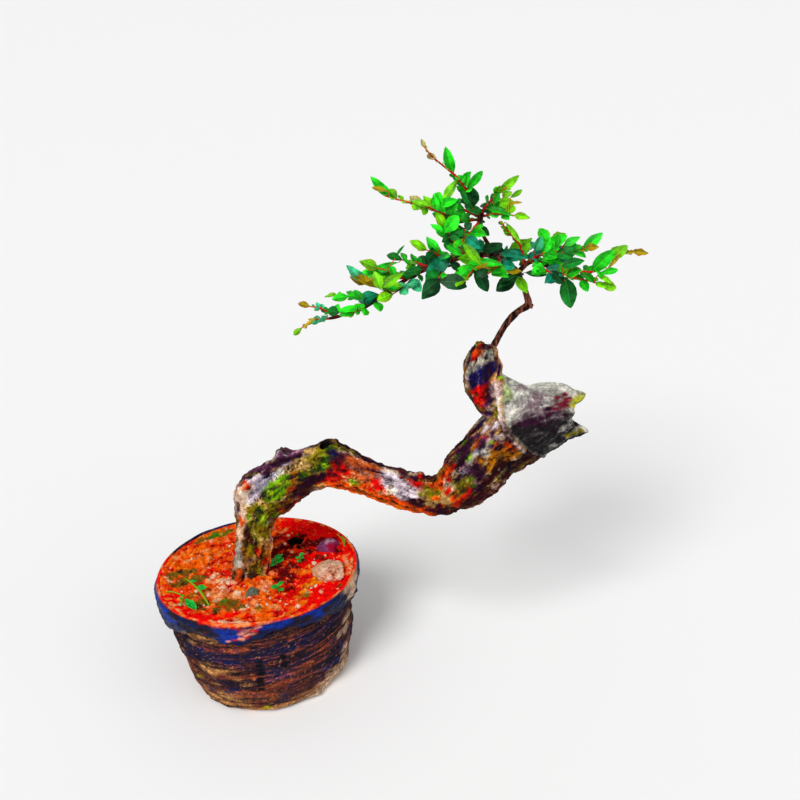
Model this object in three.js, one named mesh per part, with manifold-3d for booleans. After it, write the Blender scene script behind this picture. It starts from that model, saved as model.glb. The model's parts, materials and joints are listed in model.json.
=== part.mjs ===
// Crape myrtle bonsai in a nursery grow bag: an old bent trunk with a dead stump and one live branch,
// leafy shoots, red soil with stones and seedlings, and the folded polythene bag that holds them.
// Millimetres, +Z up. The origin is under the middle of the bag, on the surface that it stands on.

import * as THREE from 'three';
import { mergeVertices } from 'three/addons/utils/BufferGeometryUtils.js';
import Module from 'manifold-3d';

const wasm = await Module();
wasm.setup();

// Grow bag
const BAG_HEIGHT = 120;
const BAG_WALL = 1.6;
const BAG_SEGMENTS = 42;
const BAG_RADII = [89.5, 91, 91.5, 91.5, 92.5, 95, 99.5];
const RIM_OVAL = 6.2;
const BASE_OVAL = -2.5;
const BASE_SHIFT = 1;
const FLAT_BASE_RADIUS = 79;
const BODY_LEVELS = [4, 20, 36, 52, 66];
const WRINKLE_DEPTH = 1.1;
const CUFF_DEPTH = 17;
const CUFF_FLARE = 3.2;

// Soil
const SOIL_LEVEL = 117.8;
const SOIL_BUMP = 1.7;
const SOIL_FLOOR = 2.2;
const SOIL_RINGS = [0.98, 0.82, 0.65, 0.48, 0.3];
const SOIL_SIDE_LEVELS = [2, 24, 52, 84, 112];
const PIT = { x: 35, y: 45, radius: 12, depth: 7 };

// Clearances: pieces that touch on the real thing lie this far apart
const CLEARANCE = 0.35;
const LEAF_SPACING = 3.1;
const SAMPLE_STEP = 3.2;
const STEM_MARGIN = 1.4;

// Leaves
const BLADE_THICKNESS = 0.7;
const BLADE_ROWS = [[0.25, 0.8], [0.55, 1], [0.82, 0.68]];
const BLADE_CURL = 0.16;
const BLADE_SLIMNESS = 0.28;
const LIGHT = new THREE.Vector3(0.05, -0.75, 0.66).normalize();
const PLACING_TRIES = 9;
const NODE_STEP = 14;

const UP = new THREE.Vector3(0, 0, 1);
const FULL_TURN = 2 * Math.PI;

const COLOURS = {
  bag: 0x17151f,
  soil: 0xd2401c,
  bark: 0x8a5a3c,
  leaf: 0x2fa52a,
  oldLeaf: 0x0f5f2c,
  seedling: 0x1fa63a,
  paleStone: 0xe6b594,
  purpleStone: 0x7d3f5e,
  greyStone: 0x7d8f7c,
};

// The trunk's centre line. Each row: x, y, z, half width seen from the front, half depth.
const TRUNK_ROUTE = [
  [-9, 2, 76, 15, 14],
  [-7, 0, 98, 18, 17],
  [-5, 0, 116, 20.5, 20],
  [-2, 0, 138, 18, 18],
  [1, 0, 160, 17.5, 18],
  [5, 0, 182, 20.5, 20],
  [15, -2, 207, 28.5, 23],
  [39, -6, 227, 25, 23],
  [68, -9, 242, 22.5, 22],
  [93, -13, 249, 21, 21],
  [114, -19, 242, 17.8, 19],
  [136, -26, 235, 16.8, 18],
  [159, -33, 228, 17.6, 18],
  [180, -38, 222, 18, 19],
  [198, -40, 220, 20, 20],
  [215, -40, 229, 24.5, 22],
  [232, -38, 246, 28.5, 25],
  [249, -35, 262, 31, 27],
  [267, -32, 276, 33, 29],
  [284, -29, 289, 37, 30],
  [302, -26, 295, 32, 27],
  [315, -24, 296, 27.5, 23],
  [326, -23, 296, 22, 18],
];
const TRUNK_SIDES = 16;
const TRUNK_STEPS = 34;
const STUMP_START = 0.84;
const STUMP_HOLLOW = 13;
const SPIKE_UPPER = { angle: -0.5, reach: 16, spread: 0.4 };
const SPIKE_LOWER = { angle: -2.6, reach: 16, spread: 0.5 };

// Knobs and stubs that the trunk has grown. Each row: x, y, z, radius.
const LIVE_KNOB = [
  [263, -32, 297, 12], [255, -33, 309, 9], [247, -32, 320, 13], [243, -30, 335, 17],
  [244, -27, 352, 17], [247, -24, 364, 13], [250, -22, 372, 8],
];
const KNOB_BURR = [[244, -25, 364, 7], [242, -25, 372, 5.5], [243, -25, 377, 4]];
const SHOULDER = [[288, -29, 297, 24], [272, -32, 316, 19], [262, -34, 332, 12], [257, -35, 345, 6]];
const ELBOW_STUB = [[42, -4, 235, 15], [46, -2, 250, 13], [50, 0, 259, 11]];
const CUT_KNOB = [[88, -12, 248, 17], [92, -12, 263, 14], [95, -12, 274, 9.5]];
const CUT_KNOB_HOLLOW = { centre: [90, -15, 277], radius: 6.2 };
const BROKEN_STUB = [[181, -37, 232, 6], [181, -36, 241, 5.5], [180, -36, 246, 3.8]];
const ROOT_STRIP = [[-13, -13, 168, 3], [-17, -15, 148, 4], [-20, -17, 128, 5], [-23, -18, 108, 4]];

// The rolled edge of living bark round the dead stump, from the top round the front and behind it.
const BARK_LIP = [
  [259, -40, 340], [248, -52, 325], [248, -57, 310], [259, -60, 295], [275, -55, 278], [290, -42, 264],
  [298, -26, 260], [291, -8, 268], [275, 0, 292], [262, -2, 314], [258, -14, 333], [258, -29, 341],
];
const BARK_LIP_RADIUS = 4;
const LIP_SIDES = 5;
const LIP_STEPS = 18;

// Woody branch and limbs, grown in one with the trunk. Each row: x, y, z, radius.
const BRANCH = [
  [250, -24, 357, 4.6], [255, -22, 368, 3.4], [261, -19, 378, 2.9], [267, -17, 387, 2.9],
  [273, -15, 394, 3.4], [281, -13, 400, 3], [290, -11, 405, 3.6], [289, -10, 413, 2.9],
  [287, -9, 420, 2.8], [284, -8, 428, 2.9], [281, -6, 435, 3], [275, -5, 442, 3], [267, -3, 447, 2.8],
];
const ELBOW_SPUR = [[289, -11, 405, 3], [294, -11, 403, 2.3]];
const LIMBS = {
  left: [
    [271, -4, 447, 2.7], [257, -1, 452, 2.6], [245, -3, 454, 2.5], [231, -6, 454, 2.3],
    [215, -10, 451, 2.2], [202, -13, 449, 2.1], [187, -17, 445, 2], [172, -21, 438, 1.9],
    [152, -26, 428, 1.8], [132, -29, 419, 1.6], [116, -31, 415, 1.4], [106, -33, 414, 1.2],
  ],
  right: [
    [281, -7, 434, 2.6], [286, -8, 441, 2.3], [294, -9, 446, 2], [304, -13, 444, 1.9],
    [315, -20, 440, 1.7], [327, -23, 441, 1.4],
  ],
  upper: [
    [257, -1, 452, 2.2], [256, 4, 460, 1.9], [251, 7, 470, 1.8], [249, 8, 480, 2.4],
    [250, 9, 488, 2.6], [249, 9, 493, 1.8],
  ],
};

// Leafy shoots. route: points from the limb outwards. leaf: length at the foot and at the tip.
// keys: leaves placed by hand, from, to, half width and the way the face looks.
const SHOOTS = {
  right_long: {
    route: [
      [326, -23, 441], [336, -25, 439], [346, -27, 439], [356, -29, 443], [366, -30, 453], [380, -32, 457],
    ],
    leaf: [26, 15], first: 0.2, seed: 11,
    keys: [
      { from: [345, -27, 439], to: [363, -33, 460], half: 6.5, face: [-0.3, -0.85, 0.3] },
      { from: [360, -30, 449], to: [374, -34, 464], half: 5, face: [-0.5, -0.8, 0.3] },
    ],
  },
  right_upper: {
    route: [[288, -8, 444], [300, -13, 453], [313, -16, 456], [327, -18, 456], [340, -20, 457]],
    leaf: [26, 18], first: 0.3, seed: 23,
    keys: [{ from: [338, -20, 456], to: [354, -22, 474], half: 5.5, face: [-0.6, -0.7, 0.35] }],
  },
  right_low: {
    route: [[320, -22, 440], [329, -29, 435], [341, -33, 433], [351, -35, 430]],
    leaf: [20, 16], first: 0.5, seed: 37, keys: [],
  },
  right_hanging: {
    route: [[314, -20, 440], [318, -26, 437], [321, -29, 433]],
    leaf: [18, 18], first: 0.4, seed: 41, old: true, count: 0,
    keys: [{ from: [321, -27, 436], to: [327, -34, 407], half: 8, face: [0.1, -0.95, 0.15] }],
  },
  right_back: {
    route: [[298, -11, 445], [306, 2, 443], [316, 12, 440], [328, 21, 439]],
    leaf: [27, 20], first: 0.25, seed: 53,
    keys: [{ from: [328, 20, 438], to: [338, 12, 417], half: 7, face: [0.35, -0.9, 0.1] }],
  },
  right_far: {
    route: [[290, -8, 445], [296, 14, 441], [309, 31, 438], [322, 44, 435], [333, 56, 434]],
    leaf: [28, 18], first: 0.2, seed: 67, keys: [],
  },
  right_front: {
    route: [[300, -12, 445], [303, -26, 444], [309, -40, 444], [318, -52, 447]],
    leaf: [26, 18], first: 0.3, seed: 71, keys: [],
  },
  right_crown: {
    route: [[297, -10, 446], [303, 0, 450], [310, 8, 455], [318, 15, 459]],
    leaf: [25, 18], first: 0.35, seed: 83, keys: [],
  },
  centre_low: {
    route: [[282, -7, 433], [279, -15, 436], [277, -23, 438]],
    leaf: [17, 14], first: 0.7, seed: 97, count: 0, old: true,
    keys: [
      { from: [277, -22, 438], to: [259, -33, 430], half: 6.8, face: [-0.1, -0.9, 0.45] },
      { from: [277, -22, 438], to: [287, -31, 425], half: 5, face: [0.2, -0.9, 0.3] },
      { from: [276, -24, 438], to: [262, -42, 443], half: 5, face: [0, -0.5, 0.85] },
    ],
  },
  centre_front: {
    route: [[266, -3, 449], [262, -17, 449], [257, -30, 449], [249, -43, 449]],
    leaf: [27, 20], first: 0.3, seed: 101, keys: [],
  },
  centre_back: {
    route: [[264, -2, 449], [271, 15, 446], [281, 30, 444], [293, 43, 443]],
    leaf: [28, 20], first: 0.25, seed: 113, keys: [],
  },
  centre_left: {
    route: [[251, -2, 453], [246, -15, 451], [240, -27, 450], [232, -39, 447]],
    leaf: [27, 20], first: 0.3, seed: 127, keys: [],
  },
  centre_far: {
    route: [[254, -1, 453], [255, 19, 449], [251, 38, 446], [245, 56, 445]],
    leaf: [28, 18], first: 0.2, seed: 131, keys: [],
  },
  centre_crown: {
    route: [[246, -3, 454], [240, -8, 461], [234, -13, 469], [227, -17, 476]],
    leaf: [26, 18], first: 0.3, seed: 149, keys: [],
  },
  left_crown: {
    route: [[235, -6, 454], [229, -9, 462], [224, -12, 470], [219, -14, 479], [215, -15, 486]],
    leaf: [24, 16], first: 0.25, seed: 151, keys: [],
  },
  left_rise: {
    route: [[221, -9, 452], [213, -14, 457], [206, -18, 463], [198, -20, 468]],
    leaf: [24, 18], first: 0.3, seed: 163,
    keys: [{ from: [212, -15, 458], to: [198, -20, 478], half: 5, face: [-0.55, -0.7, 0.4] }],
  },
  left_shade: {
    route: [[216, -10, 451], [211, -21, 449], [207, -33, 445]],
    leaf: [20, 18], first: 0.5, seed: 173, count: 0, old: true,
    keys: [
      { from: [207, -32, 445], to: [231, -42, 440], half: 7.2, face: [0.05, -0.8, 0.6] },
      { from: [207, -33, 445], to: [191, -42, 430], half: 8, face: [-0.1, -0.95, 0.2] },
      { from: [212, -19, 450], to: [196, -38, 441], half: 8, face: [-0.2, -0.75, 0.65] },
    ],
  },
  left_back: {
    route: [[226, -7, 453], [219, 9, 449], [210, 22, 444], [200, 34, 440]],
    leaf: [27, 18], first: 0.2, seed: 181, keys: [],
  },
  mid_rise: {
    route: [[200, -14, 449], [192, -12, 452], [184, -11, 455], [176, -11, 457]],
    leaf: [22, 15], first: 0.3, seed: 191, keys: [],
  },
  mid_front: {
    route: [[192, -16, 447], [184, -26, 444], [175, -38, 441], [165, -48, 439]],
    leaf: [25, 18], first: 0.3, seed: 199, keys: [],
  },
  mid_left: {
    route: [[178, -19, 441], [170, -24, 447], [162, -27, 453], [153, -30, 458]],
    leaf: [24, 18], first: 0.3, seed: 211,
    keys: [{ from: [166, -26, 450], to: [143, -30, 457], half: 4, face: [-0.2, -0.6, 0.78] }],
  },
  mid_back: {
    route: [[182, -18, 443], [173, -4, 440], [161, 10, 436], [147, 24, 432]],
    leaf: [25, 16], first: 0.25, seed: 223, keys: [],
  },
  low_rise: {
    route: [[164, -23, 434], [154, -29, 441], [145, -33, 446], [136, -38, 453]],
    leaf: [23, 17], first: 0.3, seed: 227,
    keys: [{ from: [142, -35, 448], to: [128, -42, 463], half: 5, face: [-0.5, -0.7, 0.45] }],
  },
  low_front: {
    route: [[158, -25, 431], [150, -36, 429], [141, -47, 428], [130, -56, 427]],
    leaf: [22, 16], first: 0.3, seed: 239, keys: [],
  },
  low_back: {
    route: [[150, -26, 427], [139, -15, 425], [126, -5, 423], [112, 4, 421]],
    leaf: [22, 15], first: 0.3, seed: 251, keys: [],
  },
  tip_upper: {
    route: [[114, -31, 415], [106, -34, 421], [99, -36, 426], [90, -38, 429]],
    leaf: [14, 11], first: 0.3, seed: 269, keys: [],
  },
  tip_lower: {
    route: [[107, -33, 414], [98, -36, 415], [90, -38, 413], [81, -41, 410]],
    leaf: [13, 10], first: 0.3, seed: 277, keys: [],
  },
  top_tall: {
    route: [
      [249, 8, 487], [242, 6, 500], [237, 4, 514], [228, 1, 527], [218, -2, 537], [208, -5, 547],
      [201, -8, 557],
    ],
    leaf: [24, 8], first: 0.12, seed: 281, count: 4,
    keys: [
      { from: [226, 1, 529], to: [219, -3, 553], half: 5, face: [-0.35, -0.85, 0.3] },
      { from: [230, 2, 524], to: [215, -7, 509], half: 4.5, face: [-0.5, -0.8, 0.3] },
      { from: [237, 4, 513], to: [252, 1, 529], half: 4.5, face: [0.4, -0.8, 0.4] },
    ],
  },
  top_left: {
    route: [
      [249, 8, 484], [238, 4, 485], [226, -1, 489], [214, -6, 496], [202, -11, 504], [188, -15, 510],
      [171, -20, 517], [163, -22, 521],
    ],
    leaf: [27, 14], first: 0.1, seed: 293, count: 5,
    keys: [{ from: [171, -20, 517], to: [153, -25, 537], half: 4.5, face: [-0.5, -0.75, 0.4] }],
  },
  top_front: {
    route: [[249, 8, 482], [243, -6, 482], [238, -18, 481], [231, -31, 480]],
    leaf: [25, 19], first: 0.3, seed: 307, keys: [],
  },
  top_right: {
    route: [[250, 9, 490], [258, 8, 499], [266, 7, 507], [274, 5, 513]],
    leaf: [20, 15], first: 0.3, seed: 311,
    keys: [{ from: [266, 7, 507], to: [284, 3, 523], half: 4, face: [0.2, -0.8, 0.5] }],
  },
  top_right_low: {
    route: [[250, 9, 486], [261, 4, 489], [270, 0, 490], [279, -4, 489]],
    leaf: [20, 15], first: 0.3, seed: 317, keys: [],
  },
  top_right_back: {
    route: [[250, 10, 488], [258, 22, 489], [266, 34, 490], [275, 45, 491]],
    leaf: [22, 16], first: 0.3, seed: 331, keys: [],
  },
  top_back: {
    route: [[249, 10, 485], [239, 22, 488], [229, 33, 491], [219, 45, 493]],
    leaf: [23, 17], first: 0.3, seed: 337, keys: [],
  },
  mid_riser: {
    route: [[286, -8, 441], [287, -5, 450], [283, -4, 462], [274, -6, 474], [266, -7, 485]],
    leaf: [15, 12], first: 0.35, seed: 347, keys: [],
  },
};
const SHOOT_SIDES = 3;
const SHOOT_RADIUS = [1.4, 0.8];

// Seedlings that have sprung up in the soil.
// Each row: name, x, y, height, leaf length, places of the leaf pairs on the stem, seed.
const SEEDLINGS = [
  ['seedling_left', -66, -50, 6, 7, [0.97], 401],
  ['seedling_front_left', -52, -34, 6, 6, [0.7, 0.97], 409],
  ['seedling_trunk', 24, 4, 8, 8, [0.97], 419],
  ['seedling_front', 27, -38, 7, 8, [0.66, 0.97], 421],
  ['seedling_middle', 50, 14, 9, 7, [0.66, 0.97], 431],
];
const SEEDLING_STEM = 0.7;
const SEEDLING_DEPTH = 6;
const GRASS = { x: 93, y: 30, height: 17, seed: 439 };

// Stones, half sunk in the soil: name, centre, half sizes, colour, seed.
const STONES = [
  ['stone_pale', [76, -19, 118], [19, 15, 9], COLOURS.paleStone, 503],
  ['stone_purple', [70, 31, 118], [12, 10, 7], COLOURS.purpleStone, 509],
  ['stone_grey', [-2, -43, 118], [6, 5, 5], COLOURS.greyStone, 521],
];

// A plain generator of even draws from 0 to 1, the same on every run.
function seededRandom(seed) {
  let state = seed;
  return () => {
    state = (state * 16807) % 2147483647;
    return state / 2147483647;
  };
}

function vector(point) {
  return new THREE.Vector3(point[0], point[1], point[2]);
}

function curveThrough(route) {
  return new THREE.CatmullRomCurve3(route.map(vector), false, 'catmullrom', 0.5);
}

// The value at t, from 0 to 1, on a list of values spread evenly over the length.
function valueAlong(values, t) {
  const place = THREE.MathUtils.clamp(t, 0, 1) * (values.length - 1);
  const index = Math.min(Math.floor(place), values.length - 2);
  return THREE.MathUtils.lerp(values[index], values[index + 1], place - index);
}

// A smooth uneven value between -1 and 1 from three slow waves.
function unevenness(a, b, phase) {
  const wave = Math.sin(a * 2 + phase) + Math.sin(b * 3 - a + phase * 1.7);
  return (wave + Math.sin(a * 5 + b * 2 + phase * 2.3)) / 3;
}

function bump(angle, centre, width) {
  const gap = Math.abs(Math.atan2(Math.sin(angle - centre), Math.cos(angle - centre)));
  return Math.exp(-((gap / width) ** 2));
}

// A manifold solid from a closed geometry, with shared corners merged and flat slivers dropped.
function toSolid(geometry) {
  geometry.deleteAttribute('normal');
  geometry.deleteAttribute('uv');
  const merged = mergeVertices(geometry, 1e-4);
  const corners = [];
  const index = merged.index.array;
  for (let i = 0; i < index.length; i += 3) {
    const [a, b, c] = [index[i], index[i + 1], index[i + 2]];
    if (a !== b && b !== c && c !== a) corners.push(a, b, c);
  }
  return new wasm.Manifold(new wasm.Mesh({
    numProp: 3,
    vertProperties: new Float32Array(merged.attributes.position.array),
    triVerts: new Uint32Array(corners),
  }));
}

function joined(solids) {
  return solids.reduce((whole, solid) => whole.add(solid));
}

// The largest of a solid's separate bodies, so that no loose scrap is kept.
function largestBody(solid) {
  return solid.decompose().reduce((best, body) => (body.volume() > best.volume() ? body : best));
}

function toMesh(name, solid, colour, roughness) {
  const { vertProperties, triVerts } = solid.getMesh();
  const geometry = new THREE.BufferGeometry();
  geometry.setAttribute('position', new THREE.BufferAttribute(new Float32Array(vertProperties), 3));
  geometry.setIndex(new THREE.BufferAttribute(new Uint32Array(triVerts), 1));
  geometry.computeVertexNormals();
  const material = new THREE.MeshStandardMaterial({ color: colour, roughness, metalness: 0 });
  const mesh = new THREE.Mesh(geometry, material);
  mesh.name = name;
  return mesh;
}

// A round stem bent along a route of [x, y, z, radius] rows. grow widens it all over, and shape
// may change a point: it gets t, the angle, and the half width and half depth there.
function stemSolid(route, sides, steps, { grow = 0, shape = null, depthAt = null } = {}) {
  const curve = curveThrough(route);
  const widths = route.map((row) => row[3]);
  const depths = route.map((row) => row[depthAt ?? 3]);
  const geometry = new THREE.CylinderGeometry(1, 1, 1, sides, steps);
  const places = geometry.attributes.position;
  const middle = curve.getPoint(0.5);
  for (let i = 0; i < places.count; i += 1) {
    const local = new THREE.Vector3().fromBufferAttribute(places, i);
    const t = THREE.MathUtils.clamp(local.y + 0.5, 0, 1);
    const tangent = curve.getTangent(t);
    const across = acrossOf(tangent);
    const depth = new THREE.Vector3().crossVectors(across, tangent);
    const radial = Math.hypot(local.x, local.z);
    const angle = Math.atan2(local.z, local.x);
    let [width, deep, ahead] = [valueAlong(widths, t), valueAlong(depths, t), 0];
    if (shape) [width, deep, ahead] = shape(t, angle, radial, width, deep);
    middle.copy(curve.getPoint(t))
      .addScaledVector(across, Math.cos(angle) * radial * (width + grow))
      .addScaledVector(depth, Math.sin(angle) * radial * (deep + grow))
      .addScaledVector(tangent, ahead);
    places.setXYZ(i, middle.x, middle.y, middle.z);
  }
  return toSolid(geometry);
}

// The direction across a stem, square to its run, that stays closest to the front view's plane.
function acrossOf(tangent) {
  const front = new THREE.Vector3(0, 1, 0);
  if (Math.abs(tangent.y) > 0.9) front.set(1, 0, 0);
  return new THREE.Vector3().crossVectors(tangent, front).normalize();
}

// A turned solid: each row gives [radius, height] at an angle, from the axis back to the axis.
function turnedSolid(rows, segments, shift) {
  const profile = rows.map((row) => new THREE.Vector2(...row(0)));
  const geometry = new THREE.LatheGeometry(profile, segments);
  const places = geometry.attributes.position;
  for (let i = 0; i < places.count; i += 1) {
    const turn = Math.floor(i / rows.length) % segments;
    const angle = (turn / segments) * FULL_TURN;
    const [radius, height] = rows[i % rows.length](angle);
    const lean = shift(height);
    places.setXYZ(i, lean + radius * Math.cos(angle), radius * Math.sin(angle), height);
  }
  return toSolid(geometry);
}

// Bag

function bagLean(height) {
  return BASE_SHIFT * (1 - THREE.MathUtils.clamp(height / BAG_HEIGHT, 0, 1));
}

// The smooth radius of the bag's outer wall.
function bagRadius(angle, height) {
  const rise = THREE.MathUtils.clamp(height / BAG_HEIGHT, 0, 1);
  return valueAlong(BAG_RADII, rise) + THREE.MathUtils.lerp(BASE_OVAL, RIM_OVAL, rise) * Math.cos(2 * angle);
}

function wrinkled(angle, height) {
  const crease = Math.sin(height * 0.42 + 1.6 * Math.sin(angle * 2 + 0.6) + 0.9 * Math.sin(angle * 5));
  return WRINKLE_DEPTH * crease * (0.6 + 0.4 * Math.sin(angle * 3 + 1));
}

// How far the folded cuff hangs below the rim: long at the left, with a pointed flap in front.
function cuffDrop(angle) {
  const ragged = 2.5 * Math.sin(angle * 7 + 1) + 1.6 * Math.sin(angle * 13 + 2);
  const left = 22 * bump(angle, Math.PI * 1.06, 0.55);
  const right = 11 * bump(angle, -0.25, 0.4);
  return CUFF_DEPTH + ragged + left + right + 9 * bump(angle, Math.PI * 1.45, 0.2);
}

function cuffFlare(angle) {
  const left = 6.5 * bump(angle, Math.PI * 1.08, 0.5);
  return CUFF_FLARE + left + 3.5 * bump(angle, -0.25, 0.45) + 0.9 * Math.sin(angle * 5 + 0.4);
}

function bagSolid() {
  const wall = (height) => (angle) => [bagRadius(angle, height) + wrinkled(angle, height), height];
  const cuffFoot = (angle) => BAG_HEIGHT - cuffDrop(angle);
  const cuff = (share, flare) => (angle) => {
    const height = THREE.MathUtils.lerp(cuffFoot(angle), BAG_HEIGHT, share);
    return [bagRadius(angle, height) + flare * cuffFlare(angle), height];
  };
  const inside = (height) => (angle) => [bagRadius(angle, height) - BAG_WALL - WRINKLE_DEPTH, height];
  return turnedSolid([
    () => [0, 0],
    () => [FLAT_BASE_RADIUS, 0],
    (angle) => [bagRadius(angle, 0) - 2, 0.6],
    ...BODY_LEVELS.map(wall),
    (angle) => [bagRadius(angle, cuffFoot(angle)) + 0.2, cuffFoot(angle) + 1.5],
    cuff(0, 1),
    cuff(0.35, 1.15),
    cuff(0.8, 0.8),
    (angle) => [bagRadius(angle, BAG_HEIGHT), BAG_HEIGHT + 0.8 * Math.sin(angle * 3)],
    (angle) => [bagRadius(angle, BAG_HEIGHT) - BAG_WALL, BAG_HEIGHT - 1],
    ...SOIL_SIDE_LEVELS.slice().reverse().map(inside),
    () => [0, BAG_WALL],
  ], BAG_SEGMENTS, bagLean);
}

// Soil

// The height of the soil's surface: bumpy, sloping gently from the trunk, with a pit behind it.
function soilHeight(x, y) {
  const lumps = SOIL_BUMP * unevenness(x * 0.09, y * 0.08, 1.3);
  const mound = 3.5 * Math.exp(-(((x + 5) / 40) ** 2) - ((y / 36) ** 2));
  const away = Math.hypot(x - PIT.x, y - PIT.y) / PIT.radius;
  const pit = -PIT.depth * Math.exp(-(away ** 4)) + 2 * Math.exp(-(((away - 1.25) / 0.4) ** 2));
  return SOIL_LEVEL + lumps + mound + pit;
}

function soilBlock() {
  const edge = (height, angle) => bagRadius(angle, height) - BAG_WALL - WRINKLE_DEPTH - CLEARANCE;
  const side = (height) => (angle) => [edge(height, angle), Math.max(height, SOIL_FLOOR)];
  const surface = (share) => (angle) => {
    const radius = share * edge(SOIL_SIDE_LEVELS.at(-1), angle);
    return [radius, soilHeight(radius * Math.cos(angle), radius * Math.sin(angle))];
  };
  return turnedSolid([
    () => [0, SOIL_FLOOR],
    ...SOIL_SIDE_LEVELS.map(side),
    ...SOIL_RINGS.map(surface),
    () => [0, soilHeight(0, 0)],
  ], BAG_SEGMENTS, bagLean);
}

// Trunk

// Slow swellings and ridges of the bark, and the ragged, hollow end of the dead stump.
function trunkShape(t, angle, radial, width, deep) {
  const ridges = 0.035 * Math.sin(angle * 3 + t * 21) + 0.03 * Math.sin(angle * 5 - t * 34 + 1);
  const swelling = 1 + ridges + 0.035 * Math.sin(t * 47 + 1.3 * Math.sin(angle));
  const bareness = THREE.MathUtils.smoothstep(t, STUMP_START, 1);
  const upper = SPIKE_UPPER.reach * bump(angle, SPIKE_UPPER.angle, SPIKE_UPPER.spread);
  const lower = SPIKE_LOWER.reach * bump(angle, SPIKE_LOWER.angle, SPIKE_LOWER.spread);
  const jagged = 3 * Math.sin(angle * 4 + 1) + 2 * Math.sin(angle * 9);
  const reach = (upper + lower + jagged) * bareness ** 3;
  const ahead = radial < 0.5 ? -STUMP_HOLLOW * bareness : reach;
  return [width * swelling, deep * swelling, ahead];
}

function trunkCore(grow) {
  return stemSolid(TRUNK_ROUTE, TRUNK_SIDES, TRUNK_STEPS, { grow, shape: trunkShape, depthAt: 4 });
}

function rootSolid(grow) {
  return stemSolid(ROOT_STRIP, 7, 6, { grow });
}

function knobShape(t, angle, radial, width, deep) {
  const lumps = 1 + 0.07 * Math.sin(angle * 3 + t * 9) + 0.05 * Math.sin(angle * 5 + t * 17);
  return [width * lumps, deep * lumps, 0];
}

function barkLip() {
  const curve = new THREE.CatmullRomCurve3(BARK_LIP.map(vector), true, 'catmullrom', 0.5);
  const centre = BARK_LIP.map(vector).reduce((sum, point) => sum.add(point)).divideScalar(BARK_LIP.length);
  const geometry = new THREE.TorusGeometry(1, 0.1, LIP_SIDES, LIP_STEPS);
  const places = geometry.attributes.position;
  for (let i = 0; i < places.count; i += 1) {
    const t = (i % (LIP_STEPS + 1)) / LIP_STEPS;
    const turn = (Math.floor(i / (LIP_STEPS + 1)) / LIP_SIDES) * FULL_TURN;
    const point = curve.getPoint(t % 1);
    const tangent = curve.getTangent(t % 1);
    const outward = point.clone().sub(centre);
    outward.addScaledVector(tangent, -outward.dot(tangent)).normalize();
    const aside = new THREE.Vector3().crossVectors(outward, tangent);
    const radius = BARK_LIP_RADIUS * (1 + 0.2 * Math.sin(t * FULL_TURN * 3));
    point.addScaledVector(outward, Math.cos(turn) * radius).addScaledVector(aside, Math.sin(turn) * radius);
    places.setXYZ(i, point.x, point.y, point.z);
  }
  return toSolid(geometry);
}

function cutKnob() {
  const hollow = new THREE.SphereGeometry(CUT_KNOB_HOLLOW.radius, 8, 6);
  hollow.translate(...CUT_KNOB_HOLLOW.centre);
  return stemSolid(CUT_KNOB, 10, 4, { shape: knobShape }).subtract(toSolid(hollow));
}

function branchSolid(grow) {
  return joined([
    stemSolid(BRANCH, 7, 14, { grow }),
    stemSolid(ELBOW_SPUR, 6, 1, { grow }),
    ...Object.values(LIMBS).map((limb) => stemSolid(limb, 5, limb.length - 1, { grow })),
  ]);
}

function trunkSolid() {
  return largestBody(joined([
    trunkCore(0),
    rootSolid(0),
    barkLip(),
    stemSolid(SHOULDER, 12, 4, { shape: knobShape }),
    stemSolid(LIVE_KNOB, 12, 9, { shape: knobShape }),
    stemSolid(KNOB_BURR, 7, 2, { shape: knobShape }),
    stemSolid(ELBOW_STUB, 10, 3, { shape: knobShape }),
    stemSolid(BROKEN_STUB, 6, 2),
    cutKnob(),
    branchSolid(0),
  ]));
}

// Leaves

// A leaf's frame: along the blade, across it, and out of its upper face.
function leafFrame(from, to, face) {
  const along = new THREE.Vector3().subVectors(to, from);
  const length = along.length();
  along.normalize();
  const out = face.clone().addScaledVector(along, -face.dot(along)).normalize();
  const across = new THREE.Vector3().crossVectors(along, out);
  return { from, along, across, out, length };
}

// A point of the blade: u runs from its foot to its tip, v across it from -1 to 1.
function bladePoint(leaf, u, v, share) {
  return leaf.from.clone()
    .addScaledVector(leaf.along, u * leaf.length)
    .addScaledVector(leaf.across, v * share * leaf.half)
    .addScaledVector(leaf.out, -BLADE_CURL * leaf.length * u * u);
}

function bladeSkeleton(leaf) {
  const points = [bladePoint(leaf, 0, 0, 0)];
  for (const [u, share] of BLADE_ROWS) {
    for (const v of [-1, 1]) points.push(bladePoint(leaf, u, v, share));
  }
  points.push(bladePoint(leaf, 1, 0, 0));
  return points;
}

// Triangles of the upper face; the lower face repeats them the other way round.
const BLADE_FACES = [[0, 2, 1], [1, 2, 4], [1, 4, 3], [3, 4, 6], [3, 6, 5], [5, 6, 7]];
const BLADE_EDGE = [0, 2, 4, 6, 7, 5, 3, 1];

function bladeSolid(leaf) {
  const skeleton = bladeSkeleton(leaf);
  const count = skeleton.length;
  const positions = [];
  for (const side of [0.5, -0.5]) {
    for (const point of skeleton) {
      const place = point.clone().addScaledVector(leaf.out, side * BLADE_THICKNESS);
      positions.push(place.x, place.y, place.z);
    }
  }
  const index = [];
  for (const [a, b, c] of BLADE_FACES) index.push(a, b, c, a + count, c + count, b + count);
  BLADE_EDGE.forEach((a, i) => {
    const b = BLADE_EDGE[(i + 1) % BLADE_EDGE.length];
    index.push(a, a + count, b + count, a, b + count, b);
  });
  const geometry = new THREE.BufferGeometry();
  geometry.setAttribute('position', new THREE.Float32BufferAttribute(positions, 3));
  geometry.setIndex(index);
  return toSolid(geometry);
}

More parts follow.
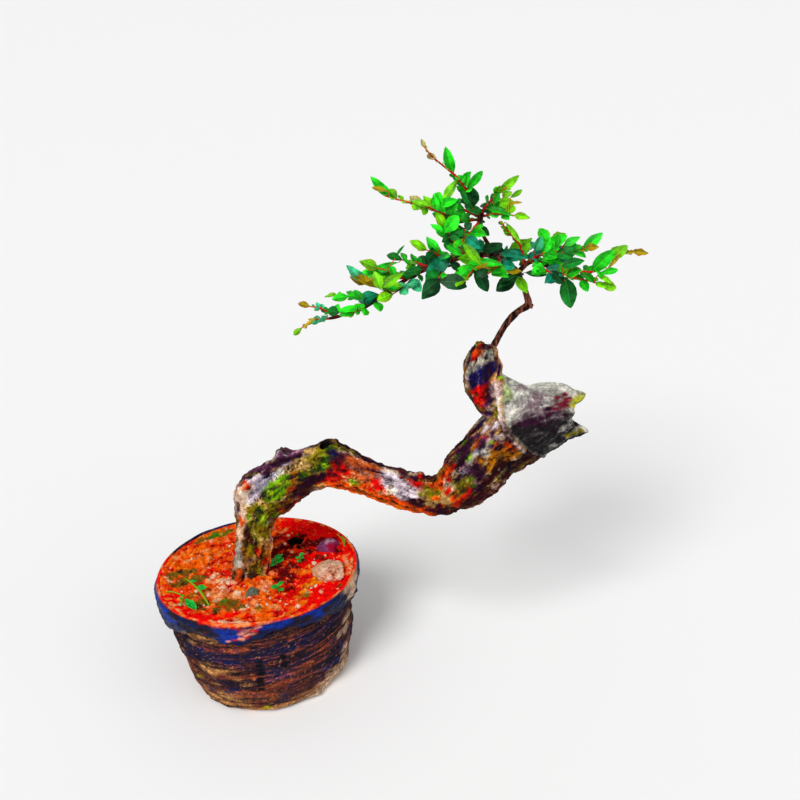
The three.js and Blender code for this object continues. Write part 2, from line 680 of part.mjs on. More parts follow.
// Points spread over a blade, by which its clearance from other leaves and stems is judged.
function bladeSamples(leaf) {
  const rows = Math.ceil(leaf.length / SAMPLE_STEP);
  const samples = [];
  for (let row = 1; row <= rows; row += 1) {
    const u = row / rows;
    const share = Math.sin(Math.PI * Math.min(0.12 + 0.88 * u, 0.98));
    const columns = Math.ceil((share * leaf.half) / SAMPLE_STEP);
    for (let column = -columns; column <= columns; column += 1) {
      const v = columns === 0 ? 0 : column / columns;
      samples.push({ point: bladePoint(leaf, u, v, share), near: u < 0.3 });
    }
  }
  return samples;
}

function stemSamples(route, owner, radiusAt) {
  const curve = curveThrough(route);
  const count = Math.ceil(curve.getLength() / SAMPLE_STEP);
  const samples = [];
  for (let i = 0; i <= count; i += 1) {
    samples.push({ point: curve.getPoint(i / count), radius: radiusAt(i / count), owner });
  }
  return samples;
}

// Whether a leaf is clear of every stem but its own and of every leaf that is already placed.
function isClear(samples, owner, crowd) {
  for (const { point, near } of samples) {
    for (const other of crowd.stems) {
      if (other.owner === owner) continue;
      if (near && other.owner === 'limb') continue;
      if (point.distanceTo(other.point) < other.radius + STEM_MARGIN) return false;
    }
    for (const other of crowd.blades) {
      if (near && other.near && other.owner === owner) continue;
      if (point.distanceTo(other.point) < LEAF_SPACING) return false;
    }
  }
  return true;
}

function addToCrowd(leaf, owner, crowd) {
  for (const { point, near } of bladeSamples(leaf)) crowd.blades.push({ point, near, owner });
}

function keyLeaf({ from, to, half, face }) {
  return { ...leafFrame(vector(from), vector(to), vector(face)), half };
}

// A leaf drawn by rule: it stands off the stem to one side and turns its face to the light.
function drawnLeaf(from, tangent, side, length, random, attempt) {
  const across = new THREE.Vector3().crossVectors(tangent, UP).normalize();
  const above = new THREE.Vector3().crossVectors(across, tangent);
  const stray = 1 + 0.25 * attempt;
  const swing = side === 0 ? 0 : side * (0.95 + 0.3 * (random() - 0.5) * stray);
  const lift = 0.1 + 0.75 * (random() - 0.5) * stray;
  const roll = 1.1 * (random() - 0.5) * stray;
  const along = tangent.clone().multiplyScalar(Math.cos(swing))
    .addScaledVector(across, Math.sin(swing))
    .addScaledVector(above, lift)
    .normalize();
  const face = LIGHT.clone().addScaledVector(across, roll);
  const frame = leafFrame(from, from.clone().addScaledVector(along, length), face);
  return { ...frame, half: length * BLADE_SLIMNESS };
}

function leavesByRule(name, shoot, crowd) {
  const curve = curveThrough(shoot.route);
  const random = seededRandom(shoot.seed);
  const pairs = shoot.count ?? Math.max(1, Math.round((curve.getLength() * (1 - shoot.first)) / NODE_STEP));
  const leaves = [];
  const place = (t, side, length) => {
    for (let attempt = 0; attempt < PLACING_TRIES; attempt += 1) {
      const leaf = drawnLeaf(curve.getPoint(t), curve.getTangent(t), side, length, random, attempt);
      if (isClear(bladeSamples(leaf), name, crowd)) {
        leaves.push(leaf);
        addToCrowd(leaf, name, crowd);
        return;
      }
    }
  };
  for (let pair = 0; pair < pairs; pair += 1) {
    const t = THREE.MathUtils.lerp(shoot.first, 1, pair / pairs);
    const size = valueAlong(shoot.leaf, t) * (0.85 + 0.3 * random());
    place(t, 1, size);
    place(t + 0.25 / (pairs * 2), -1, size * 0.95);
  }
  if (pairs > 0) place(0.99, 0, shoot.leaf[1]);
  return leaves;
}

// The leaves of every shoot: first those placed by hand, then the rest by rule round them.
function allLeaves() {
  const names = Object.keys(SHOOTS);
  const limbs = [BRANCH, ...Object.values(LIMBS)];
  const twig = (t) => valueAlong(SHOOT_RADIUS, t);
  const crowd = {
    stems: [
      ...limbs.flatMap((limb) => stemSamples(limb, 'limb', (t) => valueAlong(limb.map((row) => row[3]), t))),
      ...names.flatMap((name) => stemSamples(SHOOTS[name].route, name, twig)),
    ],
    blades: [],
  };
  const leaves = {};
  for (const name of names) {
    leaves[name] = SHOOTS[name].keys.map(keyLeaf);
    for (const leaf of leaves[name]) addToCrowd(leaf, name, crowd);
  }
  for (const name of names) leaves[name].push(...leavesByRule(name, SHOOTS[name], crowd));
  return leaves;
}

function shootSolid(shoot, leaves, limbs) {
  const route = shoot.route.map((row, i) => [...row, valueAlong(SHOOT_RADIUS, i / (shoot.route.length - 1))]);
  const twig = stemSolid(route, SHOOT_SIDES, route.length - 1);
  return largestBody(joined([twig, ...leaves.map(bladeSolid)]).subtract(limbs));
}

// Seedlings, grass and stones

function seedlingSolid([, x, y, height, length, levels, seed]) {
  const random = seededRandom(seed);
  const foot = soilHeight(x, y) - SEEDLING_DEPTH + 1;
  const top = foot + SEEDLING_DEPTH + height;
  const lean = 2 * (random() - 0.5);
  const parts = [stemSolid([[x, y, foot, SEEDLING_STEM], [x + lean, y - 1, top, SEEDLING_STEM]], 4, 1)];
  for (const level of levels) {
    const turn = random() * FULL_TURN;
    for (const side of [0, Math.PI]) {
      const from = new THREE.Vector3(x + lean * level, y - level, THREE.MathUtils.lerp(foot, top, level));
      const reach = new THREE.Vector3(Math.cos(turn + side), Math.sin(turn + side), 0.35);
      const to = from.clone().addScaledVector(reach, length);
      parts.push(bladeSolid({ ...leafFrame(from, to, UP), half: length * 0.33 }));
    }
  }
  return joined(parts);
}

function grassSolid() {
  const random = seededRandom(GRASS.seed);
  const foot = soilHeight(GRASS.x, GRASS.y) - SEEDLING_DEPTH + 1;
  const parts = [];
  for (const lean of [-7, -1, 5]) {
    const bend = 3 * random();
    parts.push(stemSolid([
      [GRASS.x, GRASS.y, foot, 0.8],
      [GRASS.x + lean * 0.2, GRASS.y - bend * 0.3, foot + SEEDLING_DEPTH + GRASS.height * 0.5, 0.7],
      [GRASS.x + lean, GRASS.y - bend, foot + SEEDLING_DEPTH + GRASS.height * (0.8 + 0.2 * random()), 0.45],
    ], 4, 3));
  }
  return joined(parts);
}

function stemHole(x, y, radius) {
  const hole = new THREE.CylinderGeometry(radius, radius, SEEDLING_DEPTH * 2 + 2, 6);
  hole.rotateX(Math.PI / 2);
  hole.translate(x, y, soilHeight(x, y) + 1.6);
  return toSolid(hole);
}

function stoneSolid([, centre, half, , seed], grow) {
  const geometry = new THREE.IcosahedronGeometry(1, 1);
  const places = geometry.attributes.position;
  for (let i = 0; i < places.count; i += 1) {
    const way = new THREE.Vector3().fromBufferAttribute(places, i).normalize();
    const chip = 1 + 0.16 * unevenness(way.x * 2.2, way.y * 2.4 + way.z, seed % 7);
    const spot = way.toArray().map((part, axis) => part * chip * (half[axis] + grow) + centre[axis]);
    places.setXYZ(i, ...spot);
  }
  return toSolid(geometry);
}

function soilSolid() {
  const seats = [
    trunkCore(CLEARANCE),
    rootSolid(CLEARANCE),
    ...STONES.map((stone) => stoneSolid(stone, CLEARANCE * 1.4)),
    ...SEEDLINGS.map(([, x, y]) => stemHole(x, y, SEEDLING_STEM + 0.9)),
    stemHole(GRASS.x, GRASS.y, 2),
  ];
  return largestBody(seats.reduce((soil, seat) => soil.subtract(seat), soilBlock()));
}

// Assembly

function buildBonsai() {
  const bonsai = new THREE.Group();
  bonsai.add(toMesh('grow_bag', bagSolid(), COLOURS.bag, 0.42));
  bonsai.add(toMesh('soil', soilSolid(), COLOURS.soil, 0.95));
  bonsai.add(toMesh('trunk', trunkSolid(), COLOURS.bark, 0.85));
  for (const stone of STONES) bonsai.add(toMesh(stone[0], stoneSolid(stone, 0), stone[3], 0.85));
  for (const seedling of SEEDLINGS) {
    bonsai.add(toMesh(seedling[0], seedlingSolid(seedling), COLOURS.seedling, 0.5));
  }
  bonsai.add(toMesh('grass_sprig', grassSolid(), COLOURS.seedling, 0.55));
  const limbs = branchSolid(CLEARANCE);
  const leaves = allLeaves();
  for (const [name, shoot] of Object.entries(SHOOTS)) {
    const solid = shootSolid(shoot, leaves[name], limbs);
    bonsai.add(toMesh(`shoot_${name}`, solid, shoot.old ? COLOURS.oldLeaf : COLOURS.leaf, 0.45));
  }
  return bonsai;
}

export default buildBonsai();
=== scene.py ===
"""Looks of a crape myrtle bonsai in a folded nursery bag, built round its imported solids.

Lengths in the tables are millimetres in the frame of the solids: +Z up, -Y towards the viewer.
"""

import json
import logging
import math
from collections.abc import Callable, Iterator, Sequence
from dataclasses import dataclass, field
from enum import Enum
from itertools import product

import bmesh
import bpy
import numpy as np
from mathutils import Matrix, Vector, kdtree, noise

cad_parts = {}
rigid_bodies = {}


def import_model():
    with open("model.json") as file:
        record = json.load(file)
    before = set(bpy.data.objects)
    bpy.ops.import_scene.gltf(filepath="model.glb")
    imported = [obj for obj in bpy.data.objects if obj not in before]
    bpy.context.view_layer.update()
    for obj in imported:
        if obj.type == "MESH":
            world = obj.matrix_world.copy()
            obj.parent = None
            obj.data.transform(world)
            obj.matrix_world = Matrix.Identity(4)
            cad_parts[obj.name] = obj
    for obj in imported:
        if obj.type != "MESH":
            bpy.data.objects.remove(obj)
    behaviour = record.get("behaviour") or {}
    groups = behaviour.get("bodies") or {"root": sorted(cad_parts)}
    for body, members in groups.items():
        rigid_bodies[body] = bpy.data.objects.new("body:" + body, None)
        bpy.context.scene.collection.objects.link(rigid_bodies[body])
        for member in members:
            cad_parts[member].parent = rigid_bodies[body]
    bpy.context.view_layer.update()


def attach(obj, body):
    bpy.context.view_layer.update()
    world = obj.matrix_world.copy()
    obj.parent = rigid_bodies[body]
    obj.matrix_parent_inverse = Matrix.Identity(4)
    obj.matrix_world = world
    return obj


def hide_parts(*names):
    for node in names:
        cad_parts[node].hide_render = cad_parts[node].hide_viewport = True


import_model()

MM = 0.001
FULL_TURN = 2 * math.pi
BODY = "root"
# The part of a noise's range that a ramp spreads over its whole travel.
GRAIN = (0.3, 0.7)

LOG = logging.getLogger("bonsai")

# The photograph's viewpoint: eye, target, lens and frame width in millimetres, roll, and pixels across.
EYE = (165, -874.4, 760.3)
TARGET = (165, 0, 309)
ROLL = math.radians(-4)
LENS = 45.0
FRAME_WIDTH = 36
PIXELS = 800

Row = tuple[float, ...]
Rows = tuple[Row, ...]
Layer = tuple[bpy.types.NodeSocket, float, float]
Shape = Callable[[float, np.ndarray, float, float], tuple[np.ndarray, np.ndarray, np.ndarray]]

# The routes below repeat those of the solids. Each row: x, y, z, then a radius or half width and depth.
TRUNK_ROUTE = (
    (-9, 2, 76, 15, 14), (-7, 0, 98, 18, 17), (-5, 0, 116, 20.5, 20), (-2, 0, 138, 18, 18),
    (1, 0, 160, 17.5, 18), (5, 0, 182, 20.5, 20), (15, -2, 207, 28.5, 23), (39, -6, 227, 25, 23),
    (68, -9, 242, 22.5, 22), (93, -13, 249, 21, 21), (114, -19, 242, 17.8, 19), (136, -26, 235, 16.8, 18),
    (159, -33, 228, 17.6, 18), (180, -38, 222, 18, 19), (198, -40, 220, 20, 20), (215, -40, 229, 24.5, 22),
    (232, -38, 246, 28.5, 25), (249, -35, 262, 31, 27), (267, -32, 276, 33, 29), (284, -29, 289, 37, 30),
    (302, -26, 295, 32, 27), (315, -24, 296, 27.5, 23), (326, -23, 296, 22, 18),
)
LIVE_KNOB = (
    (263, -32, 297, 12), (255, -33, 309, 9), (247, -32, 320, 13), (243, -30, 335, 17), (244, -27, 352, 17),
    (247, -24, 364, 13), (250, -22, 372, 8),
)
KNOB_BURR = ((244, -25, 364, 7), (242, -25, 372, 5.5), (243, -25, 377, 4))
SHOULDER = ((288, -29, 297, 24), (272, -32, 316, 19), (262, -34, 332, 12), (257, -35, 345, 6))
ELBOW_STUB = ((42, -4, 235, 15), (46, -2, 250, 13), (50, 0, 259, 11))
CUT_KNOB = ((88, -12, 248, 17), (92, -12, 263, 14), (95, -12, 274, 9.5))
BROKEN_STUB = ((181, -37, 232, 6), (181, -36, 241, 5.5), (180, -36, 246, 3.8))
ROOT_STRIP = (
    (-4, -12, 196, 6), (-9, -15, 176, 5), (-13, -17, 156, 5), (-17, -18, 134, 5.5), (-20, -18, 114, 6),
    (-21, -18, 104, 5),
)
BRANCH = (
    (250, -24, 357, 4.6), (255, -22, 368, 3.4), (261, -19, 378, 2.9), (267, -17, 387, 2.9),
    (273, -15, 394, 3.4), (281, -13, 400, 3), (290, -11, 405, 3.6), (289, -10, 413, 2.9), (287, -9, 420, 2.8),
    (284, -8, 428, 2.9), (281, -6, 435, 3), (275, -5, 442, 3), (267, -3, 447, 2.8),
)
ELBOW_SPUR = ((289, -11, 405, 3), (294, -11, 403, 2.3))
LIMB_LEFT = (
    (271, -4, 447, 2.7), (257, -1, 452, 2.6), (245, -3, 454, 2.5), (231, -6, 454, 2.3), (215, -10, 451, 2.2),
    (202, -13, 449, 2.1), (187, -17, 445, 2), (172, -21, 438, 1.9), (152, -26, 428, 1.8),
    (132, -29, 419, 1.6), (116, -31, 415, 1.4), (106, -33, 414, 1.2),
)
LIMB_RIGHT = (
    (281, -7, 434, 2.6), (286, -8, 441, 2.3), (294, -9, 446, 2), (304, -13, 444, 1.9), (315, -20, 440, 1.7),
    (327, -23, 441, 1.4),
)
LIMB_UPPER = (
    (257, -1, 452, 2.2), (256, 4, 460, 1.9), (251, 7, 470, 1.8), (249, 8, 480, 2.4), (250, 9, 488, 2.6),
    (249, 9, 493, 1.8),
)


def rgb(red: float, green: float, blue: float) -> Row:
    """An opaque colour."""
    return (red, green, blue, 1.0)


def ease(low: float, high: float, value: np.ndarray | float) -> np.ndarray:
    """Rises smoothly from 0 at low to 1 at high."""
    share = np.clip((np.asarray(value, float) - low) / (high - low), 0.0, 1.0)
    return share * share * (3 - 2 * share)


def bump(angle: np.ndarray, centre: float, width: float) -> np.ndarray:
    """A round bump of height 1 about one angle of a full turn."""
    gap = np.arctan2(np.sin(angle - centre), np.cos(angle - centre))
    return np.exp(-((gap / width) ** 2))


def unevenness(points: np.ndarray, size: float, octaves: int = 4, shift: float = 0.0) -> np.ndarray:
    """Smooth uneven values of about -1 to 1 at each point.

    Args:
        points: rows of x, y, z.
        size: the width of the largest lumps, in the unit of the points.
        octaves: how many finer layers lie on the largest lumps.
        shift: moves the pattern, so that two of them differ.

    Returns:
        One value for each row.
    """
    offset = np.array((shift, 1.7 * shift, -shift))
    places = (points / size + offset).tolist()
    return np.array([noise.fractal(place, 0.7, 2.1, octaves) for place in places])


def creases(points: np.ndarray, size: float, octaves: int = 3, shift: float = 0.0) -> np.ndarray:
    """Sharp ridges between 0 and 1 that run through smooth hollows, at each point."""
    return 1 - np.clip(np.abs(unevenness(points, size, octaves, shift)) * 2.4, 0, 1)


def plain_draws(seed: int) -> Iterator[float]:
    """Even draws from 0 to 1 by the same plain rule as the solids use."""
    state = seed
    while True:
        state = state * 16807 % 2147483647
        yield state / 2147483647


def value_along(values: Sequence[float], t: float) -> float:
    """The value at t, from 0 to 1, on a list of values spread evenly over the length."""
    place = min(max(t, 0.0), 1.0) * (len(values) - 1)
    index = min(int(place), len(values) - 2)
    return values[index] + (values[index + 1] - values[index]) * (place - index)


def around(sides: int) -> np.ndarray:
    """The angles of the corners of a ring."""
    return np.arange(sides) / sides * FULL_TURN


def cross(a: Sequence[float], b: Sequence[float]) -> np.ndarray:
    """The direction square to two others."""
    return np.array((a[1] * b[2] - a[2] * b[1], a[2] * b[0] - a[0] * b[2], a[0] * b[1] - a[1] * b[0]))


def unit(way: np.ndarray) -> np.ndarray:
    """A direction at length 1."""
    return way / math.sqrt(float(way @ way))


@dataclass(frozen=True)
class Route:
    """A smooth line through rows of x, y, z, with any widths that the rows hold after them."""

    rows: Rows
    closed: bool = False

    def point(self, t: float) -> np.ndarray:
        """The place at t, from 0 at the first row to 1 at the last."""
        count = len(self.rows)
        place = (count if self.closed else count - 1) * t
        index = math.floor(place)
        weight = place - index
        if self.closed:
            near = [np.array(self.rows[(index + step) % count][:3], float) for step in (-1, 0, 1, 2)]
        else:
            if weight == 0 and index == count - 1:
                index, weight = count - 2, 1.0
            spots = [np.array(row[:3], float) for row in self.rows]
            before = spots[index - 1] if index > 0 else spots[0] * 2 - spots[1]
            after = spots[index + 2] if index + 2 < count else spots[-1] * 2 - spots[-2]
            near = [before, spots[index], spots[index + 1], after]
        leave, reach = (near[2] - near[0]) * 0.5, (near[3] - near[1]) * 0.5
        square = (near[2] - near[1]) * 3 - leave * 2 - reach
        cube = (near[1] - near[2]) * 2 + leave + reach
        return near[1] + leave * weight + square * weight**2 + cube * weight**3

    def tangent(self, t: float) -> np.ndarray:
        """The direction of the line at t."""
        step = 0.0001
        if self.closed:
            return unit(self.point(t + step) - self.point(t - step))
        return unit(self.point(min(t + step, 1.0)) - self.point(max(t - step, 0.0)))

    def width(self, t: float, column: int = 3) -> float:
        """The width at t that the given column of the rows holds."""
        return value_along([row[column] for row in self.rows], t)

    def length(self) -> float:
        """The length of the line, measured over 200 chords."""
        spots = np.array([self.point(step / 200) for step in range(201)])
        return float(np.linalg.norm(np.diff(spots, axis=0), axis=1).sum())


def nearest(spots: np.ndarray, points: np.ndarray) -> tuple[np.ndarray, np.ndarray]:
    """The number of the spot that is nearest to each point, and how far off it is."""
    tree = kdtree.KDTree(len(spots))
    for index, spot in enumerate(spots):
        tree.insert(spot, index)
    tree.balance()
    found = [tree.find(point) for point in points.tolist()]
    return np.array([index for _, index, _ in found]), np.array([away for _, _, away in found])


def across_of(tangent: np.ndarray) -> np.ndarray:
    """The direction square to a stem that stays closest to the front view's plane."""
    return unit(cross(tangent, (1, 0, 0) if abs(tangent[1]) > 0.9 else (0, 1, 0)))


@dataclass
class Form:
    """A mesh in the making: corners in millimetres, faces, and named values at the corners."""

    points: np.ndarray
    faces: list[tuple[int, ...]]
    values: dict[str, np.ndarray] = field(default_factory=dict)

    def normals(self) -> np.ndarray:
        """The direction that the surface faces at each corner."""
        total = np.zeros_like(self.points)
        for sides in {len(face) for face in self.faces}:
            index = np.array([face for face in self.faces if len(face) == sides])
            spots = self.points[index]
            if sides == 3:
                facing = np.cross(spots[:, 1] - spots[:, 0], spots[:, 2] - spots[:, 0])
            else:
                facing = np.cross(spots[:, 2] - spots[:, 0], spots[:, 3] - spots[:, 1])
            for corner in range(sides):
                np.add.at(total, index[:, corner], facing)
        return total / np.maximum(np.linalg.norm(total, axis=1, keepdims=True), 1e-9)

    def smoothed(self, rounds: int) -> "Form":
        """The same form with each corner drawn towards its neighbours a few times."""
        pairs = np.array([
            (a, b) for face in self.faces for a, b in zip(face, face[1:] + face[:1])
        ])
        count = len(self.points)
        share = np.maximum(np.bincount(pairs[:, 0], minlength=count), 1)[:, None]
        points = self.points
        for _ in range(rounds):
            total = np.stack([
                np.bincount(pairs[:, 0], points[pairs[:, 1], axis], count) for axis in range(3)
            ], 1)
            points = points * 0.4 + total / share * 0.6
        return Form(points, self.faces, self.values)

    def object(
        self, name: str, finish: bpy.types.Material | None = None, outward: bool = True
    ) -> bpy.types.Object:
        """Makes a Blender object of the form, smooth shaded, with its values as attributes.

        Args:
            name: the object's name.
            finish: its material, or None for a piece that gets one later.
            outward: whether to turn every face outwards first.
        """
        mesh = bpy.data.meshes.new(name)
        mesh.from_pydata((self.points * MM).tolist(), [], self.faces)
        for key, column in self.values.items():
            if column.ndim > 1:
                layer = mesh.attributes.new(key, "FLOAT_COLOR", "POINT")
                opaque = np.column_stack([column, np.ones(len(column))])
                layer.data.foreach_set("color", opaque.astype(np.float32).ravel())
                continue
            layer = mesh.attributes.new(key, "FLOAT", "POINT")
            layer.data.foreach_set("value", np.asarray(column, np.float32))
        if outward:
            sheet = bmesh.new()
            sheet.from_mesh(mesh)
            bmesh.ops.recalc_face_normals(sheet, faces=sheet.faces[:])
            sheet.to_mesh(mesh)
            sheet.free()
        mesh.shade_smooth()
        if finish:
            mesh.materials.append(finish)
        return shown(name, mesh)


def shown(name: str, mesh: bpy.types.Mesh) -> bpy.types.Object:
    """An object of a mesh, in the scene."""
    piece = bpy.data.objects.new(name, mesh)
    bpy.context.scene.collection.objects.link(piece)
    return piece


def joined(forms: Sequence[Form]) -> Form:
    """One form of several, each left as it is. A value that one lacks is 0 there."""
    keys = {key for form in forms for key in form.values}
    faces: list[tuple[int, ...]] = []
    start = 0
    for form in forms:
        faces += [tuple(corner + start for corner in face) for face in form.faces]
        start += len(form.points)
    values = {
        key: np.concatenate([form.values.get(key, np.zeros(len(form.points))) for form in forms])
        for key in keys
    }
    return Form(np.concatenate([form.points for form in forms]), faces, values)


def ring_faces(rings: int, sides: int) -> list[tuple[int, ...]]:
    """Four-sided faces between rings of corners that close on themselves."""
    return [
        (ring * sides + side, ring * sides + (side + 1) % sides,
         (ring + 1) * sides + (side + 1) % sides, (ring + 1) * sides + side)
        for ring in range(rings - 1) for side in range(sides)
    ]


def capped(rings: np.ndarray, first: np.ndarray | None, last: np.ndarray | None) -> Form:
    """A form from an array of rings, with a point that closes it at either end.

    Args:
        rings: an array of rings by sides by 3.
        first: the point that closes the first ring, or None to leave it out.
        last: the point that closes the last ring, or None to leave it out.
    """
    count, sides = rings.shape[:2]
    points = [rings.reshape(-1, 3)]
    faces = ring_faces(count, sides)
    total = count * sides
    for end, start in ((first, 0), (last, total - sides)):
        if end is None:
            continue
        points.append(np.asarray(end, float).reshape(1, 3))
        faces += [(start + side, start + (side + 1) % sides, total) for side in range(sides)]
        total += 1
    return Form(np.concatenate(points), faces)


def swept(
    route: Route, sides: int, steps: int, shape: Shape | None = None, depth_column: int = 3
) -> Form:
    """A closed solid bent along a route, round or shaped.

    Args:
        route: the centre line, with its half widths.
        sides: corners round it.
        steps: rings along it, less one.
        shape: given t, the angles, the half width and the half depth, gives back both and how far
            each corner lies ahead.
        depth_column: the column of the rows that holds the half depth.
    """
    angles = around(sides)
    rings = []
    for step in range(steps + 1):
        t = step / steps
        tangent = route.tangent(t)
        across = across_of(tangent)
        depth = cross(across, tangent)
        wide, deep = route.width(t), route.width(t, depth_column)
        ahead: np.ndarray | float = 0.0
        if shape:
            wide, deep, ahead = shape(t, angles, wide, deep)
        rings.append(
            route.point(t)
            + np.outer(np.cos(angles) * wide, across)
            + np.outer(np.sin(angles) * deep, depth)
            + np.outer(np.ones(sides) * ahead, tangent)
        )
    spots = np.array(rings)
    return capped(spots, spots[0].mean(0), spots[-1].mean(0))


def form_of(piece: bpy.types.Object) -> Form:
    """The shown mesh of an object, modifiers included, as a form. The object is removed."""
    mesh = bpy.data.meshes.new_from_object(piece.evaluated_get(bpy.context.evaluated_depsgraph_get()))
    spots = np.zeros(len(mesh.vertices) * 3)
    mesh.vertices.foreach_get("co", spots)
    faces = [tuple(face.vertices) for face in mesh.polygons]
    bpy.data.objects.remove(piece)
    return Form(spots.reshape(-1, 3) / MM, faces)


def fused(forms: Sequence[Form], voxel: float) -> Form:
    """One skin round solids that overlap.

    Args:
        forms: closed forms.
        voxel: the width of the skin's faces, in millimetres.
    """
    heap = joined(forms).object("fusing")
    skin = heap.modifiers.new("skin", "REMESH")
    skin.mode = "VOXEL"
    skin.voxel_size = voxel * MM
    return form_of(heap)


class Sheet:
    """The nodes of one material, with short calls to add and join them."""

    def __init__(self, name: str) -> None:
        """Starts a material with a Principled shader joined to its output."""
        self.material = bpy.data.materials.new(name)
        self.material.use_nodes = True
        self.tree = self.material.node_tree
        self.shader = self.tree.nodes["Principled BSDF"]

    def add(self, kind: str, inputs: dict | None = None, **settings: object) -> bpy.types.Node:
        """Adds a node.

        Args:
            kind: the node's type, without the ShaderNode in front.
            inputs: a value, or a socket to join, for each input by name or number.
            settings: the node's own properties.
        """
        node = self.tree.nodes.new("ShaderNode" + kind)
        for key, value in settings.items():
            setattr(node, key, value)
        self.put(node, inputs or {})
        return node

    def put(self, node: bpy.types.Node, inputs: dict) -> None:
        """Sets or joins a node's inputs."""
        for key, value in inputs.items():
            if isinstance(value, bpy.types.NodeSocket):
                self.tree.links.new(value, node.inputs[key])
            else:
                node.inputs[key].default_value = value

    def spot(self, scale: Row = (1.0, 1.0, 1.0)) -> bpy.types.NodeSocket:
        """The object's own coordinates in millimetres, stretched by a scale."""
        place = self.add("TexCoord").outputs["Object"]
        size = tuple(part / MM for part in scale)
        return self.add("Mapping", {"Vector": place, "Scale": size}).outputs["Vector"]

    def grain(
        self, spot: bpy.types.NodeSocket, size: float, detail: float = 5.0, rough: float = 0.6,
        warp: float = 0.0,
    ) -> bpy.types.NodeSocket:
        """Noise about 0.5 whose largest lumps are so many millimetres wide."""
        return self.add("TexNoise", {
            "Vector": spot, "Scale": 1 / size, "Detail": detail, "Roughness": rough, "Distortion": warp,
        }).outputs["Fac"]

    def value(self, name: str) -> bpy.types.NodeSocket:
        """A named value that the mesh holds at its corners."""
        return self.add("Attribute", attribute_name=name).outputs["Fac"]

    def paint(self) -> bpy.types.NodeSocket:
        """The colour that the mesh holds at its corners."""
        return self.add("Attribute", attribute_name="paint").outputs["Color"]

    def ramp(
        self, value: bpy.types.NodeSocket, low: float, high: float, start: float = 0.0, end: float = 1.0
    ) -> bpy.types.NodeSocket:
        """Goes smoothly from start to end as a value rises from low to high."""
        return self.add("MapRange", {
            "Value": value, "From Min": low, "From Max": high, "To Min": start, "To Max": end,
        }, interpolation_type="SMOOTHSTEP").outputs["Result"]

    def math(self, operation: str, *values: object) -> bpy.types.NodeSocket:
        """The result of one sum on sockets or numbers."""
        return self.add("Math", dict(enumerate(values)), operation=operation).outputs[0]

    def times(self, one: object, other: object) -> bpy.types.NodeSocket:
        """Two values multiplied."""
        return self.math("MULTIPLY", one, other)

    def mix(self, share: object, below: object, above: object, blend: str = "MIX") -> bpy.types.NodeSocket:
        """One colour laid over another."""
        node = self.add("Mix", data_type="RGBA", blend_type=blend)
        self.put(node, {0: share, 6: below, 7: above})
        return node.outputs[2]

    def colours(self, value: bpy.types.NodeSocket, *stops: tuple[float, Row]) -> bpy.types.NodeSocket:
        """A colour from a run of (place, colour) stops."""
        node = self.add("ValToRGB", {"Fac": value})
        run = node.color_ramp.elements
        run.remove(run[1])
        run[0].position, run[0].color = stops[0]
        for place, colour in stops[1:]:
            run.new(place).color = colour
        return node.outputs["Color"]

    def surface(self, colour: object, rough: object, specular: float, *layers: Layer) -> bpy.types.Material:
        """Joins colour, roughness, shine and relief to the shader and gives back the material."""
        self.put(self.shader, {
            "Base Color": colour, "Roughness": rough, "Specular IOR Level": specular,
            "Normal": self.relief(*layers),
        })
        return self.material

    def relief(self, *layers: Layer) -> bpy.types.NodeSocket:
        """A bumpy normal from (height, millimetres, strength) layers."""
        below = None
        for height, depth, strength in layers:
            node = self.add("Bump", {"Height": height, "Distance": depth * MM, "Strength": strength})
            if below:
                self.put(node, {"Normal": below})
            below = node.outputs["Normal"]
        return below


def viewpoint() -> tuple[np.ndarray, np.ndarray, np.ndarray]:
    """The ways right, up and ahead of the studio's viewpoint, before its roll."""
    ahead = unit(np.array(TARGET) - np.array(EYE))
    right = unit(cross(ahead, (0, 0, 1)))
    return right, cross(right, ahead), ahead


def picture(points: np.ndarray) -> np.ndarray:
    """Where each place is seen from the studio's viewpoint: across, down (in pixels) and how far off."""
    right, up, ahead = viewpoint()
    away = points - np.array(EYE)
    depth = away @ ahead
    x, y = (away @ way / depth * LENS / FRAME_WIDTH * PIXELS for way in (right, up))
    turn, middle = -ROLL, PIXELS / 2
    return np.stack([
        middle + x * math.cos(turn) - y * math.sin(turn), middle - x * math.sin(turn) - y * math.cos(turn),
        depth,
    ], 1)


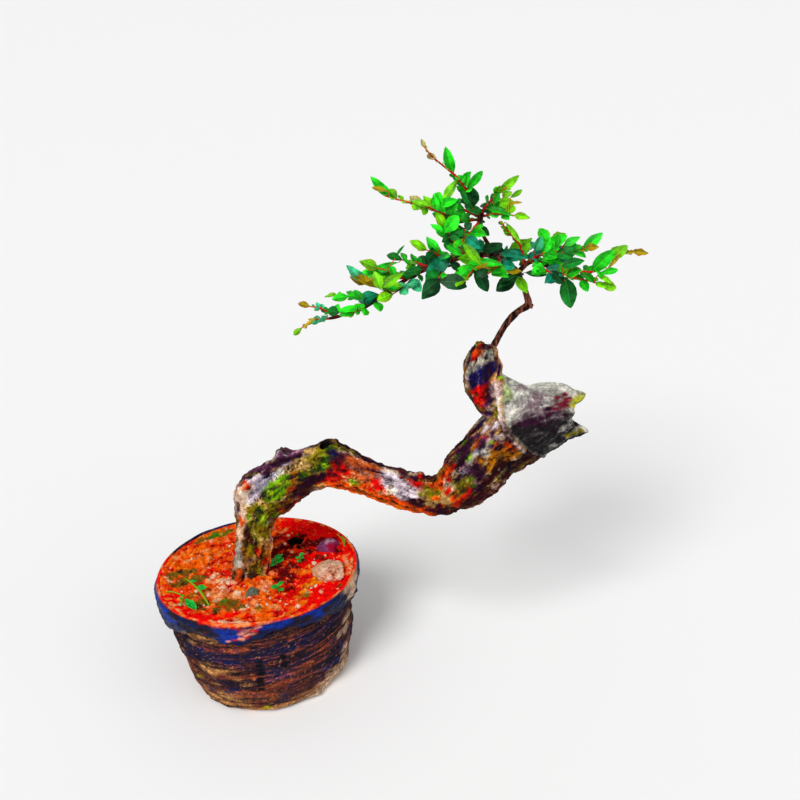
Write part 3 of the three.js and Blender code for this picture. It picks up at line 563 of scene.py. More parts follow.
class Canvas:
    """A skin being painted: the colour at each corner, and the noises that break the paint up."""

    richness = 1.28

    def __init__(self, form: Form, flow: np.ndarray, way: np.ndarray, stretch: float = 0.6) -> None:
        """Measures the skin before it is painted.

        Args:
            form: the skin.
            flow: its corners' places measured along the grain, which is drawn out in one direction.
            way: the direction of the grain at each corner.
            stretch: how much shorter a distance counts along the grain than across it.
        """
        self.form, self.way, self.stretch = form, way, stretch
        self.seen, self.facing = picture(form.points), form.normals()
        self.streak, self.blotch = unevenness(flow, 3.6, 4, 6.0), unevenness(form.points, 10, 4, 7.0)
        self.stray = np.stack([unevenness(form.points, 8, 3, 31.0 + 10 * axis) for axis in range(3)], 1)
        self.colour = np.zeros((len(form.points), 3))
        self.hole = np.zeros(len(form.points))
        self.laid: dict[Enum, np.ndarray] = {}

    def spot(self, across: float, down: float) -> np.ndarray:
        """The place on the skin that is seen at a point of the picture."""
        gap = np.hypot(self.seen[:, 0] - across, self.seen[:, 1] - down)
        turned_away = (self.facing @ viewpoint()[2]) >= -0.1
        cost = np.maximum(gap - 1.5, 0) * 40 + self.seen[:, 2] + 1e4 * turned_away
        return self.form.points[int(np.argmin(cost))]

    def near(self, across: float, down: float, reach: float) -> np.ndarray:
        """How far each corner is from a place that is seen in the picture, in reaches."""
        offset = self.form.points + min(4.5, 0.55 * reach) * self.stray - self.spot(across, down)
        along = (offset * self.way).sum(1)
        return np.sqrt((offset**2).sum(1) - (1 - self.stretch**2) * along**2) / reach

    def lay(self, share: np.ndarray | float, colour: Row | Enum, breakup: float = 0.5) -> None:
        """Lays a colour over the skin, broken up along the grain.

        Args:
            share: how thickly it lies at each corner, 0 to 1.
            colour: what is laid.
            breakup: how much the grain thins it.
        """
        tint = np.array((colour.value if isinstance(colour, Enum) else colour)[:3])
        wear = 1.5 * self.streak + 0.8 * self.blotch - 0.15
        worn = np.clip(1.15 * share * (1 + breakup * wear), 0, 1)[:, None]
        self.colour += (tint - self.colour) * worn

    def cover(self, rows: Rows, edge: tuple[float, float] = (1.45, 0.4)) -> np.ndarray:
        """How thickly something lies whose patches are listed as across, down and reach."""
        ragged = 0.3 * self.blotch + 0.35 * self.streak
        cover = np.zeros(len(self.colour))
        for across, down, reach in rows:
            cover = np.maximum(cover, ease(*edge, self.near(across, down, reach) + ragged))
        return cover

    def patches(
        self, table: dict[Enum, Rows], within: np.ndarray | float = 1.0, breakup: float = 0.25
    ) -> dict[Enum, np.ndarray]:
        """Lays every patch of a table and gives back how thickly each stain lies."""
        laid = {}
        for stain, rows in table.items():
            laid[stain] = self.cover(rows) * within
            self.lay(laid[stain], stain, breakup)
        return laid

    def finish(self, size: float, depth: np.ndarray | float, light: np.ndarray | float = 0.0) -> None:
        """Works grit into the paint and keeps it in the skin.

        Args:
            size: the width of the grit in millimetres.
            depth: how much the grit lightens and darkens.
            light: how much lighter or darker each corner is besides, 0 for as it is.
        """
        grit = unevenness(self.form.points, size, 3, 21.0)
        grey = self.colour.mean(1, keepdims=True)
        shade = np.exp(depth * (1.2 * grit + 0.6 * self.streak) + light)
        colour = (grey + (self.colour - grey) * self.richness) * np.clip(shade, 0.12, 2.2)[:, None]
        self.form.values["paint"] = np.clip(colour, 0.002, 0.95)


@dataclass(frozen=True)
class Finish:
    """A painted surface close to: its grain, its gloss and its finest relief.

    The name is the material's, sizes are millimetres, and each pair gives a lowest and a highest value.
    """

    name: str
    grain: float
    shade: tuple[float, float] = (0.4, 1.4)
    gloss: tuple[float, float] = (0.6, 0.86)
    relief: tuple[float, float] = (1.0, 0.5)
    specular: float = 0.3

    def material(self) -> bpy.types.Material:
        """Builds the material from the paint and the dullness that the mesh holds."""
        sheet = Sheet(self.name)
        spot = sheet.spot()
        middle, fine = sheet.grain(spot, self.grain, 5, 0.65), sheet.grain(spot, self.grain / 3, 5, 0.7)
        paint = sheet.paint()
        shade = sheet.times(sheet.ramp(fine, *GRAIN, *self.shade), sheet.ramp(middle, *GRAIN, 0.75, 1.2))
        rough = sheet.math("ADD", sheet.value("dull"), sheet.ramp(middle, *GRAIN, *self.gloss))
        return sheet.surface(
            sheet.mix(1.0, paint, shade, "MULTIPLY"), rough, self.specular,
            (middle, self.relief[0], 0.7), (fine, self.relief[1], 0.85),
        )


class Stain(Enum):
    """What colours the bark and the bare wood in places, with dark maroon, slate and pit colours that paint
    shade.
    """

    TAN = rgb(0.42, 0.27, 0.12)
    GREY = rgb(0.5, 0.47, 0.4)
    LILAC = rgb(0.56, 0.47, 0.52)
    BLUISH = rgb(0.3, 0.27, 0.33)
    CREAM = rgb(0.85, 0.62, 0.48)
    OCHRE = rgb(0.32, 0.12, 0.015)
    OLIVE = rgb(0.18, 0.15, 0.02)
    MOSS = rgb(0.17, 0.4, 0.004)
    FOREST = rgb(0.02, 0.06, 0.008)
    RUST = rgb(0.42, 0.1, 0.05)
    RED = rgb(0.5, 0.014, 0.008)
    ORANGE = rgb(0.72, 0.11, 0.018)
    PLUM = rgb(0.11, 0.04, 0.085)
    PURPLE = rgb(0.028, 0.007, 0.02)
    # Dark maroon, laid mostly as painted shade under the bends and beside the foot.
    MAROON = rgb(0.028, 0.003, 0.004)
    NAVY = rgb(0.008, 0.008, 0.055)
    # Near black: painted shade in the pits, the long cracks and the cut knob's hollow.
    PIT = rgb(0.003, 0.002, 0.003)
    MINT = rgb(0.42, 0.52, 0.22)
    MAUVE = rgb(0.2, 0.15, 0.165)
    WINE = rgb(0.12, 0.018, 0.028)
    # Near black: painted shade under the bare stump.
    SLATE = rgb(0.012, 0.011, 0.012)
    LIME = rgb(0.5, 0.5, 0.1)


# Where each stain is seen from the studio's viewpoint: across, down, and its reach in millimetres.
# The maroon rows paint shade under the bends and beside the foot, the pit rows shade in the pits.
BARK_PATCHES = {
    Stain.TAN: (
        (308, 450, 6), (314, 448, 5), (295, 461, 7), (288, 466, 7), (304, 461, 8), (313, 455, 6),
        (310, 467, 7), (264, 498, 6), (259, 502, 6), (247, 505, 5), (271, 504, 5), (286, 500, 6),
        (252, 530, 5), (262, 540, 6), (300, 470, 6), (439, 505, 6), (443, 500, 5), (440, 496, 5),
        (456, 480, 5), (460, 476, 4), (487, 460, 5), (480, 352, 4), (480, 358, 4), (430, 504, 4),
        (445, 490, 4), (258, 560, 5), (264, 574, 5), (253, 516, 5),
    ),
    Stain.GREY: (
        (482, 453, 8), (475, 458, 6), (488, 457, 6), (480, 360, 8), (472, 365, 6), (487, 355, 6),
        (467, 372, 4), (278, 474, 5), (291, 452, 5), (248, 500, 6), (242, 496, 6), (239, 547, 4),
        (237, 556, 5), (237, 565, 4),
    ),
    Stain.LILAC: (
        (263, 482, 5), (256, 492, 5), (252, 498, 5), (286, 453, 3), (277, 452, 4), (382, 473, 6),
        (389, 476, 9), (397, 479, 8), (392, 486, 7), (384, 481, 7), (405, 485, 8), (403, 492, 8),
        (411, 495, 6), (398, 495, 5), (486, 428, 3), (494, 428, 3), (499, 439, 4), (467, 379, 2.6),
        (491, 437, 3),
    ),
    Stain.BLUISH: (
        (272, 474, 4), (260, 487, 5), (268, 479, 4), (250, 489, 4), (463, 472, 5), (478, 448, 4),
        (283, 462, 4), (258, 477, 6), (252, 478, 6), (263, 476, 5), (246, 480, 5), (256, 484, 5),
        (251, 493, 4),
    ),
    Stain.CREAM: (
        (240, 491, 4), (240, 500, 6), (240, 512, 6), (241, 524, 6), (239, 535, 5), (248, 488, 3),
        (352, 466, 4), (360, 468, 3), (364, 472, 3), (356, 479, 4), (348, 480, 3), (367, 477, 3),
        (389, 492, 3), (450, 490, 4), (452, 475, 4), (445, 484, 4), (410, 473, 2.4), (466, 385, 3),
        (505, 438, 4), (472, 399, 2.4), (462, 466, 3),
    ),
    Stain.RUST: (
        (347, 458, 7), (356, 461, 8), (365, 465, 8), (372, 466, 7), (350, 474, 8), (361, 482, 7),
        (370, 474, 6), (342, 466, 7), (336, 474, 7), (374, 483, 5), (436, 490, 5), (450, 466, 5),
        (447, 476, 4), (423, 486, 5), (432, 512, 4), (380, 491, 4), (372, 487, 5), (245, 484, 4),
        (238, 576, 5), (240, 583, 5), (236, 583, 4), (256, 566, 4), (263, 560, 4),
    ),
    Stain.OCHRE: (
        (289, 484, 6), (292, 476, 5), (297, 489, 5), (288, 493, 6), (293, 500, 5), (286, 504, 5),
        (276, 509, 5), (314, 484, 4), (480, 464, 6), (496, 455, 7), (506, 452, 6), (508, 458, 6),
        (499, 463, 6), (490, 468, 5), (515, 456, 5), (456, 497, 5), (466, 488, 4), (439, 472, 4),
        (392, 498, 3), (434, 484, 4), (270, 548, 6), (262, 552, 5), (472, 448, 3),
    ),
    Stain.OLIVE: (
        (251, 511, 6), (256, 508, 5), (270, 514, 7), (273, 508, 6), (262, 525, 7), (250, 524, 6),
        (256, 535, 8), (266, 534, 6), (252, 548, 7), (258, 570, 6), (262, 580, 5), (315, 457, 6),
        (321, 450, 6), (318, 464, 6), (331, 440, 4), (334, 445, 4), (354, 483, 4), (429, 488, 4),
        (434, 495, 6), (421, 493, 3), (458, 484, 6), (465, 481, 5), (471, 484, 3), (461, 490, 4),
        (305, 474, 5), (284, 478, 4),
    ),
    Stain.FOREST: (
        (326, 462, 6), (322, 469, 5), (330, 464, 5), (333, 456, 4), (332, 449, 4), (299, 481, 3.4),
        (304, 477, 3), (270, 490, 2.4), (278, 500, 3), (267, 521, 3), (254, 541, 3), (247, 534, 3),
        (262, 560, 3), (316, 472, 3),
    ),
    Stain.MOSS: (
        (273, 488, 7), (279, 483, 6), (282, 478, 4), (272, 498, 5), (278, 493, 6), (266, 492, 3.4),
        (286, 488, 3), (258, 512, 4), (263, 519, 4.4), (257, 521, 3), (249, 518, 2.4), (267, 525, 2.4),
        (325, 466, 2.4), (322, 455, 2.4), (501, 376, 2.4), (463, 441, 2.4), (456, 457, 2.6), (467, 458, 2.8),
        (491, 443, 2), (470, 480, 2), (474, 487, 2), (353, 483, 2), (276, 516, 2.4),
    ),
    Stain.RED: (
        (338, 466, 5), (333, 476, 6), (326, 481, 6), (343, 472, 4), (375, 482, 3.4), (377, 488, 4),
        (369, 490, 4), (401, 471, 2.4), (402, 476, 2), (417, 483, 4), (421, 478, 3), (410, 480, 2),
        (447, 492, 3), (435, 512, 4), (446, 461, 3), (442, 476, 3), (447, 481, 2.6), (452, 468, 2.4),
        (485, 439, 3), (479, 391, 6), (484, 391, 5), (474, 391, 4), (486, 398, 6), (480, 399, 5),
        (475, 403, 4), (484, 406, 4), (469, 394, 3), (474, 356, 4), (480, 348, 2.6), (246, 488, 2),
        (244, 483, 2), (258, 552, 2.6), (266, 561, 3), (268, 571, 3), (470, 492, 3), (466, 497, 4),
        (473, 501, 3), (459, 504, 4), (440, 508, 3), (300, 500, 2.6), (297, 507, 3), (388, 499, 3),
    ),
    Stain.ORANGE: (
        (329, 484, 4), (336, 486, 4), (345, 486, 4), (363, 489, 4), (354, 489, 3), (373, 494, 4),
        (384, 498, 4), (393, 500, 5), (401, 503, 4), (409, 506, 4), (417, 509, 4), (425, 512, 4),
        (446, 469, 4), (439, 484, 4), (433, 483, 3), (479, 441, 4), (476, 352, 4), (514, 449, 4),
        (506, 446, 3), (452, 500, 3), (456, 508, 3), (272, 553, 4), (271, 562, 5), (272, 574, 6),
        (241, 523, 3), (238, 520, 2.4), (261, 555, 3), (240, 573, 2), (237, 580, 2.4), (292, 490, 3),
        (465, 500, 2), (436, 500, 3), (283, 511, 3), (495, 446, 3),
    ),
    Stain.WINE: (
        (470, 433, 4), (421, 471, 4), (451, 461, 3), (477, 475, 3), (466, 447, 3), (420, 488, 2),
        (262, 470, 3),
    ),
    Stain.PLUM: (
        (246, 472, 6), (251, 469, 6), (257, 467, 6), (263, 468, 6), (269, 466, 6), (274, 463, 6),
        (279, 459, 5), (284, 458, 5), (290, 456, 5), (296, 453, 5), (300, 451, 4), (280, 453, 4),
        (290, 450, 4), (242, 478, 3), (460, 456, 5), (466, 446, 4), (474, 436, 4), (482, 440, 4),
        (462, 466, 4), (488, 404, 4), (492, 396, 4), (484, 416, 4), (458, 448, 4), (472, 470, 5),
        (482, 478, 5),
    ),
    Stain.PURPLE: (
        (247, 475, 2.4), (256, 471, 4), (266, 470, 3.4), (249, 476, 3), (242, 484, 2), (276, 465, 3),
        (286, 459, 2.4), (299, 454, 3), (338, 452, 5), (336, 458, 4), (347, 453, 3), (356, 456, 3),
        (366, 459, 3), (376, 462, 3), (387, 465, 3), (398, 468, 3.4), (405, 473, 4), (414, 477, 4),
        (425, 477, 3), (449, 458, 4), (459, 451, 5), (465, 448, 5), (475, 429, 5), (468, 438, 4),
        (482, 445, 4), (491, 434, 4), (482, 474, 6), (475, 468, 3), (486, 482, 6), (479, 488, 7),
        (470, 475, 3), (491, 389, 4), (490, 396, 4), (491, 402, 4), (490, 410, 4), (497, 358, 2.4),
        (487, 346, 4), (461, 463, 3), (244, 480, 1.6), (231, 570, 1.6), (460, 458, 2.4), (330, 471, 2),
    ),
    Stain.MAROON: (
        (304, 489, 6), (310, 483, 5), (306, 496, 5), (297, 495, 4), (288, 508, 5), (317, 480, 4),
        (293, 510, 5), (356, 489, 2.4), (363, 492, 2.4), (395, 503, 2.4), (420, 500, 3), (419, 506, 3),
        (446, 514, 5), (456, 512, 5), (440, 514, 4), (490, 480, 6), (496, 472, 6), (504, 468, 6),
        (512, 464, 6), (521, 460, 6), (529, 460, 6), (470, 503, 6), (482, 498, 7), (494, 488, 8),
        (506, 480, 8), (256, 590, 5), (274, 540, 2.4), (342, 472, 2), (516, 459, 3), (463, 506, 4),
        (247, 537, 5), (252, 542, 4), (246, 544, 3), (247, 578, 5), (254, 583, 5), (269, 566, 3),
        (268, 582, 4), (233, 573, 2), (245, 570, 2),
    ),
    Stain.NAVY: (
        (491, 366, 6), (496, 365, 5), (499, 368, 4), (484, 370, 6), (489, 374, 6), (479, 377, 6),
        (472, 377, 5), (482, 380, 6), (474, 382, 5), (487, 381, 4), (494, 371, 5), (499, 373, 3.4),
        (490, 370, 6), (485, 375, 6), (478, 379, 6), (483, 421, 4), (489, 414, 3.4), (492, 446, 2.6),
        (478, 436, 2), (247, 473, 2), (334, 452, 3), (474, 374, 5), (479, 372, 5), (486, 367, 4),
    ),
    Stain.PIT: (
        (390, 486, 2.2), (409, 484, 1.5), (407, 490, 1.4), (391, 495, 1.3), (344, 472, 1.8), (482, 398, 1.4),
        (476, 395, 1.2), (427, 474, 1.8), (299, 482, 1.6), (480, 481, 2), (488, 476, 2), (476, 494, 2),
        (402, 476, 1),
    ),
}
# The same for the bare stump; the slate rows paint the shade under it.
BARE_PATCHES = {
    Stain.MAUVE: (
        (524, 388, 5), (537, 396, 7), (534, 406, 9), (543, 413, 10), (527, 416, 9), (551, 409, 8),
        (538, 421, 10), (556, 416, 8),
    ),
    Stain.MINT: ((503, 382, 4), (506, 389, 5), (501, 391, 5), (506, 399, 4), (504, 395, 4), (511, 392, 3)),
    Stain.WINE: ((564, 404, 6), (558, 406, 5), (567, 400, 5), (560, 397, 4), (565, 394, 3), (570, 406, 3)),
    Stain.PURPLE: (
        (520, 426, 8), (529, 426, 9), (541, 427, 9), (551, 418, 7), (534, 418, 5), (554, 425, 7),
        (548, 407, 3), (566, 416, 4),
    ),
    Stain.SLATE: (
        (514, 436, 7), (520, 442, 9), (528, 443, 9), (538, 445, 10), (550, 439, 10), (559, 438, 9),
        (541, 435, 9), (569, 430, 7), (574, 426, 5), (565, 424, 6), (578, 429, 4), (532, 435, 9),
        (524, 434, 8), (548, 430, 6), (508, 405, 1.6), (557, 430, 7), (566, 431, 8), (572, 434, 6),
        (563, 441, 7), (553, 446, 7), (544, 451, 6), (576, 422, 4), (570, 418, 4), (580, 434, 3),
        (562, 424, 5), (534, 452, 6),
    ),
    Stain.LIME: ((580, 397, 4), (577, 402, 4), (584, 395, 3), (574, 406, 3)),
    Stain.OLIVE: ((577, 433, 3), (582, 430, 3), (570, 436, 2.4)),
    Stain.MOSS: ((501, 377, 2.4), (498, 382, 2), (578, 404, 1.6)),
}
# Where the bark lies in shade, and where the strip of root bark runs down: across, down and reach.
DIM_BARK = ((452, 488, 26), (480, 462, 26), (508, 460, 20), (482, 380, 24), (486, 350, 18))
STRIP_BARK = tuple((241 - 0.07 * step, 495 + step, 6) for step in range(0, 84, 9))
# The line where living bark rolls back from the dead stump.
LIP_LINE = (
    (262, -40, 340), (255, -52, 325), (258, -57, 310), (266, -60, 295), (279, -55, 278), (292, -42, 264),
    (298, -26, 258), (291, -6, 266), (275, 3, 292), (264, -2, 316), (258, -14, 336), (259, -29, 344),
)
# The fuller underside of the stump: its centre line and half width.
BELLY = ((299, -36, 268, 9), (311, -36, 273.5, 10), (322, -36, 279, 8.5), (333, -35, 282, 5))


@dataclass
class Trunk:
    """The tree's wood: bowed trunk, knobs, dead stump with its bark lip, and the thin live branch."""

    voxel: float = 1.15
    sides: int = 72
    steps: int = 220
    stump_start: float = 0.84
    stump_hollow: float = 13.0
    spike_reach: float = 16.0
    lip_left: float = 235.0
    lip_steps: int = 160
    knob_foot: Row = (300, 312)
    bare_top: Row = (343, 349)
    cut_height: float = 266.0
    cut_depth: float = 9.0
    upper_spike: Row = (-0.5, 0.4)
    lower_spike: Row = (-2.6, 0.5)
    core: Route = Route(TRUNK_ROUTE)
    lip: Route = Route(LIP_LINE, closed=True)
    cut_hollow: Row = (89, -13, 275, 6.5)
    finish: Finish = Finish("old bark", 4, (0.55, 1.3), specular=0.05)

    def core_shape(self, t: float, angle: np.ndarray, wide: float, deep: float) -> tuple:
        """Slow swellings of the trunk, and the ragged end of the dead stump."""
        ridges = 0.035 * np.sin(angle * 3 + t * 21) + 0.03 * np.sin(angle * 5 - t * 34 + 1)
        swelling = 1 + ridges + 0.035 * np.sin(t * 47 + 1.3 * np.sin(angle))
        bareness = float(ease(self.stump_start, 1, t))
        points = bump(angle, *self.upper_spike) + bump(angle, *self.lower_spike)
        spikes = self.spike_reach * np.minimum(1.3 * points, 1 + 0.1 * points)
        jagged = 3 * np.sin(angle * 4 + 1) + 2 * np.sin(angle * 9)
        return wide * swelling, deep * swelling, (spikes + jagged) * bareness**3

    @staticmethod
    def knob_shape(t: float, angle: np.ndarray, wide: float, deep: float) -> tuple:
        """The lumps of a knob or stub."""
        lumps = 1 + 0.07 * np.sin(angle * 3 + t * 9) + 0.05 * np.sin(angle * 5 + t * 17)
        return wide * lumps, deep * lumps, 0.0

    def skin(self) -> Form:
        """One smooth skin over the trunk and its knobs."""
        knob = self.knob_shape
        core = swept(self.core, self.sides, self.steps, self.core_shape, depth_column=4)
        core.points[-1] -= self.core.tangent(1.0) * self.stump_hollow
        forms = [
            core, swept(Route(ROOT_STRIP), 20, 30), swept(Route(SHOULDER), 40, 40, knob),
            swept(Route(LIVE_KNOB), 40, 60, knob), swept(Route(KNOB_BURR), 20, 16, knob),
            swept(Route(ELBOW_STUB), 32, 20, knob), swept(Route(CUT_KNOB), 32, 24, knob),
            swept(Route(BROKEN_STUB), 20, 14, knob), swept(Route(BELLY), 24, 24, knob),
        ]
        return fused(forms, self.voxel).smoothed(6)

    @staticmethod
    def wrapped(route: Route, points: np.ndarray, samples: int = 300) -> np.ndarray:
        """How far along a route each place lies, the way it lies off it, and how far off it is.

        Returns:
            Rows of millimetres along, cosine and sine of the angle round the route, and distance.
        """
        shares = [step / samples for step in range(samples + 1)]
        line = np.array([route.point(t) for t in shares])
        tangents = [route.tangent(t) for t in shares]
        across = np.array([across_of(tangent) for tangent in tangents])
        depth = np.array([cross(side, tangent) for side, tangent in zip(across, tangents)])
        index, _ = nearest(line, points)
        offset = points - line[index]
        away = np.maximum(np.linalg.norm(offset, axis=1), 1e-6)
        return np.stack([
            index / samples * route.length(), (offset * across[index]).sum(1) / away,
            (offset * depth[index]).sum(1) / away, away,
        ], 1)

    def beyond_lip(self, wrap: np.ndarray, points: np.ndarray) -> tuple[np.ndarray, np.ndarray]:
        """How far each place lies past the lip, towards the stump's end, and how far off the lip's line."""
        spots = np.array([self.lip.point(step / self.lip_steps) for step in range(self.lip_steps)])
        line = self.wrapped(self.core, spots)
        angle = np.arctan2(line[:, 2], line[:, 1])
        order = np.argsort(angle)
        turn = np.arctan2(wrap[:, 2], wrap[:, 1])
        start = np.interp(turn, angle[order], line[order, 0], period=FULL_TURN)
        beyond = np.where(points[:, 0] < self.lip_left, -40.0, wrap[:, 0] - start)
        return beyond, nearest(spots, points)[1]

    def carve(self, skin: Form) -> Canvas:
        """Works the bark's relief into the skin and paints it."""
        wrap, knob = self.wrapped(self.core, skin.points), self.wrapped(Route(LIVE_KNOB), skin.points, 80)
        beyond, away = self.beyond_lip(wrap, skin.points)
        x, _, z = skin.points.T
        on_knob = ease(-6, 6, wrap[:, 3] - knob[:, 3]) * ease(*self.knob_foot, z)
        bare = ease(0, 3, beyond) * (1 - ease(*self.bare_top, z - 0.4 * (x - 258)))
        on_knob *= 1 - bare
        chosen = np.where(on_knob[:, None] > 0.5, knob, wrap)
        flow = np.stack([chosen[:, 0] * 0.2, chosen[:, 1] * 21, chosen[:, 2] * 21], 1)
        shares = np.clip(wrap[:, 0] / self.core.length(), 0, 1)
        ways = np.array([self.core.tangent(step / 100) for step in range(101)])
        canvas = Canvas(skin, flow, ways[(shares * 100).round().astype(int)])
        flutes, ribs = unevenness(flow, 11, 4, 3.0), creases(flow, 13, 3, 9.0)
        fibres = creases(flow * (0.6, 1, 1), 6, 3, 4.0)
        lumps, pits = unevenness(skin.points, 26, 3, 5.0), unevenness(skin.points, 5, 4, 2.0)
        knots = unevenness(skin.points, 11, 3, 8.0)
        splits = ease(0.88, 1, creases(flow * (1, 0.8, 0.8) + 3 * canvas.stray, 11, 2, 33.0))
        splits *= 1 - 0.8 * on_knob
        fine = (1 - bare) * (1.2 * flutes + 1.3 * (ribs - 0.35) + 0.8 * pits + 1.3 * knots - 1.2 * splits)
        fine += bare * (0.9 * (fibres - 0.5) + 0.7 * pits + 0.8 * knots)
        rolled = ease(18, 9, away) * ease(0.5, 0.0, -canvas.facing[:, 2]) * ease(378, 388, canvas.seen[:, 1])
        lip = np.exp(-(((beyond + 2.4) / 1.9) ** 2)) * rolled
        lift = 1.4 * lumps + fine + 3.0 * lip - 1.6 * bare * ease(50, 0, beyond) * rolled
        skin.points = skin.points + canvas.facing * lift[:, None]
        self.sink(canvas)
        self.paint(canvas, bare, lip, fine, splits * (1 - bare))
        return canvas

    def sink(self, canvas: Canvas) -> None:
        """Hollows out the cut knob and the small pits of the bark."""
        skin = canvas.form
        centre, top = np.array(self.cut_hollow[:3]), skin.points[:, 2] > self.cut_height
        gap = np.hypot(*(skin.points - centre)[:, :2].T) / self.cut_hollow[3]
        skin.points = skin.points - np.outer(top * self.cut_depth * ease(1.05, 0.7, gap), (0.1, 0.0, 1))
        canvas.hole = top * ease(1.15, 0.95, gap)
        for across, down, reach in BARK_PATCHES[Stain.PIT]:
            dent = 1.1 * reach * ease(1.2, 0.3, canvas.near(across, down, reach))
            skin.points = skin.points - canvas.facing * dent[:, None]

    def paint(
        self, canvas: Canvas, bare: np.ndarray, lip: np.ndarray, fine: np.ndarray, splits: np.ndarray
    ) -> None:
        """Paints the living bark, then the bare wood, then painted shade in their hollows, cracks and
        undersides and a painted highlight on their ridges.

        Args:
            canvas: the skin.
            bare: 1 on dead wood.
            lip: 1 on the rolled edge of the bark.
            fine: the fine relief.
            splits: 1 in the long cracks of the bark.
        """
        skin, streak, facing = canvas.form, canvas.streak, canvas.facing
        tone, warm = unevenness(skin.points, 34, 4, 13.0), unevenness(skin.points, 17, 4, 17.0)
        back = ease(-0.1, 0.3, facing[:, 1]) * ease(0.2, 0.6, facing[:, 2])
        down = ease(0.1, 0.8, -facing[:, 2])
        canvas.lay(1.0, rgb(0.2, 0.1, 0.045), 0)
        canvas.lay(ease(0, 0.6, tone), Stain.OLIVE)
        canvas.lay(ease(0.1, 0.6, -tone) * 0.7, Stain.OCHRE)
        canvas.lay(ease(0.15, 0.6, warm) * 0.6, Stain.RUST)
        canvas.lay(ease(0.2, 0.7, -warm) * 0.5, Stain.BLUISH)
        canvas.lay(ease(0.2, 0.6, streak) * 0.6, Stain.TAN, 0)
        canvas.lay(back * 0.85, Stain.PURPLE, 0.4)
        # Painted shade: maroon on the downward faces of the trunk's left and right parts.
        canvas.lay(down * ease(400, 440, canvas.seen[:, 0]) * 0.9, Stain.MAROON, 0.3)
        canvas.lay(down * ease(330, 300, canvas.seen[:, 0]) * 0.6, Stain.MAROON, 0.3)
        canvas.lay(down * ease(60, 45, np.abs(canvas.seen[:, 0] - 380)) * 0.9, Stain.ORANGE, 0.4)
        laid = canvas.patches(BARK_PATCHES, 1 - bare)
        canvas.lay(laid[Stain.MOSS] * ease(0.1, -0.4, canvas.blotch) * 0.7, Stain.FOREST)
        canvas.lay(laid[Stain.MOSS] * ease(0.15, 0.5, streak) * 0.6, Stain.LIME)
        strong = np.maximum(laid[Stain.NAVY], laid[Stain.RED])
        canvas.lay(lip * (1 - bare) * (1 - strong) * 0.95, rgb(0.78, 0.6, 0.56), 0.5)
        canvas.lay(bare, rgb(0.6, 0.58, 0.53), 0)
        canvas.lay(bare * ease(0, 0.5, -tone) * 0.5, Stain.GREY)
        # Painted shade: near black on the bare wood's downward faces.
        canvas.lay(bare * ease(-0.2, 0.55, -facing[:, 2]) * 0.95, Stain.SLATE, 0.3)
        canvas.patches(BARE_PATCHES, bare, 0.4)
        strip = canvas.cover(STRIP_BARK)
        # Painted shade: purple in the hollows of the relief, less on the root strip.
        hollow = ease(0.1, -1.6, fine) * (1 - 0.8 * strip)
        canvas.lay(hollow * (0.85 - 0.45 * bare), Stain.PURPLE, 0.1)
        # Painted shade: near black in the long cracks.
        canvas.lay(splits * (0.85 - 0.6 * strip), Stain.PIT, 0)
        # Painted highlight: cream on the ridges of the relief.
        ridges = ease(0.7, 2.0, fine) * 0.2 * (1 - np.maximum(laid[Stain.MOSS], strong))
        canvas.lay(ridges, Stain.CREAM, 0.3)
        # Painted shade: near black in the cut knob's hollow.
        canvas.lay(canvas.hole, Stain.PIT, 0)
        # Painted light and shade: lighter on the raised relief, darker in its hollows and where the bark lies
        # in shade.
        dim = canvas.cover(DIM_BARK)
        light = 0.35 * fine * (1 - 0.7 * strip) - 0.06 - 0.25 * dim
        canvas.finish(2.4, 0.5 - 0.15 * bare - 0.25 * lip - 0.3 * strip, light)
        skin.values["moss"] = laid[Stain.MOSS]

    def twigs(self) -> Form:
        """The thin live branch and its limbs, knobbly at their buds."""
        forms = []
        for rows in (BRANCH, ELBOW_SPUR, LIMB_LEFT, LIMB_RIGHT, LIMB_UPPER):
            route, sides = Route(rows), 18 if rows is BRANCH else 14
            steps = max(6, round(route.length() / 1.5))
            form = swept(route, sides, steps)
            facing = form.normals()
            lift = 0.35 * unevenness(form.points, 7, 3, 6.0) + 0.15 * unevenness(form.points, 2.5, 2, 1.0)
            form.points = form.points + facing * lift[:, None]
            thick = np.repeat([route.width(step / steps) for step in range(steps + 1)], sides)
            form.values = {"thick": np.append(thick, [thick[0], thick[-1]])}
            forms.append(form)
        return joined(forms)

    def build(self) -> None:
        """Makes the trunk in place of its solid, and the moss on it."""
        canvas = self.carve(self.skin())
        trunk = canvas.form.object("trunk_bark", self.finish.material())
        merge(trunk, self.twigs().object("trunk_twigs", TwigFinish().material()))
        placed(trunk, "bark", "trunk")
        self.moss(canvas.form)

    def moss(self, skin: Form, tufts: int = 1300) -> None:
        """Grows tufts of moss on the greenest bark."""
        draws = plain_draws(47)
        green = skin.values["moss"]
        mossy = [index for index in range(len(green)) if next(draws) < 0.5 * (green[index] > 0.55)]
        chosen = mossy[:tufts * 3:3]
        spots, facing = skin.points[chosen], skin.normals()[chosen]
        host = Form(spots, [], {"green": green[chosen]}).object("trunk_moss", outward=False)
        sizes = [0.7 + 0.8 * next(draws) ** 2 for _ in chosen]
        moss = litter(host, TuftSet().collection(), sizes, MossFinish().material(), 53, facing + (0, 0, 0.3))
        placed(moss, "bark")


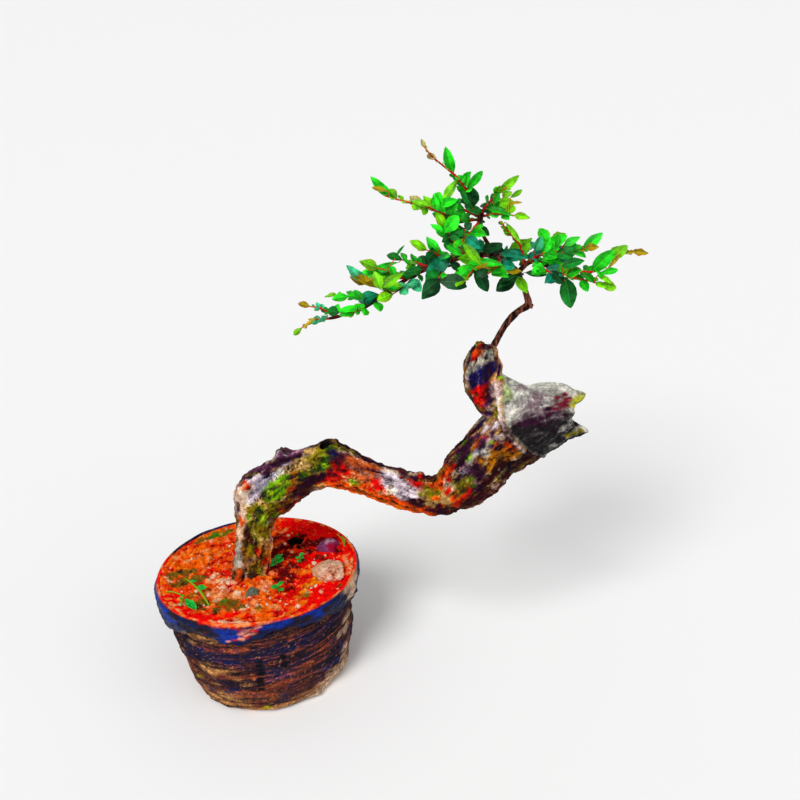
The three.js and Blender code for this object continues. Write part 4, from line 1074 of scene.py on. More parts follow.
@dataclass(frozen=True)
class TwigFinish:
    """Thin bark in lengthwise streaks of near black and lighter orange-brown, a painted shade and a painted
    highlight, darker red-brown where thinnest.
    """

    dark: Row = rgb(0.006, 0.001, 0.001)
    light: Row = rgb(0.26, 0.07, 0.04)
    young: Row = rgb(0.06, 0.006, 0.003)

    def material(self) -> bpy.types.Material:
        """Builds the material."""
        sheet = Sheet("twig bark")
        spot = sheet.spot((1, 1, 0.2))
        streaks, fine = sheet.grain(spot, 3.0), sheet.grain(spot, 1.0)
        colour = sheet.mix(sheet.ramp(streaks, 0.44, 0.64), self.dark, self.light)
        colour = sheet.mix(sheet.ramp(sheet.value("thick"), 2.6, 1.4), colour, self.young)
        return sheet.surface(colour, 0.7, 0.1, (streaks, 0.5, 0.6), (fine, 0.25, 0.5))


def merge(piece: bpy.types.Object, other: bpy.types.Object) -> None:
    """Takes another object into a piece, each part keeping its finish."""
    both = [piece, other]
    with bpy.context.temp_override(
        active_object=piece, selected_editable_objects=both, selected_objects=both
    ):
        bpy.ops.object.join()


def placed(piece: bpy.types.Object, slot: str, *nodes: str) -> bpy.types.Object:
    """Rides a finished piece on the tree's one body.

    Args:
        piece: the finished object.
        slot: not used.
        nodes: the solids that it stands for.
    """
    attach(piece, BODY)
    if nodes:
        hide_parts(*nodes)
    LOG.info("%s: %d corners", piece.name, len(piece.data.vertices))
    return piece


@dataclass(frozen=True)
class Shoot:
    """A leafy shoot: its route from the limb outwards, and how its leaves are placed.

    It holds the lengths of the first and last leaf, where the first one stands, the seed of the draws,
    the leaves given one by one (foot, tip, half width and the way the face looks), whether the shoot is
    old, and how many pairs of leaves it has where that isn't left to the rule.
    """

    route: Rows
    leaf: tuple[float, float]
    first: float
    seed: int
    keys: tuple[tuple[Row, Row, float, Row], ...] = ()
    old: bool = False
    count: int | None = None


SHOOTS: dict[str, Shoot] = {
    "right_long": Shoot(
        (
            (326, -23, 441), (336, -25, 439), (346, -27, 439), (356, -29, 443), (366, -30, 453),
            (380, -32, 457),
        ),
        (26, 15), 0.2, 11,
        keys=(
            ((345, -27, 439), (363, -33, 460), 6.5, (-0.3, -0.85, 0.3)),
            ((360, -30, 449), (374, -34, 464), 5, (-0.5, -0.8, 0.3)),
        ),
    ),
    "right_upper": Shoot(
        ((288, -8, 444), (300, -13, 453), (313, -16, 456), (327, -18, 456), (340, -20, 457)), (26, 18), 0.3,
        23, keys=(((338, -20, 456), (354, -22, 474), 5.5, (-0.6, -0.7, 0.35)),),
    ),
    "right_low": Shoot(
        ((320, -22, 440), (329, -29, 435), (341, -33, 433), (351, -35, 430)), (20, 16), 0.5, 37,
    ),
    "right_hanging": Shoot(
        ((314, -20, 440), (318, -26, 437), (321, -29, 433)), (18, 18), 0.4, 41, old=True, count=0,
        keys=(((321, -27, 436), (327, -34, 407), 8, (0.1, -0.95, 0.15)),),
    ),
    "right_back": Shoot(
        ((298, -11, 445), (306, 2, 443), (316, 12, 440), (328, 21, 439)), (27, 20), 0.25, 53,
        keys=(((328, 20, 438), (338, 12, 417), 7, (0.35, -0.9, 0.1)),),
    ),
    "right_far": Shoot(
        ((290, -8, 445), (296, 14, 441), (309, 31, 438), (322, 44, 435), (333, 56, 434)), (28, 18), 0.2, 67,
    ),
    "right_front": Shoot(
        ((300, -12, 445), (303, -26, 444), (309, -40, 444), (318, -52, 447)), (26, 18), 0.3, 71,
    ),
    "right_crown": Shoot(((297, -10, 446), (303, 0, 450), (310, 8, 455), (318, 15, 459)), (25, 18), 0.35, 83),
    "centre_low": Shoot(
        ((282, -7, 433), (279, -15, 436), (277, -23, 438)), (17, 14), 0.7, 97, old=True, count=0,
        keys=(
            ((277, -22, 438), (259, -33, 430), 6.8, (-0.1, -0.9, 0.45)),
            ((277, -22, 438), (287, -31, 425), 5, (0.2, -0.9, 0.3)),
            ((276, -24, 438), (262, -42, 443), 5, (0, -0.5, 0.85)),
        ),
    ),
    "centre_front": Shoot(
        ((266, -3, 449), (262, -17, 449), (257, -30, 449), (249, -43, 449)), (27, 20), 0.3, 101,
    ),
    "centre_back": Shoot(
        ((264, -2, 449), (271, 15, 446), (281, 30, 444), (293, 43, 443)), (28, 20), 0.25, 113,
    ),
    "centre_left": Shoot(
        ((251, -2, 453), (246, -15, 451), (240, -27, 450), (232, -39, 447)), (27, 20), 0.3, 127,
    ),
    "centre_far": Shoot(((254, -1, 453), (255, 19, 449), (251, 38, 446), (245, 56, 445)), (28, 18), 0.2, 131),
    "centre_crown": Shoot(
        ((246, -3, 454), (240, -8, 461), (234, -13, 469), (227, -17, 476)), (26, 18), 0.3, 149,
    ),
    "left_crown": Shoot(
        ((235, -6, 454), (229, -9, 462), (224, -12, 470), (219, -14, 479), (215, -15, 486)), (24, 16), 0.25,
        151,
    ),
    "left_rise": Shoot(
        ((221, -9, 452), (213, -14, 457), (206, -18, 463), (198, -20, 468)), (24, 18), 0.3, 163,
        keys=(((212, -15, 458), (198, -20, 478), 5, (-0.55, -0.7, 0.4)),),
    ),
    "left_shade": Shoot(
        ((216, -10, 451), (211, -21, 449), (207, -33, 445)), (20, 18), 0.5, 173, old=True, count=0,
        keys=(
            ((207, -32, 445), (231, -42, 440), 7.2, (0.05, -0.8, 0.6)),
            ((207, -33, 445), (191, -42, 430), 8, (-0.1, -0.95, 0.2)),
            ((212, -19, 450), (196, -38, 441), 8, (-0.2, -0.75, 0.65)),
        ),
    ),
    "left_back": Shoot(((226, -7, 453), (219, 9, 449), (210, 22, 444), (200, 34, 440)), (27, 18), 0.2, 181),
    "mid_rise": Shoot(
        ((200, -14, 449), (192, -12, 452), (184, -11, 455), (176, -11, 457)), (22, 15), 0.3, 191,
    ),
    "mid_front": Shoot(
        ((192, -16, 447), (184, -26, 444), (175, -38, 441), (165, -48, 439)), (25, 18), 0.3, 199,
    ),
    "mid_left": Shoot(
        ((178, -19, 441), (170, -24, 447), (162, -27, 453), (153, -30, 458)), (24, 18), 0.3, 211,
        keys=(((166, -26, 450), (143, -30, 457), 4, (-0.2, -0.6, 0.78)),),
    ),
    "mid_back": Shoot(((182, -18, 443), (173, -4, 440), (161, 10, 436), (147, 24, 432)), (25, 16), 0.25, 223),
    "low_rise": Shoot(
        ((164, -23, 434), (154, -29, 441), (145, -33, 446), (136, -38, 453)), (23, 17), 0.3, 227,
        keys=(((142, -35, 448), (128, -42, 463), 5, (-0.5, -0.7, 0.45)),),
    ),
    "low_front": Shoot(
        ((158, -25, 431), (150, -36, 429), (141, -47, 428), (130, -56, 427)), (22, 16), 0.3, 239,
    ),
    "low_back": Shoot(((150, -26, 427), (139, -15, 425), (126, -5, 423), (112, 4, 421)), (22, 15), 0.3, 251),
    "tip_upper": Shoot(
        ((114, -31, 415), (106, -34, 421), (99, -36, 426), (90, -38, 429)), (14, 11), 0.3, 269,
    ),
    "tip_lower": Shoot(((107, -33, 414), (98, -36, 415), (90, -38, 413), (81, -41, 410)), (13, 10), 0.3, 277),
    "top_tall": Shoot(
        (
            (249, 8, 487), (242, 6, 500), (237, 4, 514), (228, 1, 527), (218, -2, 537), (208, -5, 547),
            (201, -8, 557),
        ),
        (24, 8), 0.12, 281, count=4,
        keys=(
            ((226, 1, 529), (219, -3, 553), 5, (-0.35, -0.85, 0.3)),
            ((230, 2, 524), (215, -7, 509), 4.5, (-0.5, -0.8, 0.3)),
            ((237, 4, 513), (252, 1, 529), 4.5, (0.4, -0.8, 0.4)),
        ),
    ),
    "top_left": Shoot(
        (
            (249, 8, 484), (238, 4, 485), (226, -1, 489), (214, -6, 496), (202, -11, 504), (188, -15, 510),
            (171, -20, 517), (163, -22, 521),
        ),
        (27, 14), 0.1, 293, count=5, keys=(((171, -20, 517), (153, -25, 537), 4.5, (-0.5, -0.75, 0.4)),),
    ),
    "top_front": Shoot(((249, 8, 482), (243, -6, 482), (238, -18, 481), (231, -31, 480)), (25, 19), 0.3, 307),
    "top_right": Shoot(
        ((250, 9, 490), (258, 8, 499), (266, 7, 507), (274, 5, 513)), (20, 15), 0.3, 311,
        keys=(((266, 7, 507), (284, 3, 523), 4, (0.2, -0.8, 0.5)),),
    ),
    "top_right_low": Shoot(((250, 9, 486), (261, 4, 489), (270, 0, 490), (279, -4, 489)), (20, 15), 0.3, 317),
    "top_right_back": Shoot(
        ((250, 10, 488), (258, 22, 489), (266, 34, 490), (275, 45, 491)), (22, 16), 0.3, 331,
    ),
    "top_back": Shoot(((249, 10, 485), (239, 22, 488), (229, 33, 491), (219, 45, 493)), (23, 17), 0.3, 337),
    "mid_riser": Shoot(
        ((286, -8, 441), (287, -5, 450), (283, -4, 462), (274, -6, 474), (266, -7, 485)), (15, 12), 0.35, 347,
    ),
}

# The half width that the solids' stems have at foot and tip, by which a leaf's room is judged.
SHOOT_RADIUS = (1.4, 0.8)
# Each seedling's node, x, y, height, leaf length, the levels of its leaves, and seed.
SEEDLINGS = (
    ("seedling_left", -71, -49, 6, 4, (0.97,), 401), ("seedling_front_left", -54, -38, 6, 4, (0.97,), 409),
    ("seedling_trunk", 21, 1, 8, 10, (0.6, 0.97), 419), ("seedling_front", 27, -43, 7, 8, (0.66, 0.97), 421),
    ("seedling_middle", 47, 6, 8, 6, (0.66, 0.97), 431),
)

# What trails over the soil by a seedling: leaves as foot, tip, facing and half width, and stalks as rows of
# x, y, z, radius and the number of their sides.
EXTRA_LEAVES = {
    "seedling_left": (((-69.5, -49, 122.5), (-57, -62.5, 121), (0.1, -0.5, 1), 4.4),),
    "seedling_front_left": (
        ((-60, -31, 122), (-49, -37, 127), (0, -0.6, 1), 3.4),
        ((-70, -17, 121), (-62, -21, 123), (0, -0.6, 1), 1.6),
    ),
}
EXTRA_STALKS = {
    "seedling_left": (
        (((-74, -40, 121.5, 0.7), (-73.5, -47, 121.5, 0.8), (-73, -56, 119, 0.9)), 8),
        (((-93, -31, 119.5, 0.5), (-85, -35, 122, 0.7), (-75, -40, 121.5, 0.7)), 8),
    ),
    "seedling_front_left": (
        (
            ((-76, -10, 119.5, 0.6), (-64.5, -25, 122, 1.0), (-54, -41, 123.5, 1.2), (-44, -57, 118.5, 0.8)),
            10,
        ),
    ),
}


class Green(Enum):
    """What colours the leaves, painted shade and a painted sheen among them."""

    PALE = rgb(0.4, 0.37, 0.12)
    GOLD = rgb(0.34, 0.24, 0.002)
    LIME = rgb(0.14, 0.5, 0.003)
    BRIGHT = rgb(0.015, 0.58, 0.01)
    LEAF = rgb(0.01, 0.35, 0.008)
    EMERALD = rgb(0.003, 0.16, 0.014)
    # Near-black green: old leaves, and painted shade on leaves deep in the crown.
    DEEP = rgb(0.0, 0.052, 0.01)
    # Painted sheen: dark and light greens tinted by the sky that glossy leaves reflect.
    TEAL = rgb(0.003, 0.2, 0.1)
    SEA = rgb(0.04, 0.44, 0.19)


# Where leaves of each green are seen from the studio's viewpoint: across, down.
LEAF_SPOTS = {
    Green.PALE: ((424, 144), (433, 158), (414, 196)),
    Green.GOLD: ((364, 283), (335, 283), (302, 308), (308, 323), (591, 248), (634, 252)),
    Green.LIME: (
        (399, 197), (418, 205), (429, 207), (470, 260), (375, 285), (390, 279), (406, 264), (505, 185),
        (511, 198), (515, 205), (509, 229), (517, 241), (525, 282), (604, 280), (621, 250), (449, 186),
        (463, 255),
    ),
    Green.BRIGHT: (
        (451, 165), (381, 183), (472, 178), (443, 204), (449, 227), (437, 232), (433, 245), (466, 242),
        (399, 273), (348, 309), (470, 186), (501, 215), (466, 243), (486, 264), (556, 245), (570, 240),
        (548, 260), (539, 268), (593, 239), (599, 258), (607, 272), (490, 180), (580, 262),
    ),
    Green.LEAF: (
        (450, 155), (455, 213), (381, 265), (358, 293), (484, 192), (497, 202), (574, 264), (325, 312),
    ),
    Green.EMERALD: (
        (465, 202), (414, 272), (399, 254), (335, 312), (571, 288), (568, 251), (454, 238), (485, 213),
    ),
    Green.DEEP: (
        (474, 196), (467, 228), (426, 258), (453, 267), (451, 283), (427, 290), (466, 200), (492, 251),
        (479, 275), (506, 282), (535, 276), (527, 270), (556, 281), (488, 225),
    ),
    Green.TEAL: (
        (454, 238), (474, 248), (435, 266), (368, 296), (509, 257), (568, 260), (536, 252), (556, 276),
    ),
    Green.SEA: ((409, 285), (322, 321), (353, 272), (536, 245), (321, 310)),
}
# The green of any other leaf, by the age below which it has it.
GREEN_BY_AGE = (
    (0.02, Green.GOLD), (0.12, Green.LIME), (0.36, Green.BRIGHT), (0.7, Green.LEAF), (2, Green.EMERALD),
)
# Leaves seen besides: where foot and tip are seen, across and down, then the half width and the green.
SEEN_LEAVES = (
    (389, 194, 372, 189, 2, Green.GOLD), (430, 209, 411, 202, 3.5, Green.LIME),
    (437, 213, 433, 198, 3.5, Green.BRIGHT), (437, 208, 457, 201, 4.5, Green.BRIGHT),
    (445, 215, 457, 207, 5, Green.LEAF), (472, 211, 461, 192, 5, Green.EMERALD),
    (474, 208, 470, 190, 5.5, Green.DEEP), (443, 235, 457, 220, 6, Green.BRIGHT),
    (443, 235, 431, 226, 3.5, Green.BRIGHT), (448, 239, 459, 237, 5.5, Green.EMERALD),
    (464, 231, 471, 225, 4, Green.DEEP), (439, 251, 427, 240, 3.2, Green.BRIGHT),
    (445, 245, 462, 258, 4, Green.BRIGHT), (461, 244, 479, 266, 4.5, Green.LIME),
    (465, 239, 480, 250, 5.5, Green.TEAL), (451, 257, 424, 279, 7.5, Green.TEAL),
    (449, 264, 460, 271, 4.5, Green.DEEP), (438, 283, 464, 283, 7, Green.DEEP),
    (434, 284, 422, 295, 6, Green.DEEP), (419, 285, 399, 289, 2.6, Green.SEA),
    (422, 271, 405, 274, 4, Green.EMERALD), (426, 266, 433, 250, 4, Green.DEEP),
    (399, 264, 365, 274, 2.6, Green.LEAF), (395, 260, 404, 246, 1.5, Green.EMERALD),
    (410, 268, 401, 254, 2.4, Green.BRIGHT), (359, 278, 348, 267, 3.6, Green.SEA),
    (377, 289, 354, 275, 5, Green.GOLD), (381, 291, 375, 273, 4.5, Green.LIME),
    (383, 289, 403, 273, 5, Green.LIME), (395, 277, 391, 268, 3.5, Green.BRIGHT),
    (378, 295, 362, 299, 5, Green.TEAL), (364, 301, 355, 291, 3, Green.LEAF),
    (358, 308, 337, 313, 3, Green.BRIGHT), (340, 314, 329, 311, 4.5, Green.EMERALD),
    (337, 312, 339, 305, 3.5, Green.LEAF), (329, 316, 318, 324, 2, Green.SEA),
    (317, 319, 304, 327, 1.6, Green.GOLD), (493, 206, 499, 194, 3, Green.LEAF),
    (509, 200, 521, 193, 2.6, Green.LIME), (507, 206, 520, 205, 1.6, Green.GOLD),
    (486, 211, 511, 218, 3.6, Green.LEAF), (481, 214, 466, 211, 4, Green.EMERALD),
    (504, 224, 519, 243, 2.6, Green.LIME), (480, 251, 496, 249, 5, Green.DEEP),
    (499, 255, 525, 259, 5, Green.TEAL), (474, 262, 499, 267, 3.6, Green.BRIGHT),
    (495, 268, 474, 269, 2.6, Green.GOLD), (521, 273, 495, 272, 3.6, Green.GOLD),
    (486, 270, 477, 279, 4.4, Green.DEEP), (524, 274, 544, 277, 3.2, Green.DEEP),
    (533, 253, 541, 239, 5, Green.SEA), (554, 251, 558, 236, 3, Green.LEAF),
    (562, 247, 577, 239, 4, Green.BRIGHT), (562, 255, 573, 245, 5, Green.EMERALD),
    (540, 262, 562, 255, 5, Green.BRIGHT), (560, 268, 580, 262, 5.5, Green.EMERALD),
    (531, 264, 543, 271, 3.5, Green.BRIGHT), (583, 250, 597, 248, 4, Green.GOLD),
    (605, 270, 619, 256, 2.6, Green.GOLD), (596, 276, 616, 269, 3, Green.BRIGHT),
    (595, 277, 610, 284, 3, Green.LIME), (550, 272, 562, 284, 5, Green.DEEP),
    (516, 276, 497, 288, 5, Green.DEEP),
)


@dataclass
class Leaf:
    """One leaf's frame: its foot, the ways along, across and out of it, its sizes, its age and its green."""

    start: np.ndarray
    along: np.ndarray
    across: np.ndarray
    out: np.ndarray
    length: float
    half: float
    age: float = 0.5
    green: Green = Green.LEAF

    @classmethod
    def between(cls, start: Row, end: Row, face: Row, half: float, age: float = 0.5) -> "Leaf":
        """A leaf from its foot to its tip, turned so that its face looks one way."""
        start, end, face = (np.array(row, float) for row in (start, end, face))
        length = math.sqrt(float((end - start) @ (end - start)))
        along = unit(end - start)
        out = unit(face - along * float(face @ along))
        return cls(start, along, cross(along, out), out, length, half, age)


@dataclass
class Crowd:
    """Points on every stem and leaf that is already placed, by which a new leaf's room is judged.

    A stem's row holds x, y, z, radius and owner. A blade's row holds x, y, z, whether it is near the
    leaf's foot, and owner.
    """

    spacing: float = 3.1
    step: float = 3.2
    margin: float = 1.4
    curl: float = 0.16
    stems: np.ndarray = field(default_factory=lambda: np.zeros((0, 5)))
    blades: np.ndarray = field(default_factory=lambda: np.zeros((0, 5)))

    def add_stem(self, route: Route, owner: int, radii: Sequence[float]) -> None:
        """Adds points along a stem."""
        count = math.ceil(route.length() / self.step)
        shares = [place / count for place in range(count + 1)]
        rows = [(*route.point(t), value_along(radii, t), owner) for t in shares]
        self.stems = np.concatenate([self.stems, rows])

    def samples(self, leaf: "Leaf") -> np.ndarray:
        """Points over a blade: x, y, z and 1 where it is near the foot."""
        rows = math.ceil(leaf.length / self.step)
        grid = []
        for row in range(1, rows + 1):
            u = row / rows
            share = math.sin(math.pi * min(0.12 + 0.88 * u, 0.98))
            columns = math.ceil(share * leaf.half / self.step)
            grid += [
                (u, (column / columns if columns else 0.0) * share) for column in range(-columns, columns + 1)
            ]
        u, v = np.array(grid).T
        spots = (
            leaf.start + np.outer(u * leaf.length, leaf.along) + np.outer(v * leaf.half, leaf.across)
            - np.outer(self.curl * leaf.length * u * u, leaf.out)
        )
        return np.column_stack([spots, u < 0.3])

    def add(self, leaf: "Leaf", owner: int) -> None:
        """Adds a leaf that has been placed."""
        spots = self.samples(leaf)
        self.blades = np.concatenate([self.blades, np.column_stack([spots, np.full(len(spots), owner)])])

    def is_clear(self, leaf: "Leaf", owner: int, spacing: float | None = None) -> bool:
        """Whether a leaf is clear of every other stem and of every placed leaf.

        Args:
            leaf: the leaf to test.
            owner: the number of its shoot, whose own stem it may touch.
            spacing: the least room between leaves, or None for the solids' own.
        """
        spots = self.samples(leaf)
        near = spots[:, 3] > 0
        middle = spots[:, :3].mean(0)
        reach = leaf.length + 10

        def close(rows: np.ndarray) -> np.ndarray:
            """The rows that lie close enough to matter."""
            return rows[np.abs(rows[:, :3] - middle).max(1) < reach]

        stems, blades = close(self.stems), close(self.blades)
        gaps = np.linalg.norm(spots[:, None, :3] - stems[None, :, :3], axis=2)
        skipped = (stems[:, 4] == owner)[None, :] | (near[:, None] & (stems[:, 4] < 0)[None, :])
        if ((gaps < stems[:, 3] + self.margin) & ~skipped).any():
            return False
        gaps = np.linalg.norm(spots[:, None, :3] - blades[None, :, :3], axis=2)
        skipped = near[:, None] & ((blades[:, 3] > 0) & (blades[:, 4] == owner))[None, :]
        return not ((gaps < (spacing or self.spacing)) & ~skipped).any()


@dataclass
class Foliage:
    """Every leafy shoot: thin red stems with their leaves, and the small leaves on the limbs."""

    tries: int = 9
    node_step: float = 14.0
    slimness: float = 0.28
    small_tries: int = 4
    small_step: float = 4.5
    small_spacing: float = 2.2
    stand_off: float = 10.0
    depth_cost: float = 0.4
    same_leaf: float = 9.0
    stem_step: float = 1.6
    stem_sides: int = 10
    woody: tuple[str, ...] = ("mid_front", "low_front", "left_shade")
    limbs: tuple[Rows, ...] = (BRANCH, LIMB_LEFT, LIMB_RIGHT, LIMB_UPPER)
    light: np.ndarray = field(default_factory=lambda: unit(np.array((0.05, -0.75, 0.66))))
    crowd: Crowd = field(default_factory=Crowd)

    def drawn(
        self, start: np.ndarray, tangent: np.ndarray, side: int, length: float, draws: Iterator[float],
        attempt: int,
    ) -> Leaf:
        """A leaf drawn by rule: it stands off the stem to one side and turns its face to the light."""
        across = unit(cross(tangent, (0, 0, 1)))
        above = cross(across, tangent)
        stray = 1 + 0.25 * attempt
        swing = side * (0.95 + 0.3 * (next(draws) - 0.5) * stray) if side else 0.0
        lift = 0.1 + 0.75 * (next(draws) - 0.5) * stray
        roll = 1.1 * (next(draws) - 0.5) * stray
        along = unit(tangent * math.cos(swing) + across * math.sin(swing) + above * lift)
        face = self.light + across * roll
        return Leaf.between(start, start + along * length, face, length * self.slimness)

    def leaves(self) -> dict[str, list[Leaf]]:
        """The leaves of every shoot, where the solids have them, with smaller ones added between."""
        names = list(SHOOTS)
        for limb in self.limbs:
            self.crowd.add_stem(Route(limb), -1, [row[3] for row in limb])
        for owner, name in enumerate(names):
            self.crowd.add_stem(Route(SHOOTS[name].route), owner, SHOOT_RADIUS)
        leaves: dict[str, list[Leaf]] = {}
        for owner, name in enumerate(names):
            leaves[name] = [
                Leaf.between(foot, tip, face, half, 0.85 if SHOOTS[name].old else 0.35)
                for foot, tip, half, face in SHOOTS[name].keys
            ]
            for leaf in leaves[name]:
                self.crowd.add(leaf, owner)
        for owner, name in enumerate(names):
            leaves[name] += self.by_rule(SHOOTS[name], owner)
        for owner, name in enumerate(names):
            leaves[name] += self.between(SHOOTS[name], owner)
        return leaves

    def by_rule(self, shoot: Shoot, owner: int) -> list[Leaf]:
        """The leaves of one shoot that its solid has too."""
        route = Route(shoot.route)
        draws = plain_draws(shoot.seed)
        pairs = shoot.count
        if pairs is None:
            pairs = max(1, math.floor(route.length() * (1 - shoot.first) / self.node_step + 0.5))
        found: list[Leaf] = []

        def place(t: float, side: int, length: float) -> None:
            """Tries a few times to find a leaf some room."""
            for attempt in range(self.tries):
                leaf = self.drawn(route.point(t), route.tangent(t), side, length, draws, attempt)
                if self.crowd.is_clear(leaf, owner):
                    leaf.age = 0.5 - 0.42 * t
                    found.append(leaf)
                    self.crowd.add(leaf, owner)
                    return

        for pair in range(pairs):
            t = shoot.first + (1 - shoot.first) * pair / pairs
            size = value_along(shoot.leaf, t) * (0.85 + 0.3 * next(draws))
            place(t, 1, size)
            place(t + 0.25 / (pairs * 2), -1, size * 0.95)
        if pairs > 0:
            place(0.99, 0, shoot.leaf[1])
        return found

    def between(self, shoot: Shoot, owner: int) -> list[Leaf]:
        """Small leaves in the gaps along a shoot, finer than its solid has."""
        route = Route(shoot.route)
        draws = plain_draws(shoot.seed + 1000)
        steps = max(2, round(route.length() / self.small_step))
        found: list[Leaf] = []
        for step in range(1, steps):
            t = step / steps
            length = value_along(shoot.leaf, t) * (0.42 + 0.36 * next(draws))
            for side in (1, -1):
                for attempt in range(self.small_tries):
                    leaf = self.drawn(route.point(t), route.tangent(t), side, length, draws, attempt)
                    if self.crowd.is_clear(leaf, owner, self.small_spacing):
                        leaf.age = 0.4 - 0.4 * t * next(draws)
                        leaf.half *= 0.9
                        found.append(leaf)
                        self.crowd.add(leaf, owner)
                        break
        return found

    def as_seen(self, leaves: dict[str, list[Leaf]]) -> dict[str, list[Form]]:
        """Adds the leaves listed by where they are seen, on the shoots nearest to them.

        Args:
            leaves: every shoot's leaves, which are added to.

        Returns:
            The stalks that the new leaves hang by, for each shoot.
        """
        names, spots = [], []
        for name, shoot in SHOOTS.items():
            route = Route(shoot.route)
            for share in np.linspace(0.1, 1, 12):
                names.append(name)
                spots.append(route.point(share))
        spots = np.array(spots)
        seen = picture(spots)
        right, up, ahead = viewpoint()
        ways = np.array((right, -up))
        turn = np.array(((math.cos(ROLL), math.sin(ROLL)), (-math.sin(ROLL), math.cos(ROLL))))
        stalks: dict[str, list[Form]] = {name: [] for name in leaves}
        draws = plain_draws(977)

        def moved(index: int, across: float, down: float) -> np.ndarray:
            """The place at a spot's depth that is seen at a point of the picture."""
            gap = np.array((across, down)) - seen[index, :2]
            return spots[index] + (turn @ gap) @ ways * seen[index, 2] / (LENS / FRAME_WIDTH * PIXELS)

        for across, down, to_across, to_down, half, green in SEEN_LEAVES:
            gap = np.hypot(seen[:, 0] - across, seen[:, 1] - down)
            index = int(np.argmin(gap + self.depth_cost * (spots[:, 1] - spots[:, 1].min())))
            start, end = moved(index, across, down), moved(index, to_across, to_down)
            reach = float(np.linalg.norm(end - start))
            start = start - ahead * self.stand_off
            end = end - ahead * (self.stand_off + reach * (0.5 * next(draws) - 0.05))
            face = self.light + (next(draws) - 0.5, 0, next(draws) - 0.5)
            leaf = Leaf.between(start, end, face, half, 0.4)
            leaf.green = green
            leaves[names[index]].append(leaf)
            middle = (spots[index] + start) / 2 + np.array((0, 0, 0.6))
            if np.linalg.norm(start - spots[index]) > 1.2:
                stalk = Route(((*spots[index], 0.45), (*middle, 0.4), (*start, 0.35)))
                form = swept(stalk, 6, 5)
                form.values = {"tip": np.full(len(form.points), 0.7)}
                stalks[names[index]].append(form)
        return stalks

    def coloured(self, leaves: Sequence[Leaf]) -> None:
        """Gives each leaf the green that is seen nearest to it, or else one by its age."""
        table = [(across, down, green) for green, rows in LEAF_SPOTS.items() for across, down in rows]
        middles = np.array([leaf.start + leaf.along * leaf.length * 0.5 for leaf in leaves])
        for leaf, seen in zip(leaves, picture(middles)):
            gaps = [math.hypot(seen[0] - across, seen[1] - down) for across, down, _ in table]
            least = int(np.argmin(gaps))
            if gaps[least] < self.same_leaf:
                leaf.green = table[least][2]
            else:
                leaf.green = next(green for age, green in GREEN_BY_AGE if leaf.age < age)
            if leaf.green in (Green.DEEP, Green.TEAL, Green.EMERALD):
                leaf.age = 0.6

    def stem(
        self, name: str, shoot: Shoot, leaves: Sequence[Leaf], stalks: Sequence[Form]
    ) -> bpy.types.Object:
        """The shoot's thin stem, thickened a little where a leaf leaves it, with its leaves' stalks."""
        route = Route(shoot.route)
        steps = max(8, round(route.length() / self.stem_step))
        feet = np.array([leaf.start for leaf in leaves]) if leaves else np.zeros((1, 3))

        def shape(t: float, angle: np.ndarray, wide: float, deep: float) -> tuple:
            """Tapers the stem and swells it at each node."""
            gap = np.linalg.norm(feet - route.point(t), axis=1).min()
            radius = (1.15 - 0.6 * t) * (1 + 0.35 * math.exp(-((gap / 1.1) ** 2)))
            return radius, radius, 0.0

        widened = Route(tuple((*row, 1.0) for row in shoot.route))
        form = swept(widened, self.stem_sides, steps, shape)
        ages = np.repeat([step / steps for step in range(steps + 1)], self.stem_sides)
        form.values = {"tip": np.append(ages, [0.0, 1.0])}
        finish = StemFinish().material(shoot.old or name in self.woody)
        return joined([form, *stalks]).object(f"{name}_stem", finish)

    def build(self) -> None:
        """Makes each shoot in place of its solid."""
        spray = Spray(BladeSet(), LeafFinish().material())
        shoots = self.leaves()
        for leaves in shoots.values():
            self.coloured(leaves)
        stalks = self.as_seen(shoots)
        for name, leaves in shoots.items():
            piece = spray.grown(f"leaves_{name}", leaves, SHOOTS[name].seed)
            merge(piece, self.stem(name, SHOOTS[name], leaves, stalks[name]))
            placed(piece, "old_leaf" if SHOOTS[name].old else "leaf", f"shoot_{name}")
        spray.close()


